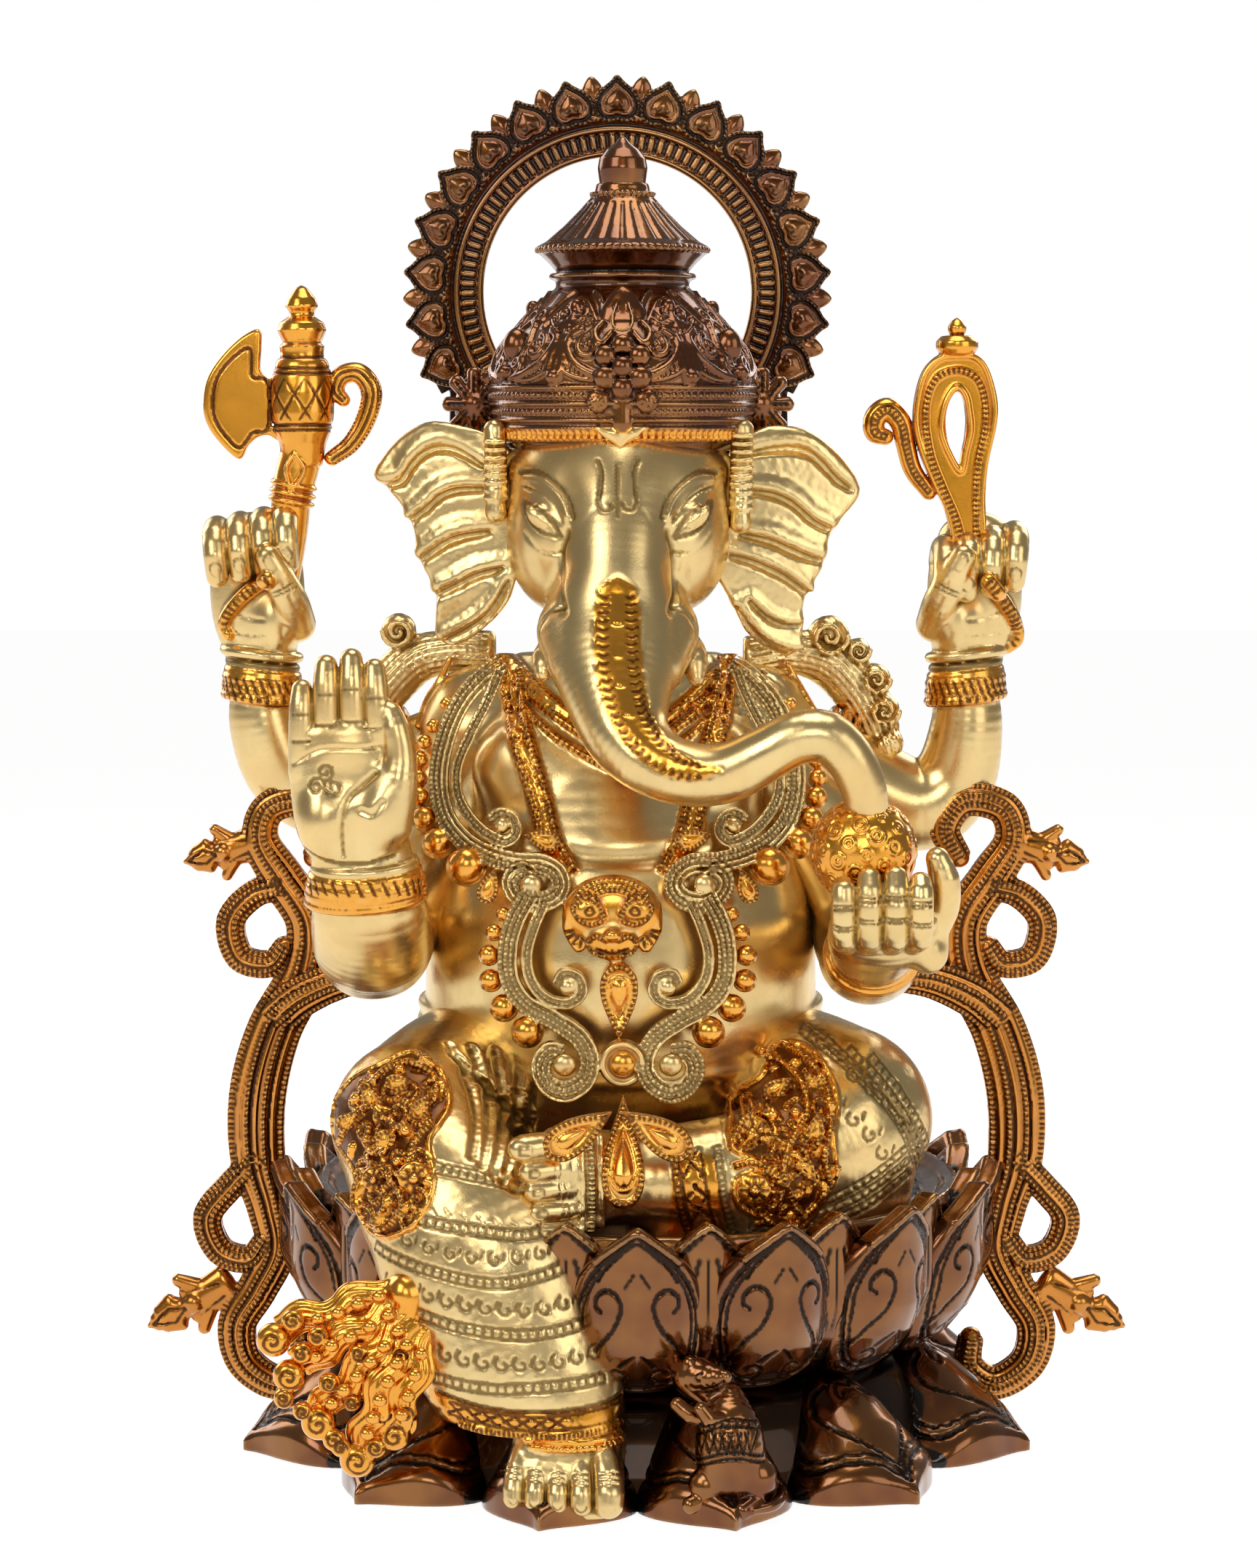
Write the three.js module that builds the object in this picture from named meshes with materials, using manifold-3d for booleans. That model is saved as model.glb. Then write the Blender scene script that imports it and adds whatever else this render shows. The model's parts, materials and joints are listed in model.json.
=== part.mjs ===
// A seated four-armed Ganesha idol, sand-cast in brass in several pieces that are pegged, bolted and
// brazed together. Units are millimetres. +Z is up, the idol faces -Y, and the origin is the centre of
// the lotus base on the surface it stands on. "Right" and "left" are the idol's own: its right is -X.
import * as THREE from "three";
import { mergeVertices } from "three/addons/utils/BufferGeometryUtils.js";
import Module from "manifold-3d";

const wasm = await Module();
wasm.setup();

// ---- driving dimensions ----
const GAP = 0.3; // clearance between two castings that meet
const FIGURE_X = -6; // the figure sits a little to the right side of the base
const BASE_TIP_R = 164; // tips of the lower petals
const BASE_WALL_R = 126; // inside of the lower lotus
const BASE_VALLEY_R = 143; // between two lower petals
const FLANGE_Z = 40; // top of the lower lotus, where the upper lotus sits
const FLANGE_HOLE_R = 60;
const DECK_Z = 101; // seat of the upper lotus
const DECK_THICK = 5;
const RIM_R = 150; // tips of the upper petals
const RIM_Z = 111;
const LOWER_PETALS = [13, 41, 74, 106, 139, 167]; // degrees from the front, mirrored to the other side
const UPPER_PETALS = 16;
const NECK_Z = 322; // where the head sits on the torso
const CROWN_Z = 410; // lower rim of the crown
const CROWN_Y = -5;
const HALO_Z = 471; // centre of the halo
const HALO_Y = 48; // front face of the halo
const HALO_THICK = 9;
const HALO_IN_R = 57;
const HALO_OUT_R = 89;
const HALO_LEG_X = 68; // from the figure's middle
const HALO_SCREW_Z = 301;
const HALO_HEARTS = 17;
const SCROLL_DEPTH = 5; // half the thickness of the side scrolls
const STUD_R = 4;
const LEG_WALL = 6;
const SCREW_R = 2.5;
const BOLT_R = 3;
const SCROLL_SCREW_Z = 17;

// ---- solids from three.js geometry ----

// A closed geometry as a solid that can be joined and cut.
function solid(geometry) {
  const bare = geometry.index ? geometry.toNonIndexed() : geometry;
  const positions = new THREE.BufferGeometry();
  positions.setAttribute("position", bare.getAttribute("position"));
  const merged = mergeVertices(positions, 1e-3);
  const make = (triVerts) =>
    new wasm.Manifold(
      new wasm.Mesh({ numProp: 3, vertProperties: merged.attributes.position.array, triVerts }),
    );
  const triangles = new Uint32Array(merged.index.array);
  const made = make(triangles);
  return made.volume() < 0 ? make(triangles.reverse()) : made;
}

const union = (...solids) => solids.flat().reduce((a, b) => a.add(b));
const cut = (from, ...tools) => tools.flat().reduce((a, b) => a.subtract(b), from);
const degrees = (angle) => (angle * Math.PI) / 180;

// Puts a geometry in place: turned by Euler angles in degrees, then moved.
function put(geometry, at, turn = [0, 0, 0]) {
  const rotation = new THREE.Euler(...turn.map(degrees), "XYZ");
  const matrix = new THREE.Matrix4().compose(
    new THREE.Vector3(...at),
    new THREE.Quaternion().setFromEuler(rotation),
    new THREE.Vector3(1, 1, 1),
  );
  return solid(geometry.applyMatrix4(matrix));
}

function ellipsoid(at, radii, turn = [0, 0, 0], around = 10, down = 6) {
  const sphere = new THREE.SphereGeometry(1, around, down).rotateX(Math.PI / 2);
  return put(sphere.scale(...radii), at, turn);
}

function box(low, high) {
  const size = high.map((v, i) => v - low[i]);
  const middle = high.map((v, i) => (v + low[i]) / 2);
  return put(new THREE.BoxGeometry(...size), middle);
}

// A round bar between two points.
function bar(from, to, radius, sides = 12) {
  const a = new THREE.Vector3(...from);
  const b = new THREE.Vector3(...to);
  const along = b.clone().sub(a);
  const geometry = new THREE.CylinderGeometry(radius, radius, along.length(), sides);
  const turn = new THREE.Quaternion().setFromUnitVectors(new THREE.Vector3(0, 1, 0), along.normalize());
  geometry.applyQuaternion(turn).translate(...a.add(b).multiplyScalar(0.5).toArray());
  return solid(geometry);
}

// A profile of [radius, height] points turned about a vertical axis through [x, y].
function turned(profile, [x, y] = [0, 0], segments = 32) {
  const points = profile.map(([r, z]) => new THREE.Vector2(r, z));
  return solid(new THREE.LatheGeometry(points, segments).rotateX(Math.PI / 2).translate(x, y, 0));
}

// A plate in the XZ plane, from an outline of [x, z] points, with its front face at y.
function plate(outline, y, thickness, { smooth = false, place = new THREE.Matrix4(), holes = [] } = {}) {
  const points = outline.map(([x, z]) => new THREE.Vector2(x, z));
  const curve = new THREE.SplineCurve([...points, points[0]]);
  const shape = new THREE.Shape(smooth ? curve.getPoints(points.length * 2).slice(0, -1) : points);
  for (const hole of holes) shape.holes.push(new THREE.Path(hole.map(([x, z]) => new THREE.Vector2(x, z))));
  const geometry = new THREE.ExtrudeGeometry(shape, { depth: thickness, bevelEnabled: false });
  return solid(geometry.rotateX(Math.PI / 2).translate(0, y + thickness, 0).applyMatrix4(place));
}

// A limb: a smooth tube through stations [x, y, z, half width, half depth] with rounded ends. The depth
// is measured along depthAxis, and grow thickens the whole limb.
function limb(stations, { grow = 0, sides = 8, depthAxis = [0, 1, 0] } = {}) {
  const curve = new THREE.CatmullRomCurve3(
    stations.map(([x, y, z]) => new THREE.Vector3(x, y, z)),
    false,
    "centripetal",
  );
  const last = stations.length - 1;
  const rings = [];
  const addRing = (t, lean) => {
    const tangent = curve.getTangent(t);
    const side = tangent.clone().cross(new THREE.Vector3(...depthAxis)).normalize();
    const deep = side.clone().cross(tangent).normalize();
    const k = Math.min(Math.floor(t * last), last - 1);
    const f = t * last - k;
    const size = (i) => THREE.MathUtils.lerp(stations[k][i], stations[k + 1][i], f);
    const [wide, thick] = [size(3) + grow, size(4) + grow];
    const centre = curve.getPoint(t).addScaledVector(tangent, Math.min(wide, thick) * Math.sin(lean));
    const shrink = Math.cos(lean);
    rings.push(
      Array.from({ length: sides }, (_, j) => {
        const angle = (2 * Math.PI * j) / sides;
        return centre
          .clone()
          .addScaledVector(side, wide * shrink * Math.cos(angle))
          .addScaledVector(deep, thick * shrink * Math.sin(angle));
      }),
    );
  };
  addRing(0, -0.9);
  for (let i = 0; i <= last; i++) addRing(i / last, 0);
  addRing(1, 0.9);
  const points = [];
  const triangle = (...corners) => corners.forEach((p) => points.push(p.x, p.y, p.z));
  const middleOf = (ring) => ring.reduce((sum, p) => sum.add(p), new THREE.Vector3()).divideScalar(sides);
  for (let i = 0; i + 1 < rings.length; i++)
    for (let j = 0; j < sides; j++) {
      const n = (j + 1) % sides;
      triangle(rings[i][j], rings[i][n], rings[i + 1][n]);
      triangle(rings[i][j], rings[i + 1][n], rings[i + 1][j]);
    }
  const [first, end] = [rings[0], rings[rings.length - 1]];
  for (let j = 0; j < sides; j++) {
    const n = (j + 1) % sides;
    triangle(middleOf(first), first[n], first[j]);
    triangle(middleOf(end), end[j], end[n]);
  }
  const geometry = new THREE.BufferGeometry();
  geometry.setAttribute("position", new THREE.Float32BufferAttribute(points, 3));
  return solid(geometry);
}

// A turned profile of [radius, height, tip reach, tip rise] whose rim swells into petals: shape(angle)
// is 1 on the middle of a petal and 0 in the valley between two.
function petalled(profile, shape, segments) {
  const points = profile.map(([r, z]) => new THREE.Vector2(r, z));
  const geometry = new THREE.LatheGeometry(points, segments).rotateX(Math.PI / 2);
  const position = geometry.getAttribute("position");
  for (let i = 0; i < position.count; i++) {
    const [x, y] = [position.getX(i), position.getY(i)];
    const r = Math.hypot(x, y);
    const [, , reach = 0, rise = 0] = profile[i % profile.length];
    const swell = shape(Math.atan2(x, -y));
    if (r > 0) position.setXYZ(i, x * (1 + (reach * swell) / r), y * (1 + (reach * swell) / r),
      position.getZ(i) + rise * swell);
  }
  return solid(geometry);
}

// ---- placing the castings ----
const root = new THREE.Group();
const placed = [];

const paint = (color, roughness) => new THREE.MeshStandardMaterial({ color, roughness, metalness: 1 });
const paleBrass = paint(0xc8b27a, 0.3);
const goldLacquer = paint(0xc8791a, 0.25);
const copperLacquer = paint(0x7a3512, 0.25);
const plainSteel = paint(0x9a9a98, 0.4);

function show(name, made, material) {
  const { vertProperties, numProp, triVerts, numVert } = made.getMesh();
  const xyz = new Float32Array(numVert * 3);
  for (let i = 0; i < numVert; i++) xyz.set(vertProperties.subarray(i * numProp, i * numProp + 3), i * 3);
  const geometry = new THREE.BufferGeometry();
  geometry.setAttribute("position", new THREE.BufferAttribute(xyz, 3));
  geometry.setIndex(new THREE.BufferAttribute(triVerts, 1));
  const mesh = new THREE.Mesh(geometry, material);
  mesh.name = name;
  root.add(mesh);
}

const apart = (a, b) =>
  [0, 1, 2].some((i) => a.min[i] > b.max[i] + GAP || b.min[i] > a.max[i] + GAP);

// Adds a casting. shape(grow) gives its outside, and what was placed before keeps its ground: the new
// casting is cut back to GAP from it. finish adds pegs and takes out hollows and holes.
function cast(name, material, shape, finish = (s) => s) {
  let made = shape(0);
  const bounds = made.boundingBox();
  for (const other of placed) if (!apart(bounds, other.bounds)) made = made.subtract(other.grown);
  placed.push({ bounds, grown: shape(GAP) });
  show(name, finish(made), material);
}

// ---- pegs and screws: [from, to, radius] ----
const fx = FIGURE_X;
const PEGS = {
  arm_upper_right: [[fx - 48, 14, 291], [fx - 82, 15, 286], 7],
  arm_upper_left: [[fx + 48, 14, 291], [fx + 82, 15, 286], 7],
  arm_lower_right: [[fx - 50, -8, 276], [fx - 78, -10, 268], 7],
  arm_lower_left: [[fx + 50, -8, 276], [fx + 78, -10, 268], 7],
  head: [[fx, -8, 300], [fx, -8, 345], 16],
};
const peg = (name, grow = 0) => bar(PEGS[name][0], PEGS[name][1], PEGS[name][2] + grow, 10);

// ---- lotus base ----
const lowerAngles = LOWER_PETALS.flatMap((a) => [a, -a]).sort((a, b) => a - b);

// How close an angle (in radians from the front) is to the middle of a lower petal: 1 to 0.
function lowerPetal(angle) {
  const turn = (angle * 180) / Math.PI;
  const away = (a) => Math.abs(((turn - a + 540) % 360) - 180);
  const [near, next] = lowerAngles.map(away).sort((a, b) => a - b);
  return 1 - (2 * near) / (near + next);
}
const upperPetal = (angle) => Math.abs(Math.cos((angle * UPPER_PETALS) / 2)) ** 0.8;

function lotusLower(grow = 0) {
  const g = grow;
  const reach = BASE_TIP_R - BASE_VALLEY_R;
  const profile = [
    [0, -g], [BASE_VALLEY_R + g, -g, reach], [BASE_VALLEY_R + g, 5 + g, reach], [138 + g, 12 + g, 12],
      [130 + g, 26 + g, 8, 5],
    [114 + g, FLANGE_Z + g - 2, 4], [110 + g, FLANGE_Z + g], [0, FLANGE_Z + g],
  ];
  return petalled(profile, lowerPetal, 72);
}

const boltAt = (i) => [86 * Math.sin(degrees(120 * i + 60)), 86 * Math.cos(degrees(120 * i + 60))];

function lotusLowerFinish(made) {
  const under = FLANGE_Z - 6;
  const hollow = turned([[0, -1], [BASE_WALL_R, -1], [BASE_WALL_R, 25], [106, under], [0, under]],
    [0, 0], 24);
  const hole = bar([0, 0, 0], [0, 0, FLANGE_Z + 5], FLANGE_HOLE_R, 24);
  const boltHoles = [0, 1, 2].map((i) => bar([...boltAt(i), 20], [...boltAt(i), 60], BOLT_R + GAP, 10));
  const screwHoles = [-1, 1].map((s) => bar([s * (BASE_WALL_R - 9), 0, SCROLL_SCREW_Z],
    [s * 170, 0, SCROLL_SCREW_Z], SCREW_R + GAP, 10));
  return cut(made, hollow, hole, boltHoles, screwHoles);
}

function lotusUpper(grow = 0) {
  const g = grow;
  const foot = FLANGE_Z + GAP - g;
  const reach = RIM_R - 138;
  const profile = [
    [0, foot], [108 + g, foot], [120 + g, 46 - g, 4], [130 + g, 60, 8], [136 + g, 78, 9],
      [138 + g, DECK_Z - 2, reach, 4],
    [137 + g, RIM_Z - 6 + g, reach + 1, 6], [132 + g, RIM_Z - 6 + g, reach + 1, 4],
      [128 + g, DECK_Z + g], [0, DECK_Z + g],
  ];
  return petalled(profile, upperPetal, UPPER_PETALS * 4);
}

function lotusUpperFinish(made) {
  const under = DECK_Z - DECK_THICK;
  const hollow = turned([[0, 30], [104, 30], [106, 45], [118, 52], [127, 64], [132, 80], [132, under],
    [0, under]], [0, 0], 24);
  const bosses = [0, 1, 2].map((i) => bar([...boltAt(i), FLANGE_Z + GAP], [...boltAt(i), under + 2], 8,
    10));
  const boltHoles = [0, 1, 2].map((i) => bar([...boltAt(i), 20], [...boltAt(i), 62], BOLT_R + GAP, 10));
  const studHole = bar([fx, 0, 80], [fx, 0, DECK_Z + 5], STUD_R + GAP, 10);
  return cut(union(cut(made, hollow), bosses), boltHoles, studHole);
}

// ---- the figure ----
// Torso stations from the seat to the neck: [y, z, half width, half depth].
const TORSO = [
  [6, 104, 66, 56], [4, 122, 82, 64], [-2, 148, 86, 64], [-8, 170, 80, 64], [-12, 192, 79, 67],
    [-12, 212, 79, 67],
  [-8, 236, 70, 60], [-4, 260, 62, 50], [-2, 284, 62, 40], [-4, 302, 52, 32], [-8, 316, 32, 28],
];
const torsoTube = (inset, stations, options) =>
  limb(stations.map(([y, z, wide, deep]) => [fx, y, z, wide - inset, deep - inset]), options);

function torso(grow = 0) {
  const g = grow;
  const trunk = torsoTube(0, TORSO, { grow, sides: 16 });
  const shoulders = [-1, 1].map((s) => ellipsoid([fx + s * 58, 4, 288], [26 + g, 25 + g, 23 + g]));
  const bosses = [-1, 1].map((s) => bar([fx + s * HALO_LEG_X, 5, HALO_SCREW_Z], [fx + s * HALO_LEG_X,
    HALO_Y - GAP + g, HALO_SCREW_Z], 8 + g, 10));
  return cut(
    union(trunk, shoulders, bosses),
    box([-200, -200, 0], [200, 200, DECK_Z + GAP - g]),
    box([-200, -200, NECK_Z + g], [200, 200, 400]),
  );
}

function torsoFinish(made) {
  const hollow = torsoTube(6, TORSO.slice(1, 9), { sides: 12 });
  const vents = [-1, 1].map((s) => box([fx + s * 32 - 16, -28, 90], [fx + s * 32 + 16, 32, 125]));
  const sockets = Object.keys(PEGS).map((name) => peg(name, GAP));
  const studHole = bar([fx, 0, 90], [fx, 0, 130], STUD_R + GAP, 10);
  const screws = [-1, 1].map((s) => bar([fx + s * HALO_LEG_X, HALO_Y - 16, HALO_SCREW_Z],
    [fx + s * HALO_LEG_X, HALO_Y + 5, HALO_SCREW_Z], SCREW_R + GAP, 10));
  return cut(made, hollow, vents, sockets, studHole, screws);
}

const acrossLeg = { depthAxis: [0, 0, 1] };
const rightThigh = (options) =>
  limb([[fx - 36, 0, 148, 36, 34], [fx - 62, -36, 150, 37, 34], [fx - 84, -74, 143, 33, 31]],
    { sides: 10, ...acrossLeg, ...options });
const rightShin = (options) =>
  limb([[fx - 84, -80, 140, 32, 27], [fx - 68, -108, 114, 35, 26], [fx - 50, -122, 86, 37, 26],
    [fx - 32, -126, 56, 35, 24]], { sides: 10, ...options });

// The leg that hangs over the front of the lotus, with its foot on a lower petal.
function legRight(grow = 0) {
  const hem = limb([[fx - 34, -126, 60, 35, 24], [fx - 26, -128, 44, 33, 22]], { grow, sides: 10 });
  const ankle = limb([[fx - 21, -134, 48, 20, 16], [fx - 20, -136, 24, 20, 15]], { grow });
  const foot = limb([[fx - 20, -130, 22, 20, 10], [fx - 21, -142, 21, 22, 10], [fx - 21, -149, 17, 24,
    6]], { grow, ...acrossLeg });
  return union(rightThigh({ grow }), rightShin({ grow }), hem, ankle, foot);
}

const leftThigh = (options) =>
  limb([[fx + 36, 0, 145, 36, 34], [fx + 66, -26, 141, 40, 38], [fx + 86, -46, 136, 37, 37]],
    { sides: 10, ...acrossLeg, ...options });

// The folded leg, with its foot resting across the other thigh.
function legLeft(grow = 0) {
  const shin = limb([[fx + 84, -60, 130, 32, 30], [fx + 52, -84, 124, 24, 24], [fx + 14, -94, 122, 20,
    21], [fx - 12, -96, 124, 16, 17]], { grow, ...acrossLeg });
  const foot = limb([[fx - 6, -98, 122, 15, 12], [fx - 26, -100, 127, 22, 9], [fx - 38, -102, 128, 24,
    7]], { grow });
  return union(leftThigh({ grow }), shin, foot);
}

function head(grow = 0) {
  const g = grow;
  const skull = ellipsoid([fx - 1, -10, 374], [45 + g, 50 + g, 44 + g], [0, 0, 0], 14, 9);
  const jaw = ellipsoid([fx - 1, -14, 344], [36 + g, 42 + g, 26 + g], [0, 0, 0], 12, 8);
  const lobes = [-1, 1].map((s) => ellipsoid([fx - 1 + s * 21, -52, 341], [13 + g, 16 + g, 16 + g]));
  const trunk = limb(
    [
      [fx - 1, -46, 384, 17, 12], [fx - 1, -60, 362, 21, 16], [fx - 1, -72, 342, 27, 20],
        [fx - 1, -84, 322, 23, 20],
      [fx + 3, -94, 301, 17, 16], [fx + 18, -102, 284, 13.5, 13.5], [fx + 38, -110, 282, 12, 12],
      [fx + 58, -115, 294, 11, 11], [fx + 74, -118, 297, 10.5, 10.5], [fx + 85, -119, 287, 9.5, 9.5],
        [fx + 91, -117, 276, 8.5, 8.5],
    ],
    { grow, depthAxis: [0, 1, 0] },
  );
  const tusks = [
    limb([[fx - 27, -54, 332, 5, 5], [fx - 28, -62, 322, 4.5, 4.5]], { grow }),
    limb([[fx + 25, -54, 334, 6, 6], [fx + 28, -62, 322, 5, 5], [fx + 30, -66, 314, 2.5, 2.5]], { grow }),
  ];
  const temples = [-1, 1].map((s) => limb([[fx - 1 + s * 47, -14, 410, 4.5, 4.5], [fx - 1 + s * 45, -16,
    376, 5, 5]], { grow }));
  return union(skull, jaw, lobes, trunk, tusks, temples);
}

function headFinish(made) {
  const hollow = union(ellipsoid([fx - 1, -8, 374], [37, 40, 36]), bar([fx, -8, 290], [fx, -8, 350], 10,
    14));
  return cut(union(made, peg("head")), hollow);
}

// Half-outline of the left ear, as [x from the figure's middle, z].
const EAR = [
  [42, 404], [52, 412], [66, 414], [80, 411], [92, 403], [99, 393], [93, 384], [83, 372], [77, 358],
    [75, 342],
  [73, 331], [66, 326], [56, 329], [48, 338], [42, 350], [38, 364],
];
const EAR_MIDDLE = [67, 370];
const EAR_THICK = 9;
const EAR_SWEEP = degrees(14);
function ear(side, grow = 0) {
  const outline = EAR.map(([x, z]) => {
    const [dx, dz] = [x - EAR_MIDDLE[0], z - EAR_MIDDLE[1]];
    const out = 1 + grow / Math.hypot(dx, dz);
    return [side * (EAR_MIDDLE[0] + dx * out), EAR_MIDDLE[1] + dz * out];
  });
  const place = new THREE.Matrix4().makeTranslation(fx - 1, -18, 0);
  place.multiply(new THREE.Matrix4().makeRotationZ(side * EAR_SWEEP));
  return plate(outline, -EAR_THICK / 2 - grow, EAR_THICK + 2 * grow, { smooth: true, place });
}

// Profile of the crown above its lower rim: [radius, height].
const CROWN = [
  [49, 0], [53, 14], [54, 25], [50, 38], [41, 50], [28, 62], [27, 67], [34.5, 74], [34.5, 77], [21, 90],
    [13, 99],
  [13, 104],
];
function crown(grow = 0) {
  const outside = CROWN.map(([r, z]) => [r + grow, CROWN_Z + z]);
  const profile = [[0, CROWN_Z - grow], ...outside, [0, CROWN_Z + 104 + grow]];
  const knots = [-1, 1].map((s) => ellipsoid([fx + s * 58, 4, 426], [12 + grow, 10 + grow, 11 + grow]));
  return union(turned(profile, [fx, CROWN_Y], 18), knots);
}

function crownFinish(made) {
  const inside = CROWN.slice(0, 6).map(([r, z]) => [r - 6, CROWN_Z + z]);
  const hollow = turned([[0, CROWN_Z - 1], [40, CROWN_Z - 1], ...inside, [0, CROWN_Z + 64]],
    [fx, CROWN_Y], 14);
  return cut(made, hollow, bar([fx, CROWN_Y, CROWN_Z + 80], [fx, CROWN_Y, CROWN_Z + 110], 4 + GAP));
}

function crownFinial(grow = 0) {
  const z = CROWN_Z + 104 + GAP - grow;
  const g = grow;
  return turned([[0, z], [9 + g, z], [8.5 + g, z + 3], [10.3 + g, z + 7], [9.5 + g, z + 11],
    [5 + g, z + 15], [0, z + 18 + g]], [fx, CROWN_Y], 16);
}
const finialPeg = (made) => union(made, bar([fx, CROWN_Y, CROWN_Z + 90], [fx, CROWN_Y, CROWN_Z + 108], 4));

// The halo: a horseshoe band with a scalloped edge on two straight legs that reach the shoulders.
function halo(grow = 0) {
  const end = 118;
  const polar = (angle, r) => [fx - 2 + r * Math.sin(degrees(angle)),
    HALO_Z + r * Math.cos(degrees(angle))];
  const outer = [];
  const step = (2 * end) / HALO_HEARTS;
  for (let i = 0; i < HALO_HEARTS; i++)
    for (const [f, r] of [[0, -8], [0.25, -1.5], [0.5, 0],
      [0.75, -1.5]]) outer.push(polar(-end + step * (i + f), HALO_OUT_R + r + grow));
  outer.push(polar(end, HALO_OUT_R - 8 + grow));
  const inner = [];
  for (let i = 0; i <= 24; i++) inner.push(polar(end - (2 * end * i) / 24, HALO_IN_R - grow));
  const y = HALO_Y - grow;
  const thick = HALO_THICK + 2 * grow;
  const legs = [-1, 1].map((s) => {
    const x = fx + s * HALO_LEG_X;
    const half = 8 + grow;
    return box([x - half, y, HALO_SCREW_Z - 10 - grow], [x + half, y + thick, HALO_Z - 30]);
  });
  return union(plate([...outer, ...inner], y, thick), legs);
}
const haloFinish = (made) =>
  cut(made, [-1, 1].map((s) => bar([fx + s * HALO_LEG_X, HALO_Y - 5, HALO_SCREW_Z],
    [fx + s * HALO_LEG_X, HALO_Y + 20, HALO_SCREW_Z], SCREW_R + GAP)));

// ---- arms ----

// A fist: a palm and four fingers curled over the front of it, then a thumb across them. side is 1 or -1.
function fist([x, y, z], side, grow) {
  const palm = ellipsoid([x, y, z], [19 + grow, 13 + grow, 24 + grow]);
  const fingers = [0, 1, 2, 3].map((i) =>
    limb([[x + side * (14 - 9 * i), y - 4, z + 22 - 1.5 * i, 5, 6], [x + side * (14 - 9 * i), y - 15,
      z + 17 - 2 * i, 5, 5], [x + side * (13 - 9 * i), y - 15, z + 6 - i, 4.6, 4.6]],
      { grow, sides: 6 }),
  );
  const thumb = limb([[x - side * 15, y - 5, z - 14, 6, 6], [x - side * 12, y - 15, z + 3, 5.5, 5.5],
    [x - side * 8, y - 18, z + 12, 4.5, 4.5]], { grow, depthAxis: [1, 0, 0] });
  return union(palm, fingers, thumb);
}

function armUpperRight(grow = 0) {
  const arm = limb([[fx - 56, 14, 290, 19, 19], [fx - 92, 16, 276, 18, 18], [fx - 124, 15, 264, 18, 18],
    [fx - 142, 12, 284, 15.5, 16], [fx - 148, 10, 312, 13, 13], [fx - 149, 9, 326, 15, 13]],
    { grow, depthAxis: [0, 1, 0] });
  return union(arm, fist([fx - 152, 8, 346], 1, grow));
}

function armUpperLeft(grow = 0) {
  const arm = limb([[fx + 56, 14, 290, 19, 19], [fx + 94, 16, 272, 19, 19], [fx + 124, 14, 262, 19, 19],
    [fx + 137, 12, 284, 16, 16], [fx + 141, 10, 312, 13, 13], [fx + 143, 9, 326, 15, 13]],
    { grow, depthAxis: [0, 1, 0] });
  return union(arm, fist([fx + 147, 8, 346], -1, grow));
}

// The raised hand, palm to the front.
function armLowerRight(grow = 0) {
  const upper = limb([[fx - 60, -8, 276, 20, 20], [fx - 84, -20, 248, 21, 21], [fx - 97, -34, 218, 22,
    22]], { grow });
  const fore = limb([[fx - 97, -36, 214, 22, 22], [fx - 99, -58, 218, 23, 22], [fx - 103, -80, 238, 19,
    18], [fx - 105, -87, 252, 18, 14]], { grow, depthAxis: [0, 0, 1] });
  const palm = limb([[fx - 105, -88, 254, 19, 12], [fx - 107, -91, 274, 23.5, 10], [fx - 107, -92, 294,
    22.5, 8]], { grow });
  const tips = [324, 331, 332, 325];
  const fingers = tips.map((top, i) => {
    const x = fx - 124 + 11 * i;
    return limb([[x, -91, 292, 5.4, 6], [x, -92, (292 + top) / 2, 5.2, 5.5], [x + 0.5, -90, top - 5,
      4.6, 5]], { grow, sides: 6 });
  });
  const thumb = limb([[fx - 92, -92, 262, 8, 8], [fx - 85, -94, 282, 6, 6], [fx - 87, -94, 300, 4.6,
    4.6]], { grow });
  return union(upper, fore, palm, fingers, thumb);
}

// The hand that holds the sweet, fingers up in front of it.
function armLowerLeft(grow = 0) {
  const upper = limb([[fx + 60, -8, 276, 20, 20], [fx + 84, -14, 248, 20, 20], [fx + 96, -22, 216, 21,
    21]], { grow });
  const fore = limb([[fx + 96, -24, 210, 21, 21], [fx + 98, -56, 204, 20, 20], [fx + 98, -92, 212, 17,
    17], [fx + 99, -108, 222, 20, 14]], { grow, depthAxis: [0, 0, 1] });
  const fingers = [0, 1, 2, 3].map((i) => {
    const x = fx + 84 + 10.5 * i;
    return limb([[x, -112, 218, 5.6, 7], [x, -127, 222, 5.4, 6],
      [x, -131, 240 + (i === 1 || i === 2 ? 3 : 0), 5, 5]], { grow, depthAxis: [1, 0, 0] });
  });
  const thumb = limb([[fx + 116, -104, 222, 6.5, 6.5], [fx + 121, -112, 240, 6, 6], [fx + 117, -118,
    252, 5, 5]], { grow });
  return union(upper, fore, fingers, thumb);
}

const withPeg = (name) => (made) => union(made, peg(name));

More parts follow.
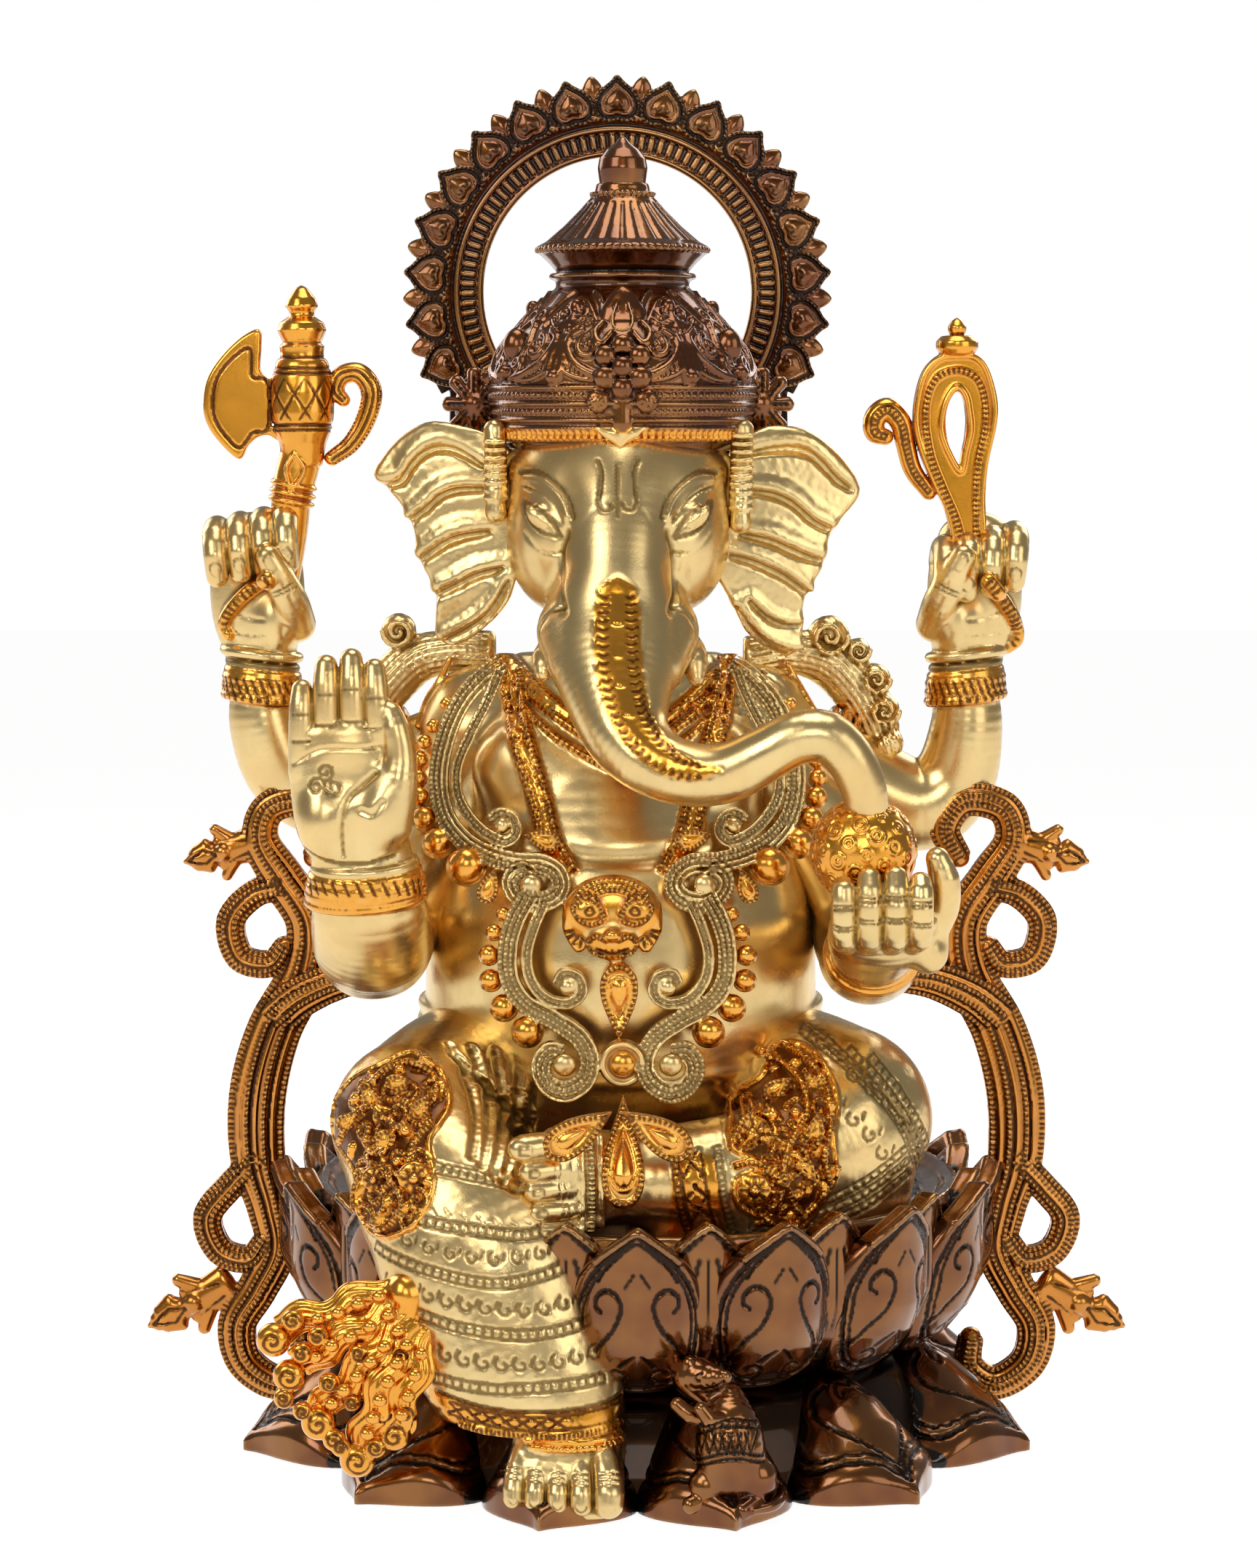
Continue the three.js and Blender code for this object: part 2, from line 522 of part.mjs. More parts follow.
// ---- what the hands hold ----
function axe(grow = 0) {
  const [x, y] = [-137, 0];
  const g = grow;
  const profile = [[8, 387], [6.5, 394], [12, 405], [13.5, 420], [11, 440], [9, 445], [10.5, 454],
    [6, 461], [7, 465]];
  const post = turned([[0, 387 - g], ...profile.map(([r, z]) => [r + g, z]), [0, 473 + g]], [x, y], 10);
  const blade = plate(
    [[x - 10 + g, 433 + g], [x - 15, 434 + g], [x - 18 + g, 442], [x - 18 + g, 453 + g],
      [x - 29, 448 + g], [x - 37 - g, 436], [x - 40 - g, 424], [x - 36 - g, 410], [x - 26, 399 - g],
      [x - 21 + g, 405 - g], [x - 16 + g, 411 - g], [x - 10 + g, 411 - g]],
    y - 3 - g, 6 + 2 * g,
  );
  const scroll = limb([[x + 14, y, 435, 4, 4], [x + 22, y, 440, 5, 4.5], [x + 29, y, 430, 5, 4.5],
    [x + 24, y, 416, 4.5, 4], [x + 17, y, 402, 3.5, 3.5]], { grow });
  const handle = limb([[x, y, 392, 8, 7], [x - 6, y + 2, 376, 8, 7], [x - 10, y + 4, 350, 7, 6.5]],
    { grow });
  return union(post, blade, scroll, handle);
}

function noose(grow = 0) {
  const [x, y] = [130, 0];
  const loop = limb(
    [[x + 6, y, 386, 6, 4.5], [x + 12, y, 404, 6.5, 4.5], [x + 11, y, 428, 6.5, 4.5], [x, y, 442, 6.5,
      4.5], [x - 11, y, 428, 6.5, 4.5], [x - 10, y, 404, 6.5, 4.5], [x + 2, y, 382, 6.5, 4.5]],
    { grow },
  );
  const tail = limb([[x + 3, y, 386, 8, 4.5], [x + 7, y + 7, 358, 6, 4.5]], { grow });
  const curl = limb([[x - 12, y, 396, 4, 4], [x - 18, y, 412, 4, 4], [x - 26, y, 421, 5, 4.5],
    [x - 32, y, 415, 5.5, 4.5]], { grow });
  const g = grow;
  const knob = turned([[0, 446 - g], [7 + g, 447], [8 + g, 451], [4 + g, 454], [4.5 + g, 457],
    [0, 462 + g]], [x, y], 12);
  return union(loop, tail, curl, knob);
}

function modak(grow = 0) {
  return ellipsoid([fx + 93, -111, 254], [20 + grow, 17.5 + grow, 20 + grow]);
}

// ---- ornaments ----

// How far forward the belly, chest and lap stand at [x, z].
function frontOf(x, z) {
  const domes = [
    [fx, -12, 206, 80, 68, 56], [fx, -4, 272, 62, 50, 46], [fx + 70, -50, 136, 44, 44, 38],
      [fx + 6, -94, 122, 60, 18, 20],
  ];
  return Math.min(-48, ...domes.map(([cx, cy, cz, rx, ry, rz]) => {
    const rest = 1 - ((x - cx) / rx) ** 2 - ((z - cz) / rz) ** 2;
    return rest > 0 ? cy - ry * Math.sqrt(rest) : 0;
  }));
}

const draped = (route, wide, thick, lift) =>
  route.map(([x, z]) => [fx + x, frontOf(fx + x, z) - lift, z, wide, thick]);

// Half of the openwork ornament that hangs over the chest and belly, as [x from the middle, z] routes.
const NECKLACE = [[46, 308], [62, 292], [65, 272], [56, 252], [44, 240], [24, 232], [8, 226]];
const BELLY_SCROLL = [[10, 230], [36, 230], [49, 216], [48, 200], [34, 186], [14, 176], [4, 170]];
const INNER_CURL = [[42, 190], [30, 194], [20, 200]];
const LEAF_SIDE = [[4, 152], [14, 150], [22, 146]];
function breastOrnament(grow = 0) {
  const sides = [-1, 1].flatMap((s) =>
    [[NECKLACE, 6, 6], [BELLY_SCROLL, 6, 7], [INNER_CURL, 4, 7], [LEAF_SIDE, 8, 6]].map(([route, wide,
      lift]) =>
      limb(draped(route.map(([x, z]) => [s * x, z]), wide, 3, lift), { grow, sides: 6 }),
    ),
  );
  const face = ellipsoid([fx, -86, 222], [20 + grow, 9 + grow, 20 + grow]);
  const spine = limb([[fx, -90, 206, 8, 5], [fx, -89, 186, 9, 6], [fx, -92, 168, 11, 7], [fx, -108, 156,
    9, 5], [fx, -118, 144, 9, 4], [fx, -118, 126, 4, 3]], { grow });
  return union(...sides, face, spine);
}

// The openwork scrolls at the sides, from the base up to the elbows. Routes are [x, z, half width].
const SCROLL_STEM = [
  [133, 238, 5], [127, 250, 6], [137, 262, 6.5], [152, 257, 6.5], [153, 243, 7], [141, 227, 8.5],
    [134, 207, 9], [138, 187, 9.5],
  [150, 164, 10], [157, 138, 10.5], [157, 112, 10], [152, 92, 9], [150, 73, 8.5], [158, 57, 8],
    [166, 42, 7.5], [163, 26, 7],
  [150, 17, 6.5], [139, 24, 5.5], [139, 36, 5],
];
const SCROLL_UPPER_CURL = [[146, 226, 5], [158, 222, 5.5], [167, 211, 5.5], [163, 196, 5.5],
  [151, 194, 5], [146, 200, 4]];
const SCROLL_LOWER_CURL = [[158, 112, 5], [170, 99, 5.5], [178, 87, 5.5], [173, 73, 5.5], [161, 70, 5],
  [154, 78, 4]];
const SCROLL_BRANCH = [[152, 168, 9], [138, 178, 8], [122, 187, 7], [108, 190, 6]];
function sideScroll(side, grow = 0) {
  const run = (route) => limb(route.map(([x, z, wide]) => [side * x, 0, z, wide, SCROLL_DEPTH]),
    { grow, sides: 6 });
  const branch = limb(SCROLL_BRANCH.map(([x, z, wide], i) => [side * x, -4 * i, z, wide,
    SCROLL_DEPTH + i]), { grow });
  const g = grow;
  const buds = [
    limb([[side * 158, 0, 244, 7, 5], [side * 170, 0, 242, 8, 5], [side * 183, 0, 240, 2.5, 2.5]],
      { grow }),
    limb([[side * 170, 0, 58, 7, 5], [side * 183, 0, 53, 10, 5], [side * 202, 0, 45, 2, 2]], { grow }),
  ];
  return union(run(SCROLL_STEM), run(SCROLL_UPPER_CURL), run(SCROLL_LOWER_CURL), branch, ...buds);
}
const scrollFinish = (side) => (made) => cut(made, bar([side * 120, 0, SCROLL_SCREW_Z], [side * 160, 0,
  SCROLL_SCREW_Z], SCREW_R + GAP, 10));

// The fluttering end of the shawl beside the hanging leg.
function sashEnd(grow = 0) {
  const strand = (route) => limb(route.map(([x, z, w]) => [x, -138 + (x + 140) * 0.1, z, w, w]),
    { grow, sides: 6 });
  return union(
    strand([[-84, 84, 8], [-104, 80, 9], [-122, 74, 8], [-134, 78, 6]]),
    strand([[-104, 80, 9], [-122, 62, 8], [-130, 54, 6]]),
    strand([[-96, 80, 8], [-108, 58, 9], [-116, 40, 8], [-108, 32, 6]]),
    strand([[-92, 78, 7], [-96, 54, 7], [-98, 34, 6], [-100, 24, 5]]),
    strand([[-88, 74, 6], [-82, 58, 6], [-78, 48, 5]]),
  );
}

// The rolled edge of the shawl that stands up behind each shoulder.
function shoulderSash(side, grow = 0) {
  const x = (v) => fx + side * v;
  const roll = limb([[x(66), 14, 318, 7, 7], [x(80), 18, 322, 8, 8], [x(92), 18, 316, 8, 8],
    [x(104), 18, 304, 8, 8], [x(112), 16, 288, 6, 6]], { grow });
  const curl = ellipsoid([x(86), 16, 326], [9 + grow, 8 + grow, 9 + grow]);
  return union(roll, curl);
}

// The mouse on the front of the base, looking up at the idol.
function mouse(grow = 0) {
  const g = grow;
  return union(
    ellipsoid([36, -138, 32], [13 + g, 13 + g, 15 + g], [0, -15, 0], 12, 8),
    ellipsoid([29, -136, 44], [9 + g, 9 + g, 9 + g]),
    limb([[20, -134, 53, 8, 8], [28, -138, 57, 6, 6], [36, -142, 60, 3, 3]], { grow }),
    limb([[50, -134, 24, 4, 4], [48, -148, 20, 3.5, 3.5], [36, -153, 20, 3, 3]],
      { grow, depthAxis: [0, 0, 1] }),
  );
}

// ---- fasteners ----
const screw = (from, to, radius, headRadius, headLength) => {
  const a = new THREE.Vector3(...from);
  const along = new THREE.Vector3(...to).sub(a).normalize();
  const headEnd = a.clone().addScaledVector(along, -headLength).toArray();
  return union(bar(from, to, radius, 8), bar(headEnd, from, headRadius, 8));
};

// ---- the assembly, in the order in which each casting gives way to the ones before ----
cast("lotus_base_lower", copperLacquer, lotusLower, lotusLowerFinish);
cast("lotus_base_upper", copperLacquer, lotusUpper, lotusUpperFinish);
cast("torso", paleBrass, torso, torsoFinish);
cast("head", paleBrass, head, headFinish);
cast("leg_right", paleBrass, legRight, (made) => cut(made, rightThigh({ grow: -LEG_WALL }),
  rightShin({ grow: -LEG_WALL })));
cast("leg_left", paleBrass, legLeft, (made) => cut(made, leftThigh({ grow: -LEG_WALL })));
cast("arm_lower_right", paleBrass, armLowerRight, withPeg("arm_lower_right"));
cast("arm_lower_left", paleBrass, armLowerLeft, withPeg("arm_lower_left"));
cast("arm_upper_right", paleBrass, armUpperRight, withPeg("arm_upper_right"));
cast("arm_upper_left", paleBrass, armUpperLeft, withPeg("arm_upper_left"));
cast("crown", copperLacquer, crown, crownFinish);
cast("crown_finial", copperLacquer, crownFinial, finialPeg);
cast("ear_right", paleBrass, (g = 0) => ear(-1, g));
cast("ear_left", paleBrass, (g = 0) => ear(1, g));
cast("halo", copperLacquer, halo, haloFinish);
cast("axe", goldLacquer, axe);
cast("noose", goldLacquer, noose);
cast("modak", goldLacquer, modak);
cast("breast_ornament", paleBrass, breastOrnament);
cast("shoulder_sash_right", paleBrass, (g = 0) => shoulderSash(-1, g));
cast("shoulder_sash_left", paleBrass, (g = 0) => shoulderSash(1, g));
cast("side_scroll_right", goldLacquer, (g = 0) => sideScroll(-1, g), scrollFinish(-1));
cast("side_scroll_left", goldLacquer, (g = 0) => sideScroll(1, g), scrollFinish(1));
cast("sash_end", goldLacquer, sashEnd);
cast("mouse", copperLacquer, mouse);

const underDeck = DECK_Z - DECK_THICK;
show("centre_stud", bar([fx, 0, underDeck - 16], [fx, 0, 128], STUD_R, 16), plainSteel);
show("centre_washer", cut(bar([fx, 0, underDeck - 2.3], [fx, 0, underDeck - GAP], 14, 20),
  bar([fx, 0, 0], [fx, 0, 200], STUD_R + GAP, 16)), plainSteel);
show("centre_nut", cut(bar([fx, 0, underDeck - 9.5], [fx, 0, underDeck - 2.6], 8, 6), bar([fx, 0, 0],
  [fx, 0, 200], STUD_R + GAP, 16)), plainSteel);
for (const i of [0, 1, 2]) {
  const headZ = FLANGE_Z - 6 - GAP;
  show(`lotus_bolt_${i + 1}`, screw([...boltAt(i), headZ], [...boltAt(i), 58], BOLT_R, 5.5, 4), plainSteel);
}
for (const [name, side] of [["right", -1], ["left", 1]]) {
  const x = fx + side * HALO_LEG_X;
  const back = HALO_Y + HALO_THICK + GAP;
  show(`halo_screw_${name}`, screw([x, back, HALO_SCREW_Z], [x, HALO_Y - 14, HALO_SCREW_Z], SCREW_R, 5,
    3), plainSteel);
  show(`scroll_screw_${name}`, screw([side * (BASE_WALL_R - 1.5), 0, SCROLL_SCREW_Z], [side * 156, 0,
    SCROLL_SCREW_Z], SCREW_R, 5, 3), plainSteel);
}

export default root;
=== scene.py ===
import json
import math

import bpy
import numpy as np
import openvdb
from mathutils import Matrix, Vector

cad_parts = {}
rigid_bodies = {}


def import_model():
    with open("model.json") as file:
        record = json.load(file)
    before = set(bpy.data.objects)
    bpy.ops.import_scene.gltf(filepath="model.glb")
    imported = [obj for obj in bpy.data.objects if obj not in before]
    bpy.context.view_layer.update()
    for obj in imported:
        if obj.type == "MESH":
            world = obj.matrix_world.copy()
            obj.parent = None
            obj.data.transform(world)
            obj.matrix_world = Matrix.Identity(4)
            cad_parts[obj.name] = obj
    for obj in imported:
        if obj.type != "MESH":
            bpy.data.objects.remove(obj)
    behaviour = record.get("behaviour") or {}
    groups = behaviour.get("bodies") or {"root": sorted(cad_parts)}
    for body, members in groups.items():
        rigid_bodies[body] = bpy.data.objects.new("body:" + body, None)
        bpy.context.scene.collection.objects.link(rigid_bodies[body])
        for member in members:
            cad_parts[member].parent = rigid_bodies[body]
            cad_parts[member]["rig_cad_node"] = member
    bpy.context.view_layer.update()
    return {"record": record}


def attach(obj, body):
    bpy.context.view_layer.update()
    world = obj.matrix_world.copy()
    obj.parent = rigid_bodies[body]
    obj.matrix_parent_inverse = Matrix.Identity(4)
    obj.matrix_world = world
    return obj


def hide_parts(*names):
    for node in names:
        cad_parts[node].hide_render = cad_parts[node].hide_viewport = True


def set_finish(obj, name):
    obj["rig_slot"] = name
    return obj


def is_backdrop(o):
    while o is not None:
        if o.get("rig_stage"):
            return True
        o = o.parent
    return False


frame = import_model()
MM = 0.001
FAR = 9.0  # distances are only kept up to this

# tints, as painted on the clay; DARK is the patina left in cuts, and painted shade on a few dark sheets,
# over any of the others
PALE, GOLD, BRONZE, COPPER, DARK = 0, 1, 2, 3, 4


# ---- vectors and curves ----
def vec(*v):
    return np.array(v, float)


def unit(v):
    v = np.asarray(v, float)
    return v / max(np.linalg.norm(v), 1e-9)


def smooth_path(points, step=1.5):
    """A dense Catmull-Rom curve through points; every column is interpolated alike."""
    p = np.asarray(points, float)
    if len(p) < 3:
        n = max(int(np.linalg.norm(p[1, :3] - p[0, :3]) / step), 1)
        t = np.linspace(0, 1, n + 1)[:, None]
        return p[0] * (1 - t) + p[-1] * t
    ends = np.vstack([2 * p[0] - p[1], p, 2 * p[-1] - p[-2]])
    out = []
    for a, b, c, d in zip(ends, ends[1:], ends[2:], ends[3:]):
        n = max(int(np.linalg.norm((c - b)[:3]) / step), 1)
        t = np.arange(n)[:, None] / n
        cubic = 2 * b + (c - a) * t + (2 * a - 5 * b + 4 * c - d) * t**2 + (3 * b - a - 3 * c + d) * t**3
        out.append(0.5 * cubic)
    return np.vstack(out + [p[-1:]])


def resample(path, pitch):
    """Points every pitch along a path."""
    gaps = np.linalg.norm(np.diff(path[:, :3], axis=0), axis=1)
    run = np.concatenate([[0], np.cumsum(gaps)])
    n = max(int(round(run[-1] / pitch)), 1)
    at = np.linspace(0, run[-1], n + 1)
    return np.stack([np.interp(at, run, path[:, i]) for i in range(path.shape[1])], axis=1)


def beside(path, normal, by):
    """A path moved sideways, across its own direction and the normal."""
    along = np.gradient(path[:, :3], axis=0)
    side = np.cross(along, np.broadcast_to(normal, along.shape))
    side /= np.maximum(np.linalg.norm(side, axis=1), 1e-9)[:, None]
    moved = path.copy()
    moved[:, :3] += side * np.reshape(by, (-1, 1))
    return moved


def spiral(centre, start, end_radius, turns, points=26):
    """A spiral that faces the front, round centre, from the point start inward. turns is signed."""
    u, v = vec(1, 0, 0), vec(0, 0, 1)
    c = vec(*centre)
    away = vec(*start) - c
    a0 = math.atan2(away @ v, away @ u)
    r0 = math.hypot(away @ v, away @ u)
    t = np.linspace(0, 1, points)
    a = a0 + turns * 2 * math.pi * t
    r = r0 + (end_radius - r0) * t
    return c + (r * np.cos(a))[:, None] * u + (r * np.sin(a))[:, None] * v


# ---- clay ----
def soft_min(a, b, k):
    if k <= 0:
        return np.minimum(a, b)
    h = np.clip(0.5 + 0.5 * (b - a) / k, 0, 1)
    return b + (a - b) * h - k * h * (1 - h)


def polygon_distance(u, v, outline):
    """Signed distance to a closed outline in the plane."""
    p = np.asarray(outline, float)
    best = np.full(u.shape, 1e9)
    sign = np.ones(u.shape)
    for (ax, ay), (bx, by) in zip(p, np.roll(p, -1, axis=0)):
        ex, ey = bx - ax, by - ay
        wx, wy = u - ax, v - ay
        t = np.clip((wx * ex + wy * ey) / max(ex * ex + ey * ey, 1e-12), 0, 1)
        best = np.minimum(best, (wx - ex * t) ** 2 + (wy - ey * t) ** 2)
        above, below = (v >= ay), (v < by)
        left = ex * wy > ey * wx
        flip = (above & below & left) | (~above & ~below & ~left)
        sign = np.where(flip, -sign, sign)
    return sign * np.sqrt(best)


class Clay:
    def __init__(self, low, high, h, base=PALE):
        self.h = h
        self.low = vec(*low)
        n = np.ceil((vec(*high) - self.low) / h).astype(int) + 1
        self.d = np.full(n, FAR, np.float32)
        self.tint = np.full(n, base, np.uint8)
        self.patina_and_shade = np.zeros(n, np.uint8)

    def window(self, low, high):
        n = np.array(self.d.shape)
        a = np.clip(np.floor((np.asarray(low) - self.low) / self.h).astype(int), 0, n)
        b = np.clip(np.ceil((np.asarray(high) - self.low) / self.h).astype(int) + 1, 0, n)
        cells = tuple(slice(p, q) for p, q in zip(a, b))
        axes = [(self.low[i] + self.h * np.arange(a[i], b[i])).astype(np.float32) for i in range(3)]
        return cells, np.meshgrid(*axes, indexing="ij", sparse=True), bool(np.all(b > a))

    def blend(self, low, high, shape, k, cut, tint):
        pad = k + 2.5 * self.h + (0 if cut else 1.5)
        cells, grid, some = self.window(np.asarray(low) - pad, np.asarray(high) + pad)
        if not some:
            return
        d = shape(*grid)
        self.apply(cells, d, k, cut, tint)

    def apply(self, cells, d, k, cut, tint):
        old = self.d[cells]
        self.d[cells] = -soft_min(-old, d, k) if cut else soft_min(old, d, k)
        self.tint_cells(cells, d < (0.4 if cut else 0.6) * self.h, tint)

    def tint_cells(self, cells, where, tint):
        if tint == DARK:
            self.patina_and_shade[cells][where] = 1
        elif tint is not None:
            self.tint[cells][where] = tint
            self.patina_and_shade[cells][where] = 0

    # solids
    def ball(self, centre, radii, turn=None, k=0, cut=False, tint=None):
        """An ellipsoid; turn is a 3x3 matrix whose columns are its own axes."""
        c = vec(*centre)
        r = np.broadcast_to(np.asarray(radii, float), 3)
        m = np.eye(3) if turn is None else np.asarray(turn, float)
        reach = np.sqrt(((m * r) ** 2).sum(axis=1))

        def shape(x, y, z):
            p = [x - c[0], y - c[1], z - c[2]]
            q = [m[0, i] * p[0] + m[1, i] * p[1] + m[2, i] * p[2] for i in range(3)]
            k0 = np.sqrt(sum((q[i] / r[i]) ** 2 for i in range(3)))
            k1 = np.sqrt(sum((q[i] / r[i] ** 2) ** 2 for i in range(3)))
            return k0 * (k0 - 1) / np.maximum(k1, 1e-6)

        self.blend(c - reach, c + reach, shape, k, cut, tint)

    def tube(self, path, radius, k=0, cut=False, tint=None, dense=False):
        """A round tube along a path. radius is one number, or one for each point."""
        if len(path) < 2:
            return
        p = np.asarray(path, float)[:, :3]
        r = np.broadcast_to(np.asarray(radius, float), len(p))
        pr = np.column_stack([p, r])
        if not dense:
            pr = smooth_path(pr, max(1.2, self.h * 1.5))
        self.limb(np.column_stack([pr[:, :3], pr[:, 3], pr[:, 3]]), k=k, cut=cut, tint=tint, dense=True)

    def limb(self, stations, deep=(0, 1, 0), k=0, cut=False, tint=None, dense=False, step=3.0):
        """A limb through stations [x, y, z, half width, half depth], its depth measured along deep."""
        s = np.asarray(stations, float) if dense else smooth_path(stations, step)
        reach = s[:, 3:5].max()
        pad = reach + k + 2.5 * self.h + (0 if cut else 1.5)
        cells, _, some = self.window(s[:, :3].min(0) - pad, s[:, :3].max(0) + pad)
        if not some:
            return
        start = np.array([c.start for c in cells])
        whole = np.full([c.stop - c.start for c in cells], FAR + k, np.float32)
        round_ = np.allclose(s[:, 3], s[:, 4])
        for a, b in zip(s[:-1], s[1:]):
            pad_ab = max(a[3], a[4], b[3], b[4]) + k + 2 * self.h + (0 if cut else 1.5)
            sub, g, ok = self.window(np.minimum(a[:3], b[:3]) - pad_ab, np.maximum(a[:3], b[:3]) + pad_ab)
            if not ok:
                continue
            e = b[:3] - a[:3]
            length = np.linalg.norm(e)
            if length < 1e-6:
                continue
            w = [g[i] - a[i] for i in range(3)]
            t_raw = (w[0] * e[0] + w[1] * e[1] + w[2] * e[2]) / length**2
            t = np.clip(t_raw, 0, 1)
            wide = a[3] + (b[3] - a[3]) * t
            if round_:
                off = [w[i] - e[i] * t for i in range(3)]
                d = np.sqrt(off[0] ** 2 + off[1] ** 2 + off[2] ** 2) - wide
            else:
                side = unit(np.cross(e, deep))
                front = unit(np.cross(side, e))
                thick = a[4] + (b[4] - a[4]) * t
                low_r = np.minimum(wide, thick)
                u = w[0] * side[0] + w[1] * side[1] + w[2] * side[2]
                v = w[0] * front[0] + w[1] * front[1] + w[2] * front[2]
                o = (t_raw - t) * length
                k0 = np.sqrt((u / wide) ** 2 + (v / thick) ** 2 + (o / low_r) ** 2)
                k1 = np.sqrt((u / wide**2) ** 2 + (v / thick**2) ** 2 + (o / low_r**2) ** 2)
                d = k0 * (k0 - 1) / np.maximum(k1, 1e-6)
            place = tuple(slice(c.start - q, c.stop - q) for c, q in zip(sub, start))
            # the sub-window may reach outside the limb's own window
            trim = tuple(slice(max(0, -p.start), (p.stop - p.start) - max(0, p.stop - n)) for p,
                n in zip(place, whole.shape))
            place = tuple(slice(max(0, p.start), min(n, p.stop)) for p, n in zip(place, whole.shape))
            whole[place] = np.minimum(whole[place], d[trim])
        self.apply(cells, whole, k, cut, tint)

    def stamp(self, centre, normal, up, half, fn, k=0, tint=None):
        """A small motif on a surface: fn(u, v, w) is its distance, with u across, v up and w outwards."""
        c = vec(*centre)
        w_ = unit(normal)
        u_ = unit(np.cross(up, w_))
        v_ = np.cross(w_, u_)
        half = np.broadcast_to(np.asarray(half, float), 3)
        m = np.stack([u_, v_, w_], axis=1)
        reach = np.abs(m) @ half

        def shape(x, y, z):
            p = [x - c[0], y - c[1], z - c[2]]
            u, v, w = (m[0, i] * p[0] + m[1, i] * p[1] + m[2, i] * p[2] for i in range(3))
            return fn(u, v, w)

        self.blend(c - reach, c + reach, shape, k, False, tint)

    def lathe(self, profile, axis, tint=None, ripple=None):
        """A closed outline of [radius, z] turned about a vertical axis.
        ripple(angle, z) moves it outwards."""
        pr = np.asarray(profile, float)
        r_max, z0, z1 = pr[:, 0].max(), pr[:, 1].min(), pr[:, 1].max()
        step = 0.35
        rs = np.arange(0, r_max + 12, step)
        zs = np.arange(z0 - 12, z1 + 12, step)
        table = polygon_distance(*np.meshgrid(rs, zs, indexing="ij"), pr).astype(np.float32)

        def shape(x, y, z):
            r = np.hypot(x - axis[0], y - axis[1])
            if ripple is not None:
                r = r - ripple(np.arctan2(x - axis[0], -(y - axis[1])), z)
            fr = np.clip(r / step, 0, len(rs) - 1.001)
            fz = np.clip((z - zs[0]) / step, 0, len(zs) - 1.001)
            fr, fz = np.broadcast_arrays(fr, fz)
            i, j = fr.astype(int), fz.astype(int)
            a, b = fr - i, fz - j
            return ((1 - a) * (1 - b) * table[i, j] + a * (1 - b) * table[i + 1, j]
                    + (1 - a) * b * table[i, j + 1] + a * b * table[i + 1, j + 1])

        low = vec(axis[0] - r_max, axis[1] - r_max, z0)
        high = vec(axis[0] + r_max, axis[1] + r_max, z1)
        self.blend(low, high, shape, 0, False, tint)

    def plate(self, outline, y, half, k=0, cut=False, tint=None, soft=0.8, puff=0.0):
        """A plate in the XZ plane with rounded edges; puff makes it swell towards its middle.
        y is a number or a function of x and z."""
        p = np.asarray(outline, float)
        lo, hi = p.min(0), p.max(0)
        y0, y1 = (y, y) if np.isscalar(y) else (self.low[1], self.low[1] + self.h * self.d.shape[1])

        def shape(x, yy, z):
            u, v = np.broadcast_arrays(x[:, :, :1] if x.ndim == 3 else x, z)
            d2 = polygon_distance(u, v, p).astype(np.float32)
            thick = half + puff * (1 - np.exp(np.minimum(d2, 0) / 4.0))
            mid = y if np.isscalar(y) else y(u, v)
            q1 = d2 + soft
            q2 = np.abs(yy - mid) - thick + soft
            return np.minimum(np.maximum(q1, q2), 0) + np.hypot(np.maximum(q1, 0),
                np.maximum(q2, 0)) - soft

        reach = half + puff
        self.blend(vec(lo[0], y0 - reach, lo[1]), vec(hi[0], y1 + reach, hi[1]), shape, k, cut, tint)

    # ornament on the surface
    def front(self, points, lift=0.0):
        """Where the surface stands in front of each [x, z]."""
        p = np.asarray(points, float)
        out = []
        for x, z in p:
            i = int(round((x - self.low[0]) / self.h))
            k = int(round((z - self.low[2]) / self.h))
            i = min(max(i, 0), self.d.shape[0] - 1)
            k = min(max(k, 0), self.d.shape[2] - 1)
            column = self.d[i, :, k]
            inside = np.argmax(column < 0)
            if column[inside] >= 0:
                out.append([x, np.nan, z])
                continue
            f = inside - (column[inside] / (column[inside] - column[inside - 1]) if inside else 0)
            out.append([x, self.low[1] + self.h * f - lift, z])
        out = np.array(out)
        bad = np.isnan(out[:, 1])
        if bad.all():
            return np.zeros((0, 3))
        if bad.any():
            out[bad, 1] = np.interp(np.flatnonzero(bad), np.flatnonzero(~bad), out[~bad, 1])
        return out

    def above(self, x, y):
        """Where the surface stands over [x, y]."""
        i, j = (min(max(int(round((v - low) / self.h)), 0), n - 1) for v, low, n in zip((x, y), self.low,
            self.d.shape))
        column = self.d[i, j, ::-1]
        first = max(int(np.argmax(column < 0)), 1)
        f = first - column[first] / min(column[first] - column[first - 1],
            -1e-6) if column[first] < 0 else len(column) - 1
        return vec(x, y, self.low[2] + self.h * (len(column) - 1 - f))

    def normal(self, p):
        i = np.clip(np.round((np.asarray(p) - self.low) / self.h).astype(int), 1,
            np.array(self.d.shape) - 2)
        g = [self.d[tuple(i + e)] - self.d[tuple(i - e)] for e in np.eye(3, dtype=int)]
        return unit(g)

    def rail(self, path, radius, k=0.4, tint=None):
        self.tube(path, radius, k=k, tint=tint, dense=True)

    def groove(self, path, radius, tint=None, k=0.3):
        self.tube(path, radius, k=k, cut=True, tint=tint, dense=True)

    def beads(self, path, pitch, radius, tint=None, k=0.2):
        for p in resample(path, pitch):
            self.ball(p[:3], radius, k=k, tint=tint)

    def notches(self, path, pitch, across, radius, tint=None):
        """Short cuts across a path."""
        if len(path) < 2:
            return
        pts = resample(path, pitch)
        along = np.gradient(pts[:, :3], axis=0)
        for p, t in zip(pts, along):
            side = unit(np.cross(t, (0, -1, 0))) * across
            self.tube([p[:3] - side, p[:3] + side], radius, cut=True, tint=tint, dense=True)

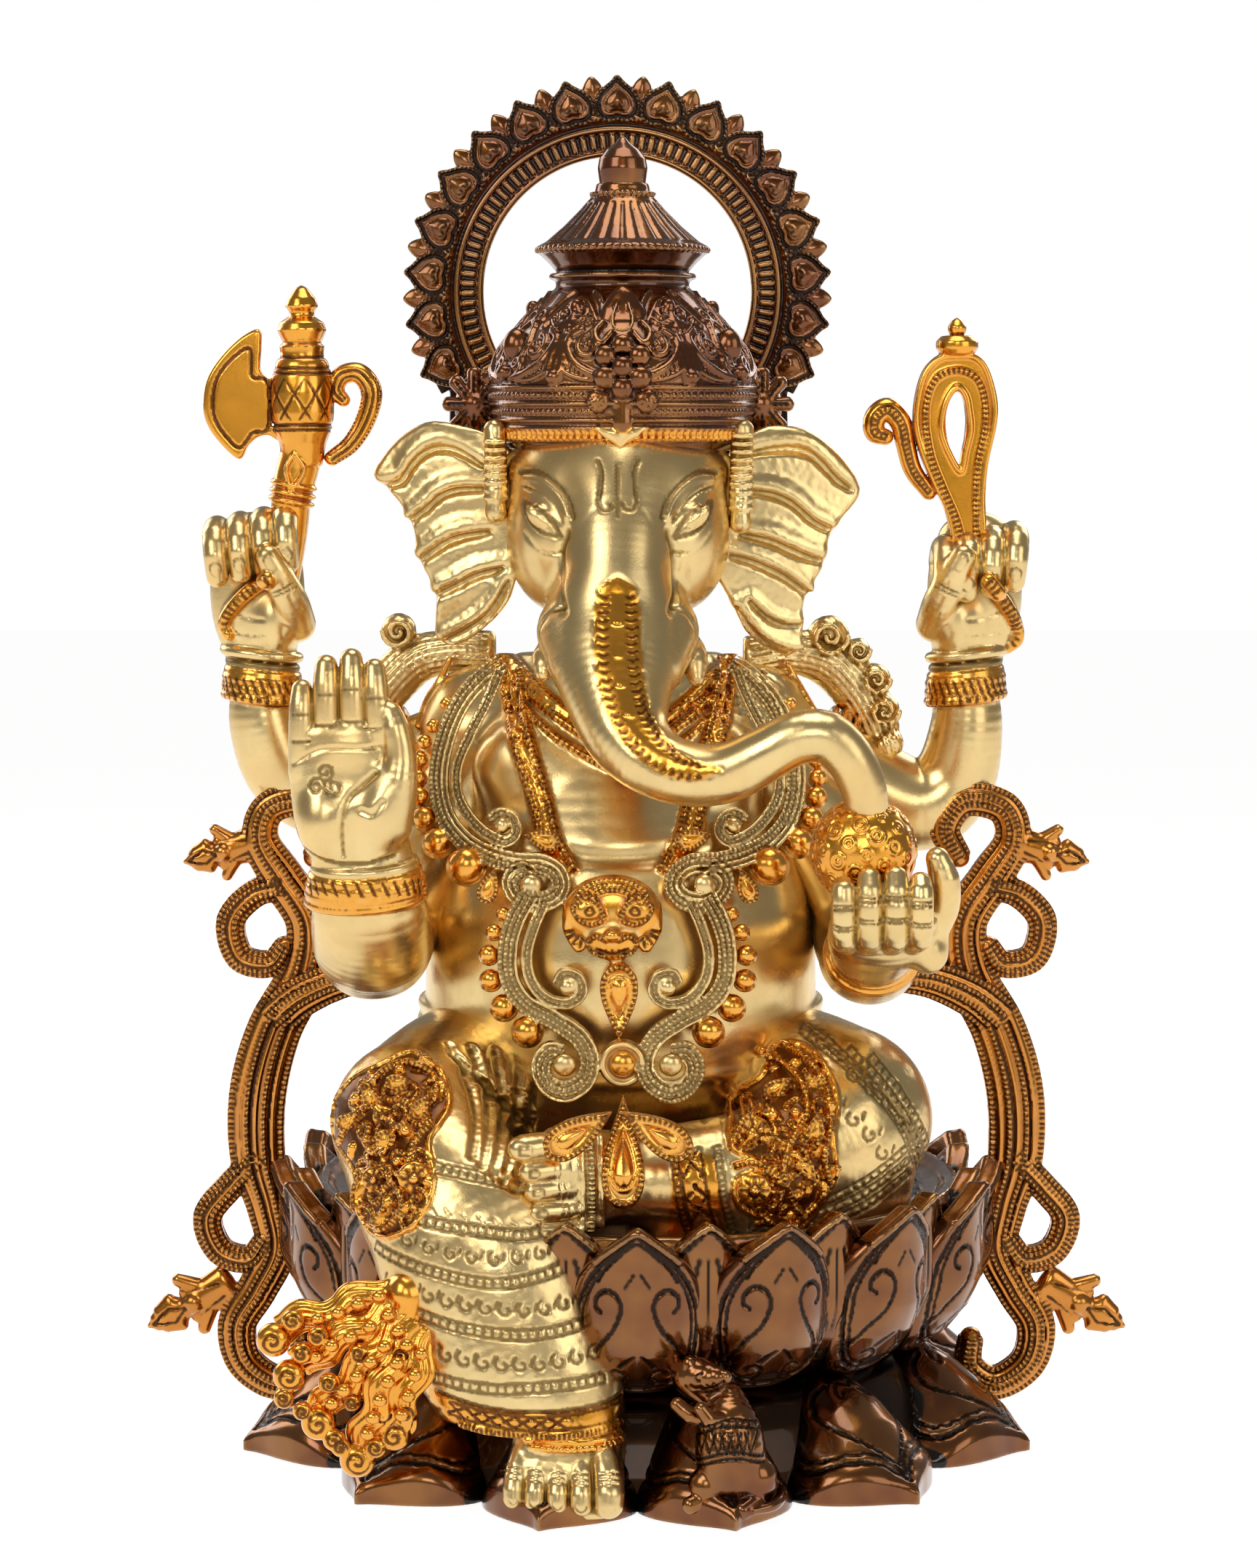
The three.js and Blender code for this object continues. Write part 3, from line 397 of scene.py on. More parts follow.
    def paint(self, outline, tint, y_max):
        """Tints the skin inside an outline of [x, z], as seen from the front, as far back as y_max."""
        p = np.asarray(outline, float)
        low = vec(p[:, 0].min(), self.low[1], p[:, 1].min())
        high = vec(p[:, 0].max(), y_max, p[:, 1].max())
        cells, grid, some = self.window(low, high)
        if not some:
            return
        x, y, z = grid
        u, v = np.broadcast_arrays(x, z)
        mask = (polygon_distance(u, v, p) < 0) & (np.abs(self.d[cells]) < 3) & (y < y_max)
        self.tint_cells(cells, mask, tint)

    # mesh
    def blurred(self, reach, d):
        n = max(int(round(reach / self.h)), 1)
        out = np.clip(d, -reach * 1.5, reach * 1.5)
        for axis in range(3):
            pad = [(n + 1, n) if i == axis else (0, 0) for i in range(3)]
            total = np.cumsum(np.pad(out, pad, mode="edge"), axis=axis, dtype=np.float32)
            a = np.take(total, range(2 * n + 1, total.shape[axis]), axis=axis)
            b = np.take(total, range(0, total.shape[axis] - 2 * n - 1), axis=axis)
            out = (a - b) / (2 * n + 1)
        return out

    def sample(self, volume, points):
        f = np.clip((points - self.low) / self.h, 0, np.array(volume.shape) - 1.001)
        i = f.astype(int)
        a = f - i
        total = 0
        for corner in np.ndindex(2, 2, 2):
            weight = np.prod([a[:, j] if corner[j] else 1 - a[:, j] for j in range(3)], axis=0)
            total = total + weight * volume[i[:, 0] + corner[0], i[:, 1] + corner[1], i[:, 2] + corner[2]]
        return total

    def mesh(self, name, relax=2, fine_shade_and_highlight=1.6, broad_shade=5.0, shade_around=None):
        """Turns the clay into a mesh, in metres, with its tint and how deep each point lies in it, or in the
        distances of everything around it; from these the material paints shade in recesses and highlights on
        edges."""
        d = self.d
        shade_field = d if shade_around is None else shade_around
        for axis in range(3):  # closed at the edge of the grid
            edge = [slice(None)] * 3
            for end in (0, -1):
                edge[axis] = end
                d[tuple(edge)] = np.maximum(d[tuple(edge)], 0.5 * self.h)
        grid = openvdb.FloatGrid(FAR)
        grid.copyFromArray(np.minimum(d, FAR))
        points, quads = grid.convertToQuads(isovalue=0.0)
        points = points.astype(np.float64)
        quads = quads.astype(np.int64)
        for _ in range(relax):
            total = np.zeros_like(points)
            count = np.zeros(len(points))
            for a, b in ((0, 1), (1, 2), (2, 3), (3, 0)):
                for p, q in ((a, b), (b, a)):
                    for c in range(3):
                        total[:, c] += np.bincount(quads[:, p], points[quads[:, q], c], len(points))
                    count += np.bincount(quads[:, p], minlength=len(points))
            points = 0.5 * points + 0.5 * total / np.maximum(count, 1)[:, None]
        points = points * self.h + self.low
        made = bpy.data.meshes.new(name)
        made.vertices.add(len(points))
        made.vertices.foreach_set("co", (points * MM).astype(np.float32).ravel())
        made.loops.add(quads.size)
        made.loops.foreach_set("vertex_index", quads.astype(np.int32).ravel())
        made.polygons.add(len(quads))
        made.polygons.foreach_set("loop_start", np.arange(0, quads.size, 4, dtype=np.int32))
        made.update(calc_edges=True)
        made.validate()
        made.shade_smooth()
        layers = {
            "tint": self.sample(self.tint.astype(np.float32), points),
            "patina_and_shade": self.sample(self.patina_and_shade.astype(np.float32), points),
            "fine_shade_and_highlight": self.sample(self.blurred(fine_shade_and_highlight, shade_field), points) / fine_shade_and_highlight,
            "broad_shade": self.sample(self.blurred(broad_shade, shade_field), points) / broad_shade,
        }
        for layer, values in layers.items():
            made.attributes.new(layer, "FLOAT", "POINT").data.foreach_set("value",
                values.astype(np.float32))
        return made

# ---- pieces ----
def place(name, mesh, slot, *nodes, at=None):
    made = bpy.data.objects.new(name, mesh)
    bpy.context.scene.collection.objects.link(made)
    if at is not None:
        made.matrix_world = at
    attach(made, "root")
    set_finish(made, slot)
    if nodes:
        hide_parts(*nodes)
    return made


def tear(size):
    """A teardrop outline, pointed at the top, of this half width and half height."""
    a, b = size
    turn = np.linspace(0, 2 * math.pi, 28, endpoint=False)
    return [(a * math.sin(t) * math.sin(t / 2) ** 1.2, b * math.cos(t)) for t in turn]


MID_X = -7.5  # the figure's own middle


def build_head():
    c = Clay((-62, -136, 258), (106, 42, 422), 0.8)
    c.ball((MID_X, -14, 386), (43, 50, 38))
    c.ball((MID_X, -22, 366), (41, 42, 30), k=10)
    c.ball((MID_X, -10, 397), (48, 46, 24), k=6)
    for s in (-1, 1):
        c.ball((MID_X + s * 24, -30, 372), (20, 30, 30), k=8)
    # trunk
    trunk = [
        (MID_X, -40, 396, 18, 19), (MID_X, -53, 376, 21, 19), (MID_X - 0.5, -60, 356, 21.5, 20),
        (MID_X - 1, -66, 339, 25, 20),
        (MID_X - 1, -74, 324, 25, 20), (MID_X, -84, 310, 20.5, 18), (-4, -93, 297, 16.5, 16),
        (5, -101, 287.5, 13.9, 14),
        (18, -107, 282.5, 12.6, 12.8), (34, -112, 283, 11.6, 11.8), (49, -116, 290.5, 10.7, 11),
        (61, -118, 297, 10.3, 10.4),
        (72, -119, 297.5, 10, 10), (80.5, -119, 290, 9.4, 9.4), (86, -117, 279, 8.9, 8.9),
        (88, -115, 270, 8.4, 8.4),
    ]
    c.limb(trunk, k=7)
    # mouth: lobes beside the trunk that taper down under it
    for s in (-1, 1):
        c.limb([(MID_X + s * 19, -50, 345, 8, 12), (MID_X + s * 23, -60, 334, 9, 13), (MID_X + s * 18,
            -70, 320, 8, 12)], k=5)
        # the crease between cheek and trunk
        crease = c.front([(MID_X + s * 20, 374), (MID_X + s * 22.5, 364), (MID_X + s * 22.5, 352),
            (MID_X + s * 21, 343)])
        c.groove(smooth_path(crease), 1.3, k=2.5)
        flare = c.front([(MID_X + s * 20.5, 344), (MID_X + s * 27, 342), (MID_X + s * 31, 334),
            (MID_X + s * 28, 325)])
        c.groove(smooth_path(flare), 0.7, k=1.5)
    # tusks
    c.limb([(-31, -48, 330, 5, 5), (-36.5, -58, 324, 5, 5), (-37, -62, 318, 3.4, 3.4)], k=1)
    c.limb([(16, -48, 332, 7, 7), (22, -58, 324, 6.2, 6.2), (23.5, -63, 316, 3.2, 3.2)], k=1)
    # brows, lids and eyes
    for s in (-1, 1):
        x = lambda d: MID_X + s * d
        brow = c.front([(x(39), 397), (x(33), 397.5), (x(27.5), 394.5), (x(22.5), 390), (x(19.5), 385.5),
            (x(17.5), 379.5)])
        c.groove(smooth_path(brow), 0.95, tint=DARK)
        ridge = c.front([(x(37), 394.5), (x(31), 394), (x(25.5), 390.5), (x(21.5), 385.5),
            (x(19.5), 380)], lift=-0.8)
        c.rail(smooth_path(ridge), 1.6, k=1.6)
        eye = c.front([(x(29.5), 378.5)])[0]
        turn = np.array([[math.cos(s * 0.72), 0, -math.sin(s * 0.72)], [0, 1, 0], [math.sin(s * 0.72), 0,
            math.cos(s * 0.72)]])
        c.ball(eye + vec(0, 1.2, 0), (8.2, 3.2, 4.4), turn=turn, k=1.5)
        upper = c.front([(x(37.5), 385.5), (x(32), 383.5), (x(27), 379.5), (x(22.5), 372)])
        lower = c.front([(x(37.5), 384.5), (x(35), 378), (x(30), 373.5), (x(22.5), 371.5)])
        for line, r in ((upper, 0.85), (lower, 0.75)):
            c.groove(smooth_path(line), r, tint=DARK)
        inner = c.front([(x(35.5), 382.5), (x(31), 381), (x(26), 375.5), (x(30), 376), (x(34), 379.5),
            (x(35.5), 382.5)])
        c.groove(smooth_path(inner), 0.45)
        lid = c.front([(x(37.5), 391.5), (x(31.5), 389), (x(26), 384.5), (x(22), 378.5)])
        c.groove(smooth_path(lid), 0.65)
        bag = c.front([(x(37), 373), (x(33), 368), (x(28), 365), (x(22), 366)])
        c.groove(smooth_path(bag), 0.55)
    # mark on the forehead
    for s in (-1, 1):
        hook = [(s * 8.2, 402), (s * 6.6, 397), (s * 7.0, 391), (s * 7.6, 385.5), (s * 5.4, 382.3),
            (s * 2.8, 383), (s * 2.2, 385.3)]
        c.groove(smooth_path(c.front([(MID_X + x, z) for x, z in hook])), 0.8, tint=DARK)
    c.groove(smooth_path(c.front([(MID_X, 400), (MID_X, 380)])), 0.65, tint=DARK)
    # gilded band down the trunk: its middle line and half widths
    spine = smooth_path([
        (-7.5, 353, 7.4), (-7.6, 342, 9.2), (-7.4, 330, 9.3), (-6, 317, 9.0), (-2.6, 305, 8.2),
        (4, 294.5, 6.8), (13, 287.2, 5.4),
        (23, 284.6, 3.6), (32, 285.4, 0.8),
    ], 1.6)
    flat = np.column_stack([spine[:, 0], np.zeros(len(spine)), spine[:, 1]])
    edges = []
    for s in (-1, 1):
        along = np.gradient(flat, axis=0)
        side = np.stack([along[:, 2], 0 * along[:, 0], -along[:, 0]], axis=1)
        side /= np.linalg.norm(side, axis=1)[:, None]
        edges.append((flat + s * side * spine[:, 2:3])[:, [0, 2]])
    outline = np.vstack([edges[0][::-1], [(-7.5, 357)], edges[1]])
    c.paint(outline, GOLD, -40)
    rim = c.front(np.vstack([outline, outline[:1]]))
    c.groove(rim, 0.75)
    c.rail(c.front(outline, lift=0.1), 0.5)
    mid = resample(np.column_stack([flat, spine[:, 2]]), 3.1)
    along = np.gradient(mid[:, :3], axis=0)
    for i in range(1, len(mid) - 3):
        w = mid[i, 3]
        t = unit(along[i])
        side = vec(t[2], 0, -t[0])
        for s in (-1, 1):
            p = [mid[i, :3] + s * side * w * f + t * (1.1 * math.sin(g)) for f, g in ((0.82, 0),
                (0.62, 1.4), (0.4, 0.3))]
            c.groove(smooth_path(c.front([(q[0], q[2]) for q in p])), 0.5, tint=DARK)
    for p in resample(np.column_stack([flat, spine[:, 2]]), 11.4)[:-1]:
        at = c.front([(p[0], p[2] - 2)])[0]
        ring = [at + vec(1.5 * math.cos(a), 0, 1.5 * math.sin(a)) for a in np.linspace(0, 2 * math.pi, 9)]
        c.groove(np.array(ring), 0.45)
    place("head_casting", c.mesh("head_casting"), "pale_brass", "head")


EAR_RIGHT = [
    (-60, 412), (-70, 415), (-82, 417), (-88, 415.5), (-94, 412), (-98.5, 408), (-103, 402.5),
    (-106.7, 396.2), (-103.6, 392), (-97.3, 385.4), (-92.2, 378.3),
    (-89.7, 370), (-88.7, 362.4), (-85.2, 355.3), (-82.1, 349.6), (-81.3, 343.2), (-81.5, 331),
    (-75, 326), (-66, 330.3),
    (-56.5, 338.7), (-51, 346.4), (-49, 353), (-44, 362), (-44, 380), (-50, 404),
]
EAR_LEFT = [
    (42, 410), (53, 415), (62.6, 414.4), (68.7, 412.4), (76.9, 407.6), (83.7, 401.6), (88.4, 394.8),
    (90.8, 390.1), (90.5, 386.7), (87.1, 382),
    (81.1, 375.2), (78.4, 370.5), (76.4, 363.7), (75.4, 357.6), (71, 350.9), (68.3, 345.4), (67.3, 338.6),
    (67.1, 327.1),
    (62, 322), (51.4, 326.4), (44.6, 332.5), (40.5, 340.7), (36, 348), (31, 359), (31, 380), (36, 404),
]
EAR_FOLDS_RIGHT = [
    ([(-103.5, 395), (-95.9, 396.6), (-91.4, 403), (-85.6, 408.5), (-78.6, 410.5), (-70.9, 408.5),
    (-62, 403)], 3.4),
    ([(-93, 379), (-85.1, 385), (-79.3, 390), (-72.3, 392.5), (-62, 393)], 2.6),
    ([(-88, 364), (-82.6, 368), (-77.5, 371.4), (-71.1, 374), (-60, 376)], 3.0),
    ([(-82, 349.5), (-72.4, 354), (-64.7, 358), (-54, 361)], 2.6),
    ([(-79, 330), (-66.1, 337), (-58.4, 344), (-52, 355)], 2.2),
]
EAR_FOLDS_LEFT = [
    ([(46, 408), (53.2, 409.5), (63.3, 410), (70.1, 408), (76, 403), (81, 397.5), (86, 394)], 3.4),
    ([(44, 392), (53.2, 391), (59.3, 389), (64.8, 385.5), (71.6, 379.5), (79, 376)], 2.6),
    ([(42, 375), (54, 372.2), (60.1, 369.5), (68.9, 365.8), (75, 364)], 3.0),
    ([(38, 366), (47.9, 363), (60.1, 357), (71, 349)], 2.6),
    ([(41, 344), (48, 334), (57, 327.5), (67, 325.5)], 2.4),
    ([(46, 346), (52, 340), (60, 336), (66, 336)], 1.2),
]


def build_ear(name, node, outline, folds):
    xs = [x for x, _ in outline]
    c = Clay((min(xs) - 4, -40, 316), (max(xs) + 4, 14, 424), 0.7)
    outer = max(abs(x - MID_X) for x in xs)
    # the ear leans back towards its outer edge and is dished
    dish = lambda z: 3.0 * np.sin((z - 322) / 96 * math.pi)
    surface = lambda x, z: -20 + 15 * (np.abs(x - MID_X) / outer) ** 2 - dish(z)
    c.plate(outline_smooth(outline), surface, 2.6, soft=1.6)
    for line, r in folds:
        pts = c.front(smooth_path([(x, 0, z) for x, z in line], 2.5)[:, [0, 2]], lift=-r * 0.5)
        n = len(pts)
        taper = r * np.clip(np.sin(math.pi * (np.arange(n) + 0.5) / n), 0.02, 1) ** 0.6
        if not len(pts):
            continue
        c.tube(pts, taper * 0.85, k=5.5, dense=True)
        under = pts + vec(0, -r * 0.2, -r * 1.25)
        c.tube(under, taper * 0.42, k=3.5, cut=True, dense=True)
    rough_skin(c, 0.1, 2.2)
    place(name, c.mesh(name, relax=1), "pale_brass", node)


def outline_smooth(points, step=2.5):
    """A closed smooth outline."""
    p = np.asarray(points, float)
    loop = np.vstack([p[-2:], p, p[:3]])
    dense = smooth_path(np.column_stack([loop, np.zeros(len(loop))]), step)[:, :2]
    # keep one turn of the loop
    start = np.argmin(np.linalg.norm(dense - p[0], axis=1) + 1e-6 * np.arange(len(dense)))
    stop = start + 5 + np.argmin(np.linalg.norm(dense[start + 5:] - p[0], axis=1))
    return dense[start:stop]


def noise_field(shape, cell, seed):
    """Smooth noise on a grid, about -1 to 1, with features of this many cells."""
    r = np.random.default_rng(seed)
    n = [max(int(math.ceil(s / cell)) + 2, 2) for s in shape]
    coarse = r.uniform(-1, 1, n).astype(np.float32)
    out = coarse
    for axis in range(3):
        at = np.arange(shape[axis]) / cell
        i = at.astype(int)
        f = (at - i).astype(np.float32)
        f = f * f * (3 - 2 * f)
        f = f.reshape([-1 if a == axis else 1 for a in range(3)])
        out = np.take(out, i, axis=axis) * (1 - f) + np.take(out, i + 1, axis=axis) * f
    return out


def rough_skin(c, depth, cell=2.6):
    """The sandy skin that a casting keeps where it isn't polished."""
    c.d += depth * noise_field(c.d.shape, cell, 11)


def build_crown():
    axis = (-5.7, -5)
    widest = 54.0  # the dome's radius there; relief is laid out in arc length on it
    c = Clay((-80, -66, 396), (66, 52, 514), 0.65, COPPER)
    dome = [
        (0, 405), (46, 405), (49, 409), (51, 412), (52.5, 418), (54.2, 428), (53.5, 437), (50, 445),
        (44, 453), (36, 462),
        (30, 468.5), (27, 471), (27, 473), (28.5, 475), (26.5, 477), (30, 481), (34.2, 485),
        (34.6, 487.5), (31, 489.5), (24, 495.5),
        (17.5, 502), (13.5, 506.5), (11.5, 508), (10.5, 513), (0, 513),
    ]
    flutes = lambda a, z: np.where((z > 489.5) & (z < 505), -0.9 * np.clip(np.cos(a * 26) * 1.6 - 0.5, 0,
        1), 0)
    c.lathe(dome, axis, ripple=flutes)
    circle = lambda r, z, n=160: np.array([(axis[0] + r * math.sin(t), axis[1] - r * math.cos(t),
        z) for t in np.linspace(0, 2 * math.pi, n)])
    c.beads(circle(34.4, 486), 3.1, 1.45, k=0.5)
    c.beads(circle(12.6, 508.6, 60), 2.4, 1.1)
    c.rail(circle(28.6, 475.4), 1.3, k=0.8)
    # bands round the foot of the dome; the lowest is gilded
    for z, r in ((430.5, 1.0), (424.0, 0.9), (417.5, 0.9), (409.5, 0.9), (414.2, 0.9)):
        c.rail(circle(np.interp(z, [405, 409, 412, 418, 428, 437], [46, 49, 51, 52.5, 54.2, 53.5]) + 0.4,
            z), r, k=0.5)
    c.beads(circle(54.2, 427.2), 3.0, 1.25)
    c.beads(circle(53.0, 420.8), 2.6, 1.1)
    for t in np.linspace(0, 2 * math.pi, 108, endpoint=False):
        p = vec(axis[0] + 51.2 * math.sin(t), axis[1] - 51.2 * math.cos(t), 411.9)
        c.tube([p - vec(0, 0, 1.3), p + vec(0, 0, 1.3)], 1.15, k=0.2, dense=True, tint=GOLD)
    # relief on the dome, in angle from the front (degrees) and height, laid on its surface
    rows = np.array([(405, 46), (409, 49), (412, 51), (418, 52.5), (428, 54.2), (437, 53.5), (445, 50),
        (453, 44), (462, 36), (468.5, 30), (472, 27)])

    def on_dome(points, lift=0.0):
        out = []
        for x, z in points:  # x is the arc length at the widest part
            r = np.interp(z, rows[:, 0], rows[:, 1]) + lift
            a = x / widest
            out.append((axis[0] + r * math.sin(a), axis[1] - r * math.cos(a), z))
        return np.array(out)

    def relief(points, radius, lift=0.3, k=0.5):
        c.tube(on_dome(smooth_path([(x, 0, z) for x, z in points], 1.5)[:, [0, 2]], lift), radius, k=k,
            dense=True)

    def curl(x, z, r, turns, start, radius=1.2):
        a = np.linspace(0, 1, 22)
        ang = math.radians(start) + turns * 2 * math.pi * a
        rr = r * (1 - 0.82 * a)
        pts = [(x + q * math.cos(t) * widest / max(np.interp(z, rows[:, 0], rows[:, 1]), 20),
            z + q * math.sin(t)) for q, t in zip(rr, ang)]
        c.tube(on_dome(pts, 0.4), radius, k=0.5, dense=True)

    petal_count = 6
    for i in range(petal_count):
        centre = i * 360 / petal_count * math.pi / 180 * widest
        for s in (-1, 1):
            x = lambda d: centre + s * d
            # leaf that climbs from the band, its rib and its barbs
            relief([(x(5), 434), (x(13), 436), (x(21), 441), (x(25), 449), (x(20), 453)], 1.6, 0.4)
            relief([(x(9), 433), (x(17), 434), (x(24), 437), (x(27), 442)], 1.1, 0.4)
            relief([(x(27), 433), (x(25), 440), (x(27), 447)], 1.5, 0.3)
            curl(x(15), 446.5, 5.2, -s * 1.3, 90, 1.3)
            curl(x(23), 459, 4.8, s * 1.3, 200 if s > 0 else -20, 1.15)
            relief([(x(12), 455), (x(20), 463), (x(28), 466)], 1.2, 0.3)
            relief([(x(8), 459), (x(14), 466), (x(20), 469)], 1.0, 0.3)
            for q in np.linspace(0, 1, 7):
                bx, bz = 11 + 13 * q, 437 + 5 * q
                relief([(x(bx), bz), (x(bx + 1.2), bz - 3.2)], 0.5, 0.7)
        if i:
            c.ball(on_dome([(centre, 447)], 0.6)[0], (5.4, 4.4, 7), k=0.5)
            c.ball(on_dome([(centre, 436.5)], 0.8)[0], (3.6, 3.4, 3.2), k=0.5)
            for s in (-1, 1):
                curl(centre + s * 6.2, 439.5, 4.2, s * 1.2, -90, 1.1)
                curl(centre + s * 5.4, 458.5, 4.0, -s * 1.2, -90, 1.1)
                relief([(centre + s * 8, 441), (centre + s * 8.4, 448), (centre + s * 3, 457)], 1.1, 0.5)
        edge = centre + 28.3
        for z, r in ((440, 3.6), (448, 3.2), (455.4, 2.8)):
            for s in (-1, 1):
                curl(edge + s * 3.4, z, r, s * 1.2, 90, 1.0)
        relief([(edge, 434), (edge, 446), (edge, 459)], 1.0, 0.5)
        c.ball(on_dome([(edge, 462.5)], 0.8)[0], (3.0, 2.4, 3.4), k=0.5)
        c.ball(on_dome([(edge, 434.5)], 0.8)[0], (3.4, 2.4, 3.0), k=0.5)
    # medallion in front: leaf with a drop, a flower, and a long gem
    def stamp_front(x, z, fn, half, k=0.4, tint=None):
        at = on_dome([(x * widest / np.interp(z, rows[:, 0], rows[:, 1]), z)])[0]
        out = unit(vec(at[0] - axis[0], at[1] - axis[1], 8 if z > 440 else 0))
        c.stamp(at, out, (0, 0, 1), half, fn, k=k, tint=tint)

    def puffed(outline, height):
        def fn(u, v, w):
            uu, vv = np.broadcast_arrays(u + 0 * w, v + 0 * w)
            d2 = polygon_distance(uu, vv, outline)
            top = height * (1 - np.exp(np.minimum(d2, 0) / 2.2))
            return np.maximum(d2, np.abs(w) - 0.6 - top) * 0.8
        return fn

    stamp_front(0, 461, puffed([(0, 10.5), (4, 8), (8.5, 1), (9.5, -5), (6, -9), (0, -10), (-6, -9),
        (-9.5, -5), (-8.5, 1), (-4, 8)], 2.8), (11, 12, 6))
    for s in (-1, 1):
        relief([(s * 0.3, 452.8), (s * 3.2 * 1.2, 454), (s * 4.0 * 1.2, 458), (s * 2.6 * 1.2, 463.5)],
            0.8, 4.6)
        relief([(s * 5, 452), (s * 9.5, 447.5), (s * 13, 452), (s * 10, 456)], 1.5, 1.2)
    c.ball(on_dome([(0, 438.5)], 2.2)[0], (4.2, 3.0, 4.2), k=0.3)
    for i in range(6):
        a = math.radians(60 * i)
        at = on_dome([(8.0 * math.sin(a), 438.5 + 8.4 * math.cos(a))], 1.6)[0]
        c.ball(at, (4.4, 2.8, 4.4), k=0.3)
    stamp_front(0, 419.5, puffed([(0, 10), (3.6, 7), (3.8, -4), (2, -8), (0, -9.5), (-2, -8), (-3.8, -4),
        (-3.6, 7)], 2.2), (6, 12, 6))
    for s in (-1, 1):
        c.ball(on_dome([(s * 9.5, 425)], 1)[0], (4.6, 2.6, 4.6), k=0.3)
        for i in range(9):
            a = math.radians(40 * i)
            c.groove(on_dome([(s * 9.5 + 2 * math.cos(a), 425 + 2 * math.sin(a)),
                (s * 9.5 + 5 * math.cos(a), 425 + 5 * math.sin(a))], 3.0), 0.5)
    # leaf with a point over the brow
    c.stamp((axis[0] - 0.8, -57.5, 410.6), (0, -1, 0.1), (0, 0, 1), (12, 6, 5),
        puffed([(-10.5, 4.5), (10.5, 4.5), (7, 0.5), (2.6, -2), (0, -4.4), (-2.6, -2), (-7, 0.5)], 1.6),
        k=0.6, tint=PALE)
    # knots of the cap's ties at each side, and the hanging tassels
    for s in (-1, 1):
        kx = MID_X + s * 57
        c.ball((kx, 2, 423), (10, 8, 12), k=3)
        c.ball((kx + s * 1.5, -6, 424), (4.4, 3.4, 4.8), k=0.6)
        for i in range(8):
            a = 2 * math.pi * i / 8
            tip = vec(kx + s * 1.5 + 10.5 * math.cos(a), -4.0, 424 + 12.5 * math.sin(a))
            root = vec(kx + s * 1.5 + 4 * math.cos(a), -6.5, 424 + 4.6 * math.sin(a))
            c.limb([(*root, 2.4, 2.4), (*tip, 3.2, 2.8)], k=0.5)
            c.groove(np.array([root + vec(0, -2.2, 0), tip + vec(0, -2.8, 0)]), 0.5, tint=DARK)
    place("crown_casting", c.mesh("crown_casting"), "copper_lacquer", "crown")
    t = Clay((-66, -42, 366), (56, -12, 422), 0.6)
    for s, x0, x1, z1 in ((-1, -57.0, -56.4, 378.5), (1, 42.5, 41.6, 374.5)):
        t.limb([(x0, -26, 414, 4.6, 4.0), (x1, -30, z1 + 9, 4.8, 4.6)])
        t.limb([(x1, -30, z1 + 8, 4.1, 4.2), (x1, -30, z1 + 2, 4.6, 4.4)], k=0.5)
        for z in np.arange(z1 + 8, 412, 3.2):
            f = (z - z1) / (414 - z1)
            x = x1 + (x0 - x1) * f
            t.tube([(x - 4.4 + f, -31.5, z), (x, -34.5 + 3 * f, z - 0.4), (x + 4.4 - f, -31.5, z)], 1.15,
                k=0.4)
    rough_skin(t, 0.15)
    place("crown_tassels", t.mesh("crown_tassels"), "pale_brass")
    b = Clay((-20, -20, 504), (9, 10, 536), 0.4, COPPER)
    b.lathe([(0, 509), (8.6, 509), (9.2, 512), (9.6, 515), (10.1, 519), (9.4, 523), (6.6, 526.5),
        (3.0, 529.2), (1.2, 531.2), (0, 532)], axis)
    place("crown_bud", b.mesh("crown_bud"), "copper_lacquer", "crown_finial")


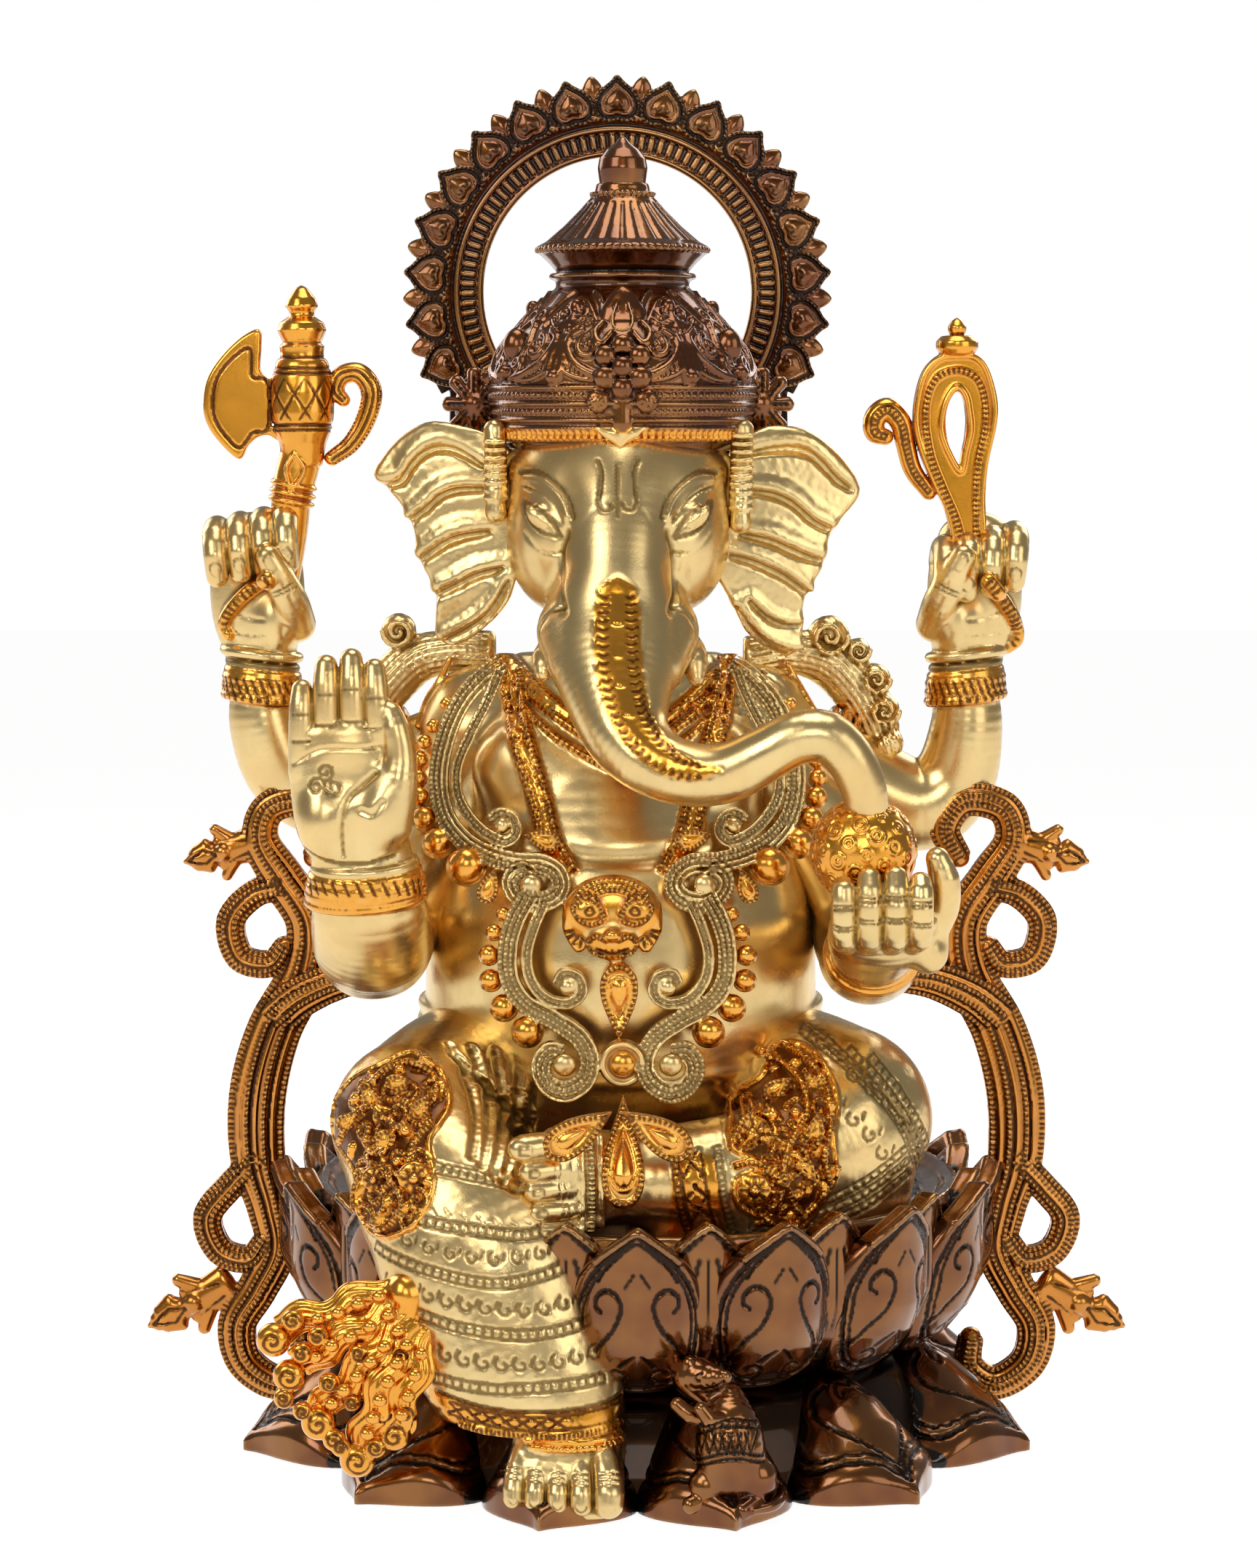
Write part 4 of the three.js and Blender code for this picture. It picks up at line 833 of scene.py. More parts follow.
def build_halo():
    cx, cz, y = -8.0, 471.0, 48.0
    c = Clay((-102, y - 6, 296), (86, y + 12, 565), 0.6, COPPER)
    end = math.radians(120)
    arc = lambda r, a0=-end, a1=end, n=220: np.array([(cx + r * math.sin(t), y,
        cz + r * math.cos(t)) for t in np.linspace(a0, a1, n)])
    band = np.vstack([arc(75)[:, [0, 2]], arc(56.5)[::-1][:, [0, 2]]])
    c.plate(band, y + 5.0, 3.4, soft=1.0)
    lifted = lambda pts, dy: pts + vec(0, dy, 0)
    c.rail(lifted(arc(57.6), 1.6), 1.5)
    c.rail(lifted(arc(67.4), 1.2), 1.5)
    c.rail(lifted(arc(71.0), 1.6), 1.2)
    for t in np.linspace(-end, end, 66):
        a, b = (vec(cx + r * math.sin(t), y + 1.2, cz + r * math.cos(t)) for r in (60.6, 64.6))
        c.tube([a, b], 1.45, k=0.1, dense=True)
    # the dark backing plate behind the hearts is painted shade in the gaps between them
    backing = np.vstack([arc(85.5)[:, [0, 2]], arc(70)[::-1][:, [0, 2]]])
    c.plate(backing, y + 5.6, 2.4, soft=0.6, tint=DARK)
    heart = [(0, 10.4), (2.4, 7.8), (6.4, 4.4), (9.2, 0.4), (10.0, -3.8), (8.2, -8.0), (4.0, -9.6),
        (0, -8.6)]
    heart = heart + [(-x, z) for x, z in heart[-2:0:-1]]
    scaled = lambda by, drop=0.0: [(x * by, z * by - drop) for x, z in heart]

    def turned(points, t, r):
        u, v = vec(math.cos(t), -math.sin(t)), vec(math.sin(t), math.cos(t))
        middle = vec(cx, cz) + r * v
        return [tuple(middle + x * u + z * v) for x, z in points]

    count = 17
    heart_r = 79.8  # radius that the hearts stand on
    pitch = 2 * end / count
    for i in range(count):
        t = -end + pitch * (i + 0.5)
        c.plate(outline_smooth(turned(heart, t, heart_r), 1.5), y + 4.2, 3.6, soft=0.9)
        for by, r, cuts in ((0.88, 1.15, True), (0.66, 0.6, False)):
            rim = np.array([(x, y + 0.6, z) for x, z in outline_smooth(turned(scaled(by), t, heart_r),
                1.0)])
            c.rail(np.vstack([rim, rim[:1]]), r, k=0.25)
            if cuts:
                c.notches(rim + vec(0, -0.8, 0), 1.9, 1.1, 0.4, tint=DARK)
        moat = np.array([(x, y + 0.3, z) for x, z in outline_smooth(turned(scaled(0.77), t, heart_r),
            1.0)])
        c.groove(np.vstack([moat, moat[:1]]), 0.6, tint=DARK)
        c.plate(outline_smooth(turned(scaled(0.50, 0.4), t, heart_r), 1.2), y + 1.2, 1.0, soft=0.5,
            puff=2.0)
        for s in (-1, 1):
            hook = turned([(s * 0.6, 2.6), (s * 2.8, 0.6), (s * 3.4, -2.2), (s * 1.6, -3.4),
                (s * 0.9, -1.8)], t, heart_r)
            c.groove(np.array([(x, y - 1.2, z) for x, z in flat_path(hook, 0.6)]), 0.5, tint=DARK)
    for i in range(count - 1):
        t = -end + pitch * (i + 1)
        diamond = turned([(0, 5.4), (4.0, 1.0), (3.2, -4.4), (0, -6), (-3.2, -4.4), (-4.0, 1.0)], t, 84.8)
        c.plate(outline_smooth(diamond, 1.2), y + 4.0, 2.4, soft=0.6, puff=2.0)
        dot = turned([(0, 0)], t, 72.6)[0]
        c.ball((dot[0], y + 0.8, dot[1]), 1.7, k=0.3)
    # the legs that hold the halo, painted dark as shade behind the head and ears
    for s in (-1, 1):
        x = MID_X + s * 66
        c.limb([(x, y + 5, 306, 6.6, 3.6), (x, y + 5, 380, 6, 3.6), (x, y + 6, 436, 5, 3)], k=1,
            tint=DARK)
    place("halo_casting", c.mesh("halo_casting", relax=1), "copper_lacquer", "halo")

# ---- lotus base ----
def sheet(c, outline, z, half, soft):
    """Like a plate, but lying in the XY plane: outline of [x, y], its middle at z(x, y)."""
    p = np.asarray(outline, float)
    lo, hi = p.min(0), p.max(0)

    def shape(x, y, zz):
        u, v = np.broadcast_arrays(x, y)
        q1 = polygon_distance(u, v, p).astype(np.float32) + soft
        q2 = np.abs(zz - z(u, v)) - half + soft
        return np.minimum(np.maximum(q1, q2), 0) + np.hypot(np.maximum(q1, 0), np.maximum(q2, 0)) - soft

    top = c.low[2] + c.h * c.d.shape[2]
    c.blend(vec(lo[0], lo[1], c.low[2]), vec(hi[0], hi[1], top), shape, 0, False, None)


def both_sides(half):
    """A closed outline from its right half, from the top down."""
    return half + [(-x, z) for x, z in half[::-1] if abs(x) > 0.01]


def inset(outline, by, about):
    """An outline drawn in by a distance towards a point."""
    out = []
    for x, z in outline:
        dx, dz = about[0] - x, about[1] - z
        f = by / max(math.hypot(dx, dz), 1e-6)
        out.append((x + dx * f, z + dz * f))
    return out


UPPER_PETAL = both_sides([(0, 113.5), (3.5, 111.5), (9, 107.5), (16, 101.5), (22, 93.5), (25.6, 84),
    (26.6, 74), (25.2, 63), (21.5, 53), (15, 46), (7, 43), (0, 42.4)])
PETAL_SEAM = 27.4
UPPER_COUNT = 16
UPPER_PITCH = 360 / UPPER_COUNT


def upper_petal(wide=1.0, pull=0.0, motif=True, name="lotus_petal", grid=0.7):
    space = ((-40, -158, 38), (40, -104, 118))
    c = Clay(*space, grid, COPPER)
    outline = outline_smooth([(x * wide, z) for x, z in UPPER_PETAL], 2.0)
    rows = np.array([(38, 112), (44, 124), (52, 134), (62, 141), (74, 145.2), (88, 147), (100, 148.6),
        (108, 150.6), (116, 153.5)])
    reach = lambda z: np.interp(z, rows[:, 0], rows[:, 1]) - pull

    def skin(x, z):
        side = np.clip(np.abs(x) / (27 * wide), 0, 1.4)
        cushion = 3.2 * np.exp(-(((z - 74) / 20) ** 2)) * (1 - np.minimum(side, 1) ** 2)
        return -reach(z) - cushion + 13.0 * side**2.3 + 4.5

    c.plate(outline, skin, 4.5, soft=2.2)
    # the top edge is turned out into a lip
    tip = [(x, z) for x, z in outline if z > 101]
    tip.sort()
    c.rail(c.front([(x * 0.97, z - 1.6) for x, z in tip], lift=-0.4), 1.7, k=1.2)
    middle = (0, 76)
    if motif:
        for by, r in ((3.6, 0.85), (5.6, 0.55)):
            line = outline_smooth(inset(outline, by, middle), 1.2)
            line = np.vstack([line, line[:1]])
            c.groove(c.front(line), r, tint=DARK)
        for s in (-1, 1):
            scroll = [(14.0, 80.6), (16.0, 82.6), (15.4, 86.6), (11.6, 89.4), (7.6, 87.0), (6.4, 81.6),
                (9.4, 73.6), (15.2, 65.4), (18.4, 57.2), (15.8, 51.0), (10.6, 49.0)]
            foot = [(11.4, 54.4), (7.8, 55.8), (4.6, 52.6), (6.8, 49.4), (9.6, 50.2)]
            tick = [(1.6, 62.5), (4.2, 59.8), (6.6, 57.2)]
            brow = [(8.2, 102.2), (12.2, 97.6), (15.0, 92.4)]
            vein = [(1.5, 95.5), (4.8, 90.4)]
            for line, r in ((scroll, 0.75), (foot, 0.6), (tick, 0.6), (brow, 0.5), (vein, 0.45)):
                c.groove(c.front(smooth_path([(s * x, 0, z) for x, z in line], 0.8)[:, [0, 2]]), r,
                    tint=DARK)
    else:
        c.groove(c.front([p for p in inset(outline, 3.2, middle) if p[1] > 60]), 0.8, tint=DARK)
        for s in (-1, 0, 1):
            c.groove(c.front(flat_path([(s * 3, 66), (s * 6.4, 84), (s * 3.4, 99)], 0.8)), 0.6, tint=DARK)
    # what stands next to it, so that painted shade darkens the gaps between the petals
    shade_field = Clay(*space, grid)
    shade_field.d = c.d.copy()
    for s in (-1, 1):
        shade_field.plate([(2 * s * PETAL_SEAM - x, z) for x, z in outline], lambda x,
            z: skin(2 * s * PETAL_SEAM - x, z), 4.5, soft=2.2)
    shade_field.lathe([(90, 36), (118, 40), (130, 56), (135, 78), (136, 106), (90, 106)], (0, 0))
    shade_field.lathe([(90, 30), (135, 30), (132, 42), (90, 42)], (0, 0))
    return c.mesh(name, shade_around=shade_field.d)


LOWER_PETAL = both_sides([(0, 166.5), (3, 163.5), (9, 159.5), (17, 155), (25.5, 149), (32.5, 141.5),
    (36.0, 132), (34.5, 121), (26, 112), (14, 108), (0, 107)])


def lower_petal():
    space = ((-44, -172, -6), (44, -100, 54))
    c = Clay(*space, 0.8, COPPER)
    outline = outline_smooth([(x, -r) for x, r in LOWER_PETAL], 2.0)
    rows = np.array([(100, 44), (112, 43.5), (122, 42), (132, 37), (142, 28.5), (150, 20), (158, 11.5),
        (165, 6.8), (172, 5.5)])
    height = lambda r: np.interp(r, rows[:, 0], rows[:, 1])
    slab = 12.0

    def skin(x, y):
        side = np.clip(np.abs(x) / 33.0, 0, 1.4)
        return np.maximum(height(-y) * (1 - 0.78 * side**2.0), 4.6) - slab

    sheet(c, outline, skin, slab, soft=2.4)
    c.blend(vec(-44, -172, -20), vec(44, -100, 0), lambda x, y, z: z + 0 * x + 0 * y, 0, True, None)
    top = lambda pts: np.array([c.above(x, y) for x, y in pts])
    middle = (0, -134)
    for by, r in ((5.0, 0.95), (7.6, 0.6)):
        line = outline_smooth(inset(outline, by, middle), 1.4)
        c.groove(top(np.vstack([line, line[:1]])), r, tint=DARK)
    for s in (-1, 1):
        heart = [(4.0, 128.6), (7.4, 130.4), (7.0, 126.2), (3.6, 123.4), (0.4, 126.0)]
        flank = [(8.4, 121.6), (14.6, 121.0), (18.6, 126.6), (17.4, 135.6), (11.4, 145.0), (3.6, 152.6),
            (0, 155.6)]
        for line, r in ((heart, 0.65), (flank, 0.85)):
            c.groove(top(smooth_path([(s * x, -r_, 0) for x, r_ in line], 0.8)[:, :2]), r, tint=DARK)
    # what stands next to it, so that painted shade darkens the gaps between the petals
    shade_field = Clay(*space, 0.8)
    shade_field.d = c.d.copy()
    seam = 34.5
    for s in (-1, 1):
        sheet(shade_field, [(2 * s * seam - x, y) for x, y in outline], lambda x, y: skin(2 * s * seam - x, y),
            slab, soft=2.4)
    shade_field.lathe([(90, -2), (134, -2), (128, 26), (112, 38), (112, 60), (90, 60)], (0, 0))
    return c.mesh("lotus_foot_petal", shade_around=shade_field.d)


def build_lotus():
    turned_by = lambda degrees: Matrix.Rotation(math.radians(degrees), 4, "Z")
    # upper lotus: a bowl with a deck, and two rings of petals
    bowl = Clay((-141, -141, 36), (141, 141, 110), 1.8, COPPER)
    bowl.lathe(
        [(0, 101.4), (122, 101.4), (126, 103), (128, 106), (132.5, 106.5), (134, 103), (133, 78),
        (128, 60), (119, 47), (108, 41), (60, 41), (60, 95), (0, 95)],
        (0, 0),
    )
    for r, z in ((112, 101.6), (117, 101.8)):
        ring = np.array([(r * math.sin(t), -r * math.cos(t), z) for t in np.linspace(0, 2 * math.pi,
            240)])
        bowl.rail(ring, 1.0, k=0.6, tint=DARK)
    rough_skin(bowl, 0.12)
    place("lotus_bowl", bowl.mesh("lotus_bowl", relax=1), "copper_lacquer", "lotus_base_upper")
    outer = upper_petal()
    inner = upper_petal(wide=0.86, pull=9.5, motif=False, name="lotus_inner_petal", grid=1.0)
    for i in range(UPPER_COUNT):
        if i != UPPER_COUNT - 1:  # the hanging leg takes the place of the last one
            place(f"lotus_petal_{i + 1:02d}", outer, "copper_lacquer", at=turned_by(UPPER_PITCH * i))
        place(f"lotus_inner_petal_{i + 1:02d}", inner, "copper_lacquer",
            at=turned_by(UPPER_PITCH * (i + 0.5)))
    # lower lotus: a ring with drooping petals; the ring is painted dark, as shade in the gaps between the
    # petals
    ring = Clay((-146, -146, -1), (146, 146, 44), 1.8, COPPER)
    ring.lathe([(60, 34), (60, 40), (111, 40), (117, 36), (124, 26), (130, 12), (132, 0.4), (126.4, 0.4),
        (120, 22), (106, 34)], (0, 0), tint=DARK)
    place("lotus_ring", ring.mesh("lotus_ring", relax=1), "copper_lacquer", "lotus_base_lower")
    petal = lower_petal()
    for i, (angle, wide) in enumerate(((13, 0.86), (41, 0.96), (74, 1.06), (106, 1.06), (139, 1.0),
            (167, 0.88))):
        for s, side in ((-1, "right"), (1, "left")):
            place(f"lotus_foot_petal_{side}_{i + 1}", petal, "copper_lacquer",
                at=turned_by(s * angle) @ Matrix.Diagonal((wide, 1, 1, 1)))


def build_mouse():
    c = Clay((8, -168, 0), (62, -118, 72), 0.5, COPPER)
    # barrel of a body, upright and leaning back, with the haunches
    c.limb([(34, -140, 44, 8, 8), (35, -145, 34, 12.5, 11.5), (36, -146, 22, 13.5, 12), (38, -143, 12, 11,
        10)], k=0)
    c.ball((45, -147, 17), (8.5, 8, 9), k=1.5)
    c.ball((26, -149, 14), (7, 6.5, 7.5), k=1.5)
    c.limb([(27, -151, 10, 4, 3.6), (20, -154, 8, 3.6, 3)], k=1.2)
    c.limb([(45, -151, 9, 4, 3.6), (40, -156, 6.5, 3.6, 3)], k=1.2)
    # head, looking up across the idol, with its ears and forepaws
    c.limb([(27, -138, 49, 7.5, 7), (21, -137, 54, 8, 7.5), (27, -142, 54.5, 6.2, 5.6),
        (33.5, -145.5, 55.5, 2.8, 2.6)], k=2)
    c.ball((16, -135, 56), (3.2, 4.6, 4.6), k=0.6)
    c.ball((20, -141.5, 59), (3.0, 2.2, 3.6), k=0.6)
    c.limb([(26, -147, 40, 3.6, 3.4), (20, -150, 42, 3.2, 3), (15, -149, 46, 2.8, 2.6)], k=1)
    c.limb([(32, -152, 40, 3.4, 3.2), (27, -156, 42, 3.0, 3), (24, -156, 46, 2.6, 2.6)], k=1)
    eye = c.front([(23.5, 55.8)])[0]
    c.ball(eye, 1.2, k=0.1)
    lid = [eye + vec(1.9 * math.cos(a), 0.2, 1.6 * math.sin(a)) for a in np.linspace(0, 6.28, 10)]
    c.groove(np.array(lid), 0.35, tint=DARK)
    c.groove(c.front(smooth_path([(33, 0, 54.6), (29, 0, 52.0), (25, 0, 51.2)], 0.7)[:, [0, 2]]), 0.4,
        tint=DARK)
    # the cloth on its back: bands round the barrel and a lattice
    for z0 in (40, 37.6, 28, 25.6):
        line = smooth_path([(22.5, 0, z0 - 3), (30, 0, z0 + 0.5), (38, 0, z0 + 1.5), (48, 0, z0 - 1)],
            0.8)[:, [0, 2]]
        c.groove(c.front(line), 0.5, tint=DARK)
    for x0 in np.arange(24, 46, 3.2):
        for lean in (-2.4, 2.4):
            c.groove(c.front(smooth_path([(x0, 0, 28.8), (x0 + lean, 0, 36.6)], 0.8)[:, [0, 2]]), 0.36,
                tint=DARK)
    for x0 in np.arange(24, 48, 2.6):
        c.groove(c.front([(x0, 38.4), (x0 + 0.5, 40.4)]), 0.4, tint=DARK)
    # tail, curled forward
    c.tube([(48, -132, 12), (54, -140, 9), (52, -150, 7.4), (44, -156, 6.4)], (3.2, 2.8, 2.4, 1.5), k=0.8)
    place("mouse_casting", c.mesh("mouse_casting"), "copper_lacquer", "mouse")


# ---- engraving shared by the robes ----
def flat_path(points, step=0.9):
    """A smooth route of [x, z]."""
    return smooth_path([(x, 0, z) for x, z in points], step)[:, [0, 2]]


def shifted(route, by):
    """A route of [x, z] moved sideways."""
    along = np.gradient(route, axis=0)
    side = np.stack([-along[:, 1], along[:, 0]], axis=1)
    return route + by * side / np.maximum(np.linalg.norm(side, axis=1), 1e-9)[:, None]


def dash_band(c, points, wide=3.2, pitch=3.4, r=0.42, tint=None):
    """Two lines with short dashes between them."""
    route = flat_path(points)
    for s in (-0.5, 0.5):
        c.groove(c.front(shifted(route, s * wide)), r, tint=tint)
    mid = resample(np.column_stack([route[:, 0], np.zeros(len(route)), route[:, 1]]), pitch)[:, [0, 2]]
    a, b = shifted(mid, -0.28 * wide), shifted(mid, 0.28 * wide)
    for p, q in zip(a, b):
        c.groove(c.front([p, q]), r * 0.9, tint=tint)


def wave_band(c, points, high=3.4, pitch=7.5, r=0.5):
    """A running wave of small curls."""
    route = flat_path(points)
    mid = resample(np.column_stack([route[:, 0], np.zeros(len(route)), route[:, 1]]), pitch)[:, [0, 2]]
    for x, z in mid:
        t = np.linspace(0, 1, 14)
        rr = high * (1 - 0.75 * t)
        a = 2.2 + 5.2 * t
        c.groove(c.front(np.column_stack([x + rr * np.cos(a), z + rr * np.sin(a)])), r, tint=DARK)
        c.groove(c.front([(x + high, z - 0.4), (x + high * 1.25, z + high * 0.7)]), r, tint=DARK)


def diamond_band(c, points, wide=6.0, pitch=7.0, r=0.5, tint=None):
    """Two lines with crosses between them."""
    route = flat_path(points)
    for s in (-0.5, 0.5):
        c.groove(c.front(shifted(route, s * wide)), r, tint=tint)
    n = max(int(pitch / 0.9), 2)
    top, low = shifted(route, 0.42 * wide), shifted(route, -0.42 * wide)
    for i in range(0, len(route) - n, n):
        c.groove(c.front([top[i], low[i + n]]), r * 0.9, tint=tint)
        c.groove(c.front([low[i], top[i + n]]), r * 0.9, tint=tint)


# ---- raised ornaments, soldered on the surface ----
def rope(c, points, r, tint=GOLD, lift=0.6, pitch=1.9, k=0.5):
    """A raised cord with cuts across it, on the front of the clay."""
    line = c.front(flat_path(points), lift=lift)
    c.rail(line, r, k=k, tint=tint)
    c.notches(line + vec(0, -r * 0.72, 0), pitch, r * 0.95, 0.34, tint=DARK)


def rosette(c, x, z, r, tint=GOLD, petals=8):
    at = c.front([(x, z)])[0]
    c.ball(at, (r, 2.6, r), k=0.5, tint=tint)
    c.ball(at + vec(0, -2.0, 0), (r * 0.34, 2.2, r * 0.34), k=0.2, tint=tint)
    for i in range(petals):
        a = 2 * math.pi * i / petals
        p, q = (vec(x + f * r * math.cos(a), at[1] - 2.9 + 1.3 * f,
            z + f * r * math.sin(a)) for f in (0.42, 0.95))
        c.groove(np.array([p, q]), 0.5, tint=DARK)
    ring = np.array([vec(x + 0.4 * r * math.cos(a), at[1] - 2.6,
        z + 0.4 * r * math.sin(a)) for a in np.linspace(0, 6.3, 14)])
    c.groove(ring, 0.4, tint=DARK)


def paisley(c, x, z, size, turn, y=None):
    """A drop with a corded rim; turn is the direction of its tip, in degrees from up."""
    a = math.radians(turn)
    u, v = vec(math.cos(a), -math.sin(a)), vec(math.sin(a), math.cos(a))
    base = tear((size * 0.72, size))
    ring = [tuple(vec(x, z) + p[0] * u + p[1] * v) for p in base]
    ground = c.front([(x, z)])[0][1] if y is None else y
    c.plate(ring, ground - 0.2, 1.8, soft=0.8, tint=GOLD)
    rim = [tuple(vec(x, z) + 0.86 * p[0] * u + 0.88 * p[1] * v) for p in base]
    line = np.array([(p[0], ground - 2.0, p[1]) for p in rim + rim[:1]])
    c.rail(line, 0.95, k=0.3, tint=GOLD)
    c.notches(line + vec(0, -0.7, 0), 1.7, 0.95, 0.32, tint=DARK)
    core = [tuple(vec(x, z) + 0.5 * p[0] * u + 0.52 * p[1] * v - 0.08 * size * v) for p in base]
    c.plate(core, ground - 1.6, 1.0, soft=0.6, puff=1.6, tint=GOLD)


def cord_curl(c, x, z, r, turns, start, radius=1.15, tint=GOLD, lift=0.6):
    """A corded spiral on the front of the clay."""
    t = np.linspace(0, 1, 30)
    a = math.radians(start) + turns * 2 * math.pi * t
    rr = r * (1 - 0.8 * t)
    line = c.front(np.column_stack([x + rr * np.cos(a), z + rr * np.sin(a)]), lift=lift)
    c.rail(line, radius, k=0.4, tint=tint)
    c.notches(line + vec(0, -radius * 0.7, 0), 1.7, radius, 0.3, tint=DARK)


def encrust(c, outline, seed, pitch=8.8):
    """Fills an outline with small raised curls, drops and beads, which are gilded, on a ground that is
    painted gold and then dark.
    """
    c.paint(outline, GOLD, -30)
    c.paint(outline, DARK, -30)
    dice = np.random.default_rng(seed)
    p = np.asarray(outline, float)
    for row, z in enumerate(np.arange(p[:, 1].min(), p[:, 1].max(), pitch * 0.87)):
        for x in np.arange(p[:, 0].min() + (row % 2) * pitch / 2, p[:, 0].max(), pitch):
            x1, z1 = x + dice.uniform(-1, 1), z + dice.uniform(-1, 1)
            kind, lean = dice.integers(4), dice.uniform(0, 360)
            if polygon_distance(np.array([x1]), np.array([z1]), p)[0] > -1.5:
                continue
            at = c.front([(x1, z1)])
            if not len(at):
                continue
            if kind < 2:
                cord_curl(c, x1, z1, 4.6, 1.1 if lean > 180 else -1.1, lean, 1.2)
            elif kind == 2:
                paisley(c, x1, z1, 4.8, lean)
            else:
                c.ball(at[0], 2.2, k=0.4, tint=GOLD)
    edge = outline_smooth(outline, 1.5)
    line = c.front(np.vstack([edge, edge[:1]]), lift=0.3)
    c.rail(line, 1.0, k=0.5, tint=GOLD)


# ---- legs ----
def build_leg_right():
    c = Clay((-142, -166, 2), (0, 14, 188), 0.62)
    c.limb([(-42, 0, 146, 36, 35), (-66, -36, 148, 37, 35), (-88, -72, 142, 32, 31)], deep=(0, 0, 1))
    c.limb([(-88, -76, 139, 31, 30), (-77, -98, 120, 35, 30), (-67, -110, 107, 38, 29),
        (-60, -117, 92, 39, 27), (-53, -122, 76, 38.6, 25), (-48, -126, 60, 37.4, 24), (-41, -129, 47, 34,
        22), (-36, -130, 40, 31, 20)], k=8)
    # hem, cut off square below
    c.limb([(-37, -130, 44, 32, 21), (-35, -131, 36, 31, 20.5)], k=2)
    c.blend(vec(-90, -170, 0), vec(10, -90, 33.6), lambda x, y, z: np.maximum(z - 33.8 + 0.05 * (x + 35),
        -100) + 0 * y, 0.8, True, None)
    # robe: the cloth's folds over the thigh and its engraved bands
    robe = [
        [(-78, 133), (-66, 131), (-52, 128), (-38, 124)], [(-94, 117), (-78, 113), (-60, 111), (-42, 109),
        (-27, 112)],
        [(-101, 101), (-80, 95.5), (-54, 91.5), (-32, 95), (-22, 99)], [(-92, 80), (-67, 74.5),
        (-41, 72.5), (-17.5, 75.5)],
        [(-84, 55), (-54, 52), (-12, 54.5)],
    ]
    for line in robe:
        dash_band(c, line, wide=3.8, r=0.55, tint=DARK)
    wave_band(c, [(-94, 89), (-67, 83.5), (-41, 81.5), (-20, 84.5)], high=3.2)
    wave_band(c, [(-87, 66), (-60, 62), (-38, 61.5), (-15, 64)], high=3.4)
    wave_band(c, [(-96, 108), (-78, 103.5), (-54, 100.5), (-28, 103)], high=2.8, pitch=9)
    for i in range(9):
        f = i / 8
        c.groove(c.front(flat_path([(-74 + 10 * f, 170 - 1.0 * i), (-60 + 14 * f, 158 - 2.2 * i),
            (-36 + 10 * f, 148 - 3.6 * i)])), 0.7, k=1.0)
    for i in range(12):
        x = -98 + 6.2 * i
        c.groove(c.front([(x, 122 - 0.9 * i), (x + 2.4, 118.5 - 0.8 * i)]), 0.4)
    # gilded hem
    hem = [(-76, 48.5), (-58, 44.6), (-40, 43.4), (-20, 44.4), (-4, 46.8)]
    c.paint([(-80, 50)] + hem + [(2, 49), (4, 28), (-40, 26), (-78, 30)], GOLD, -90)
    c.groove(c.front(flat_path(hem)), 0.8, tint=DARK)
    diamond_band(c, [(-72, 42.6), (-58, 40.2), (-40, 38.8), (-20, 39.8), (-5, 41.6)], wide=5.4, pitch=6.5,
        tint=DARK)
    edge = c.front(flat_path([(-67, 36.2), (-56, 34.6), (-38, 33.8), (-20, 34.6), (-6, 36)]), lift=0.2)
    c.rail(edge, 1.5, k=0.5, tint=GOLD)
    c.notches(edge + vec(0, -1.2, -0.4), 1.8, 1.3, 0.4, tint=DARK)
    # ankle with its rings, then the foot
    c.limb([(-26, -134, 40, 20, 15), (-26, -136, 27, 20.5, 15)], k=1)
    for z, r in ((31.8, 1.3), (29.2, 1.0)):
        ring = c.front(flat_path([(-46, z + 0.8), (-36, z), (-26, z - 0.3), (-14, z), (-6, z + 0.8)]),
            lift=0.4)
        c.rail(ring, r, k=0.3, tint=GOLD)
        if z < 30:
            c.beads(ring + vec(0, -0.8, 0), 2.5, 1.3, tint=GOLD)
    c.limb([(-26, -134, 27, 20.5, 13), (-27, -142, 22, 22, 10), (-27.5, -146, 16, 23, 8)], k=2)
    c.limb([(-27, -138, 10, 22, 12), (-27.5, -146, 9, 23, 9)], k=2)
    for x, z, r, out in ((-47.0, 11.0, 4.2, 1.5), (-38.8, 10.4, 4.3, 3), (-30.2, 9.8, 4.4, 4),
            (-21.2, 9.4, 4.7, 4.5), (-10.8, 9.6, 6.2, 4)):
        y = -150 - out
        c.limb([(x * 0.86 - 3.6, y + 8, z + 15, r * 0.9, r * 0.9), (x * 0.96 - 1, y + 4, z + 9, r * 0.96,
            r), (x, y, z + 2.6, r, r), (x, y - 0.6, z - 0.6, r * 0.94, r)], k=0.5)
        toenail = c.front([(x, z + 1.0)])[0]
        nail(c, toenail, r * 0.95, normal=(0, -1, 0.2))
        for dz in (7.4, 9.2, 11.0):
            c.groove(c.front([(x - r * 0.6, z + dz), (x, z + dz + 0.4), (x + r * 0.6, z + dz)]), 0.4)
    # folds of the robe over the thigh
    for i in range(5):
        fold = [(-74 + 9 * i, 172 - 2 * i), (-66 + 6.4 * i, 160 - 2.4 * i), (-62 + 4.8 * i, 148 - 3 * i),
            (-63 + 4 * i, 137 - 3 * i)]
        c.groove(c.front(flat_path(fold)), 1.3, k=3.0)
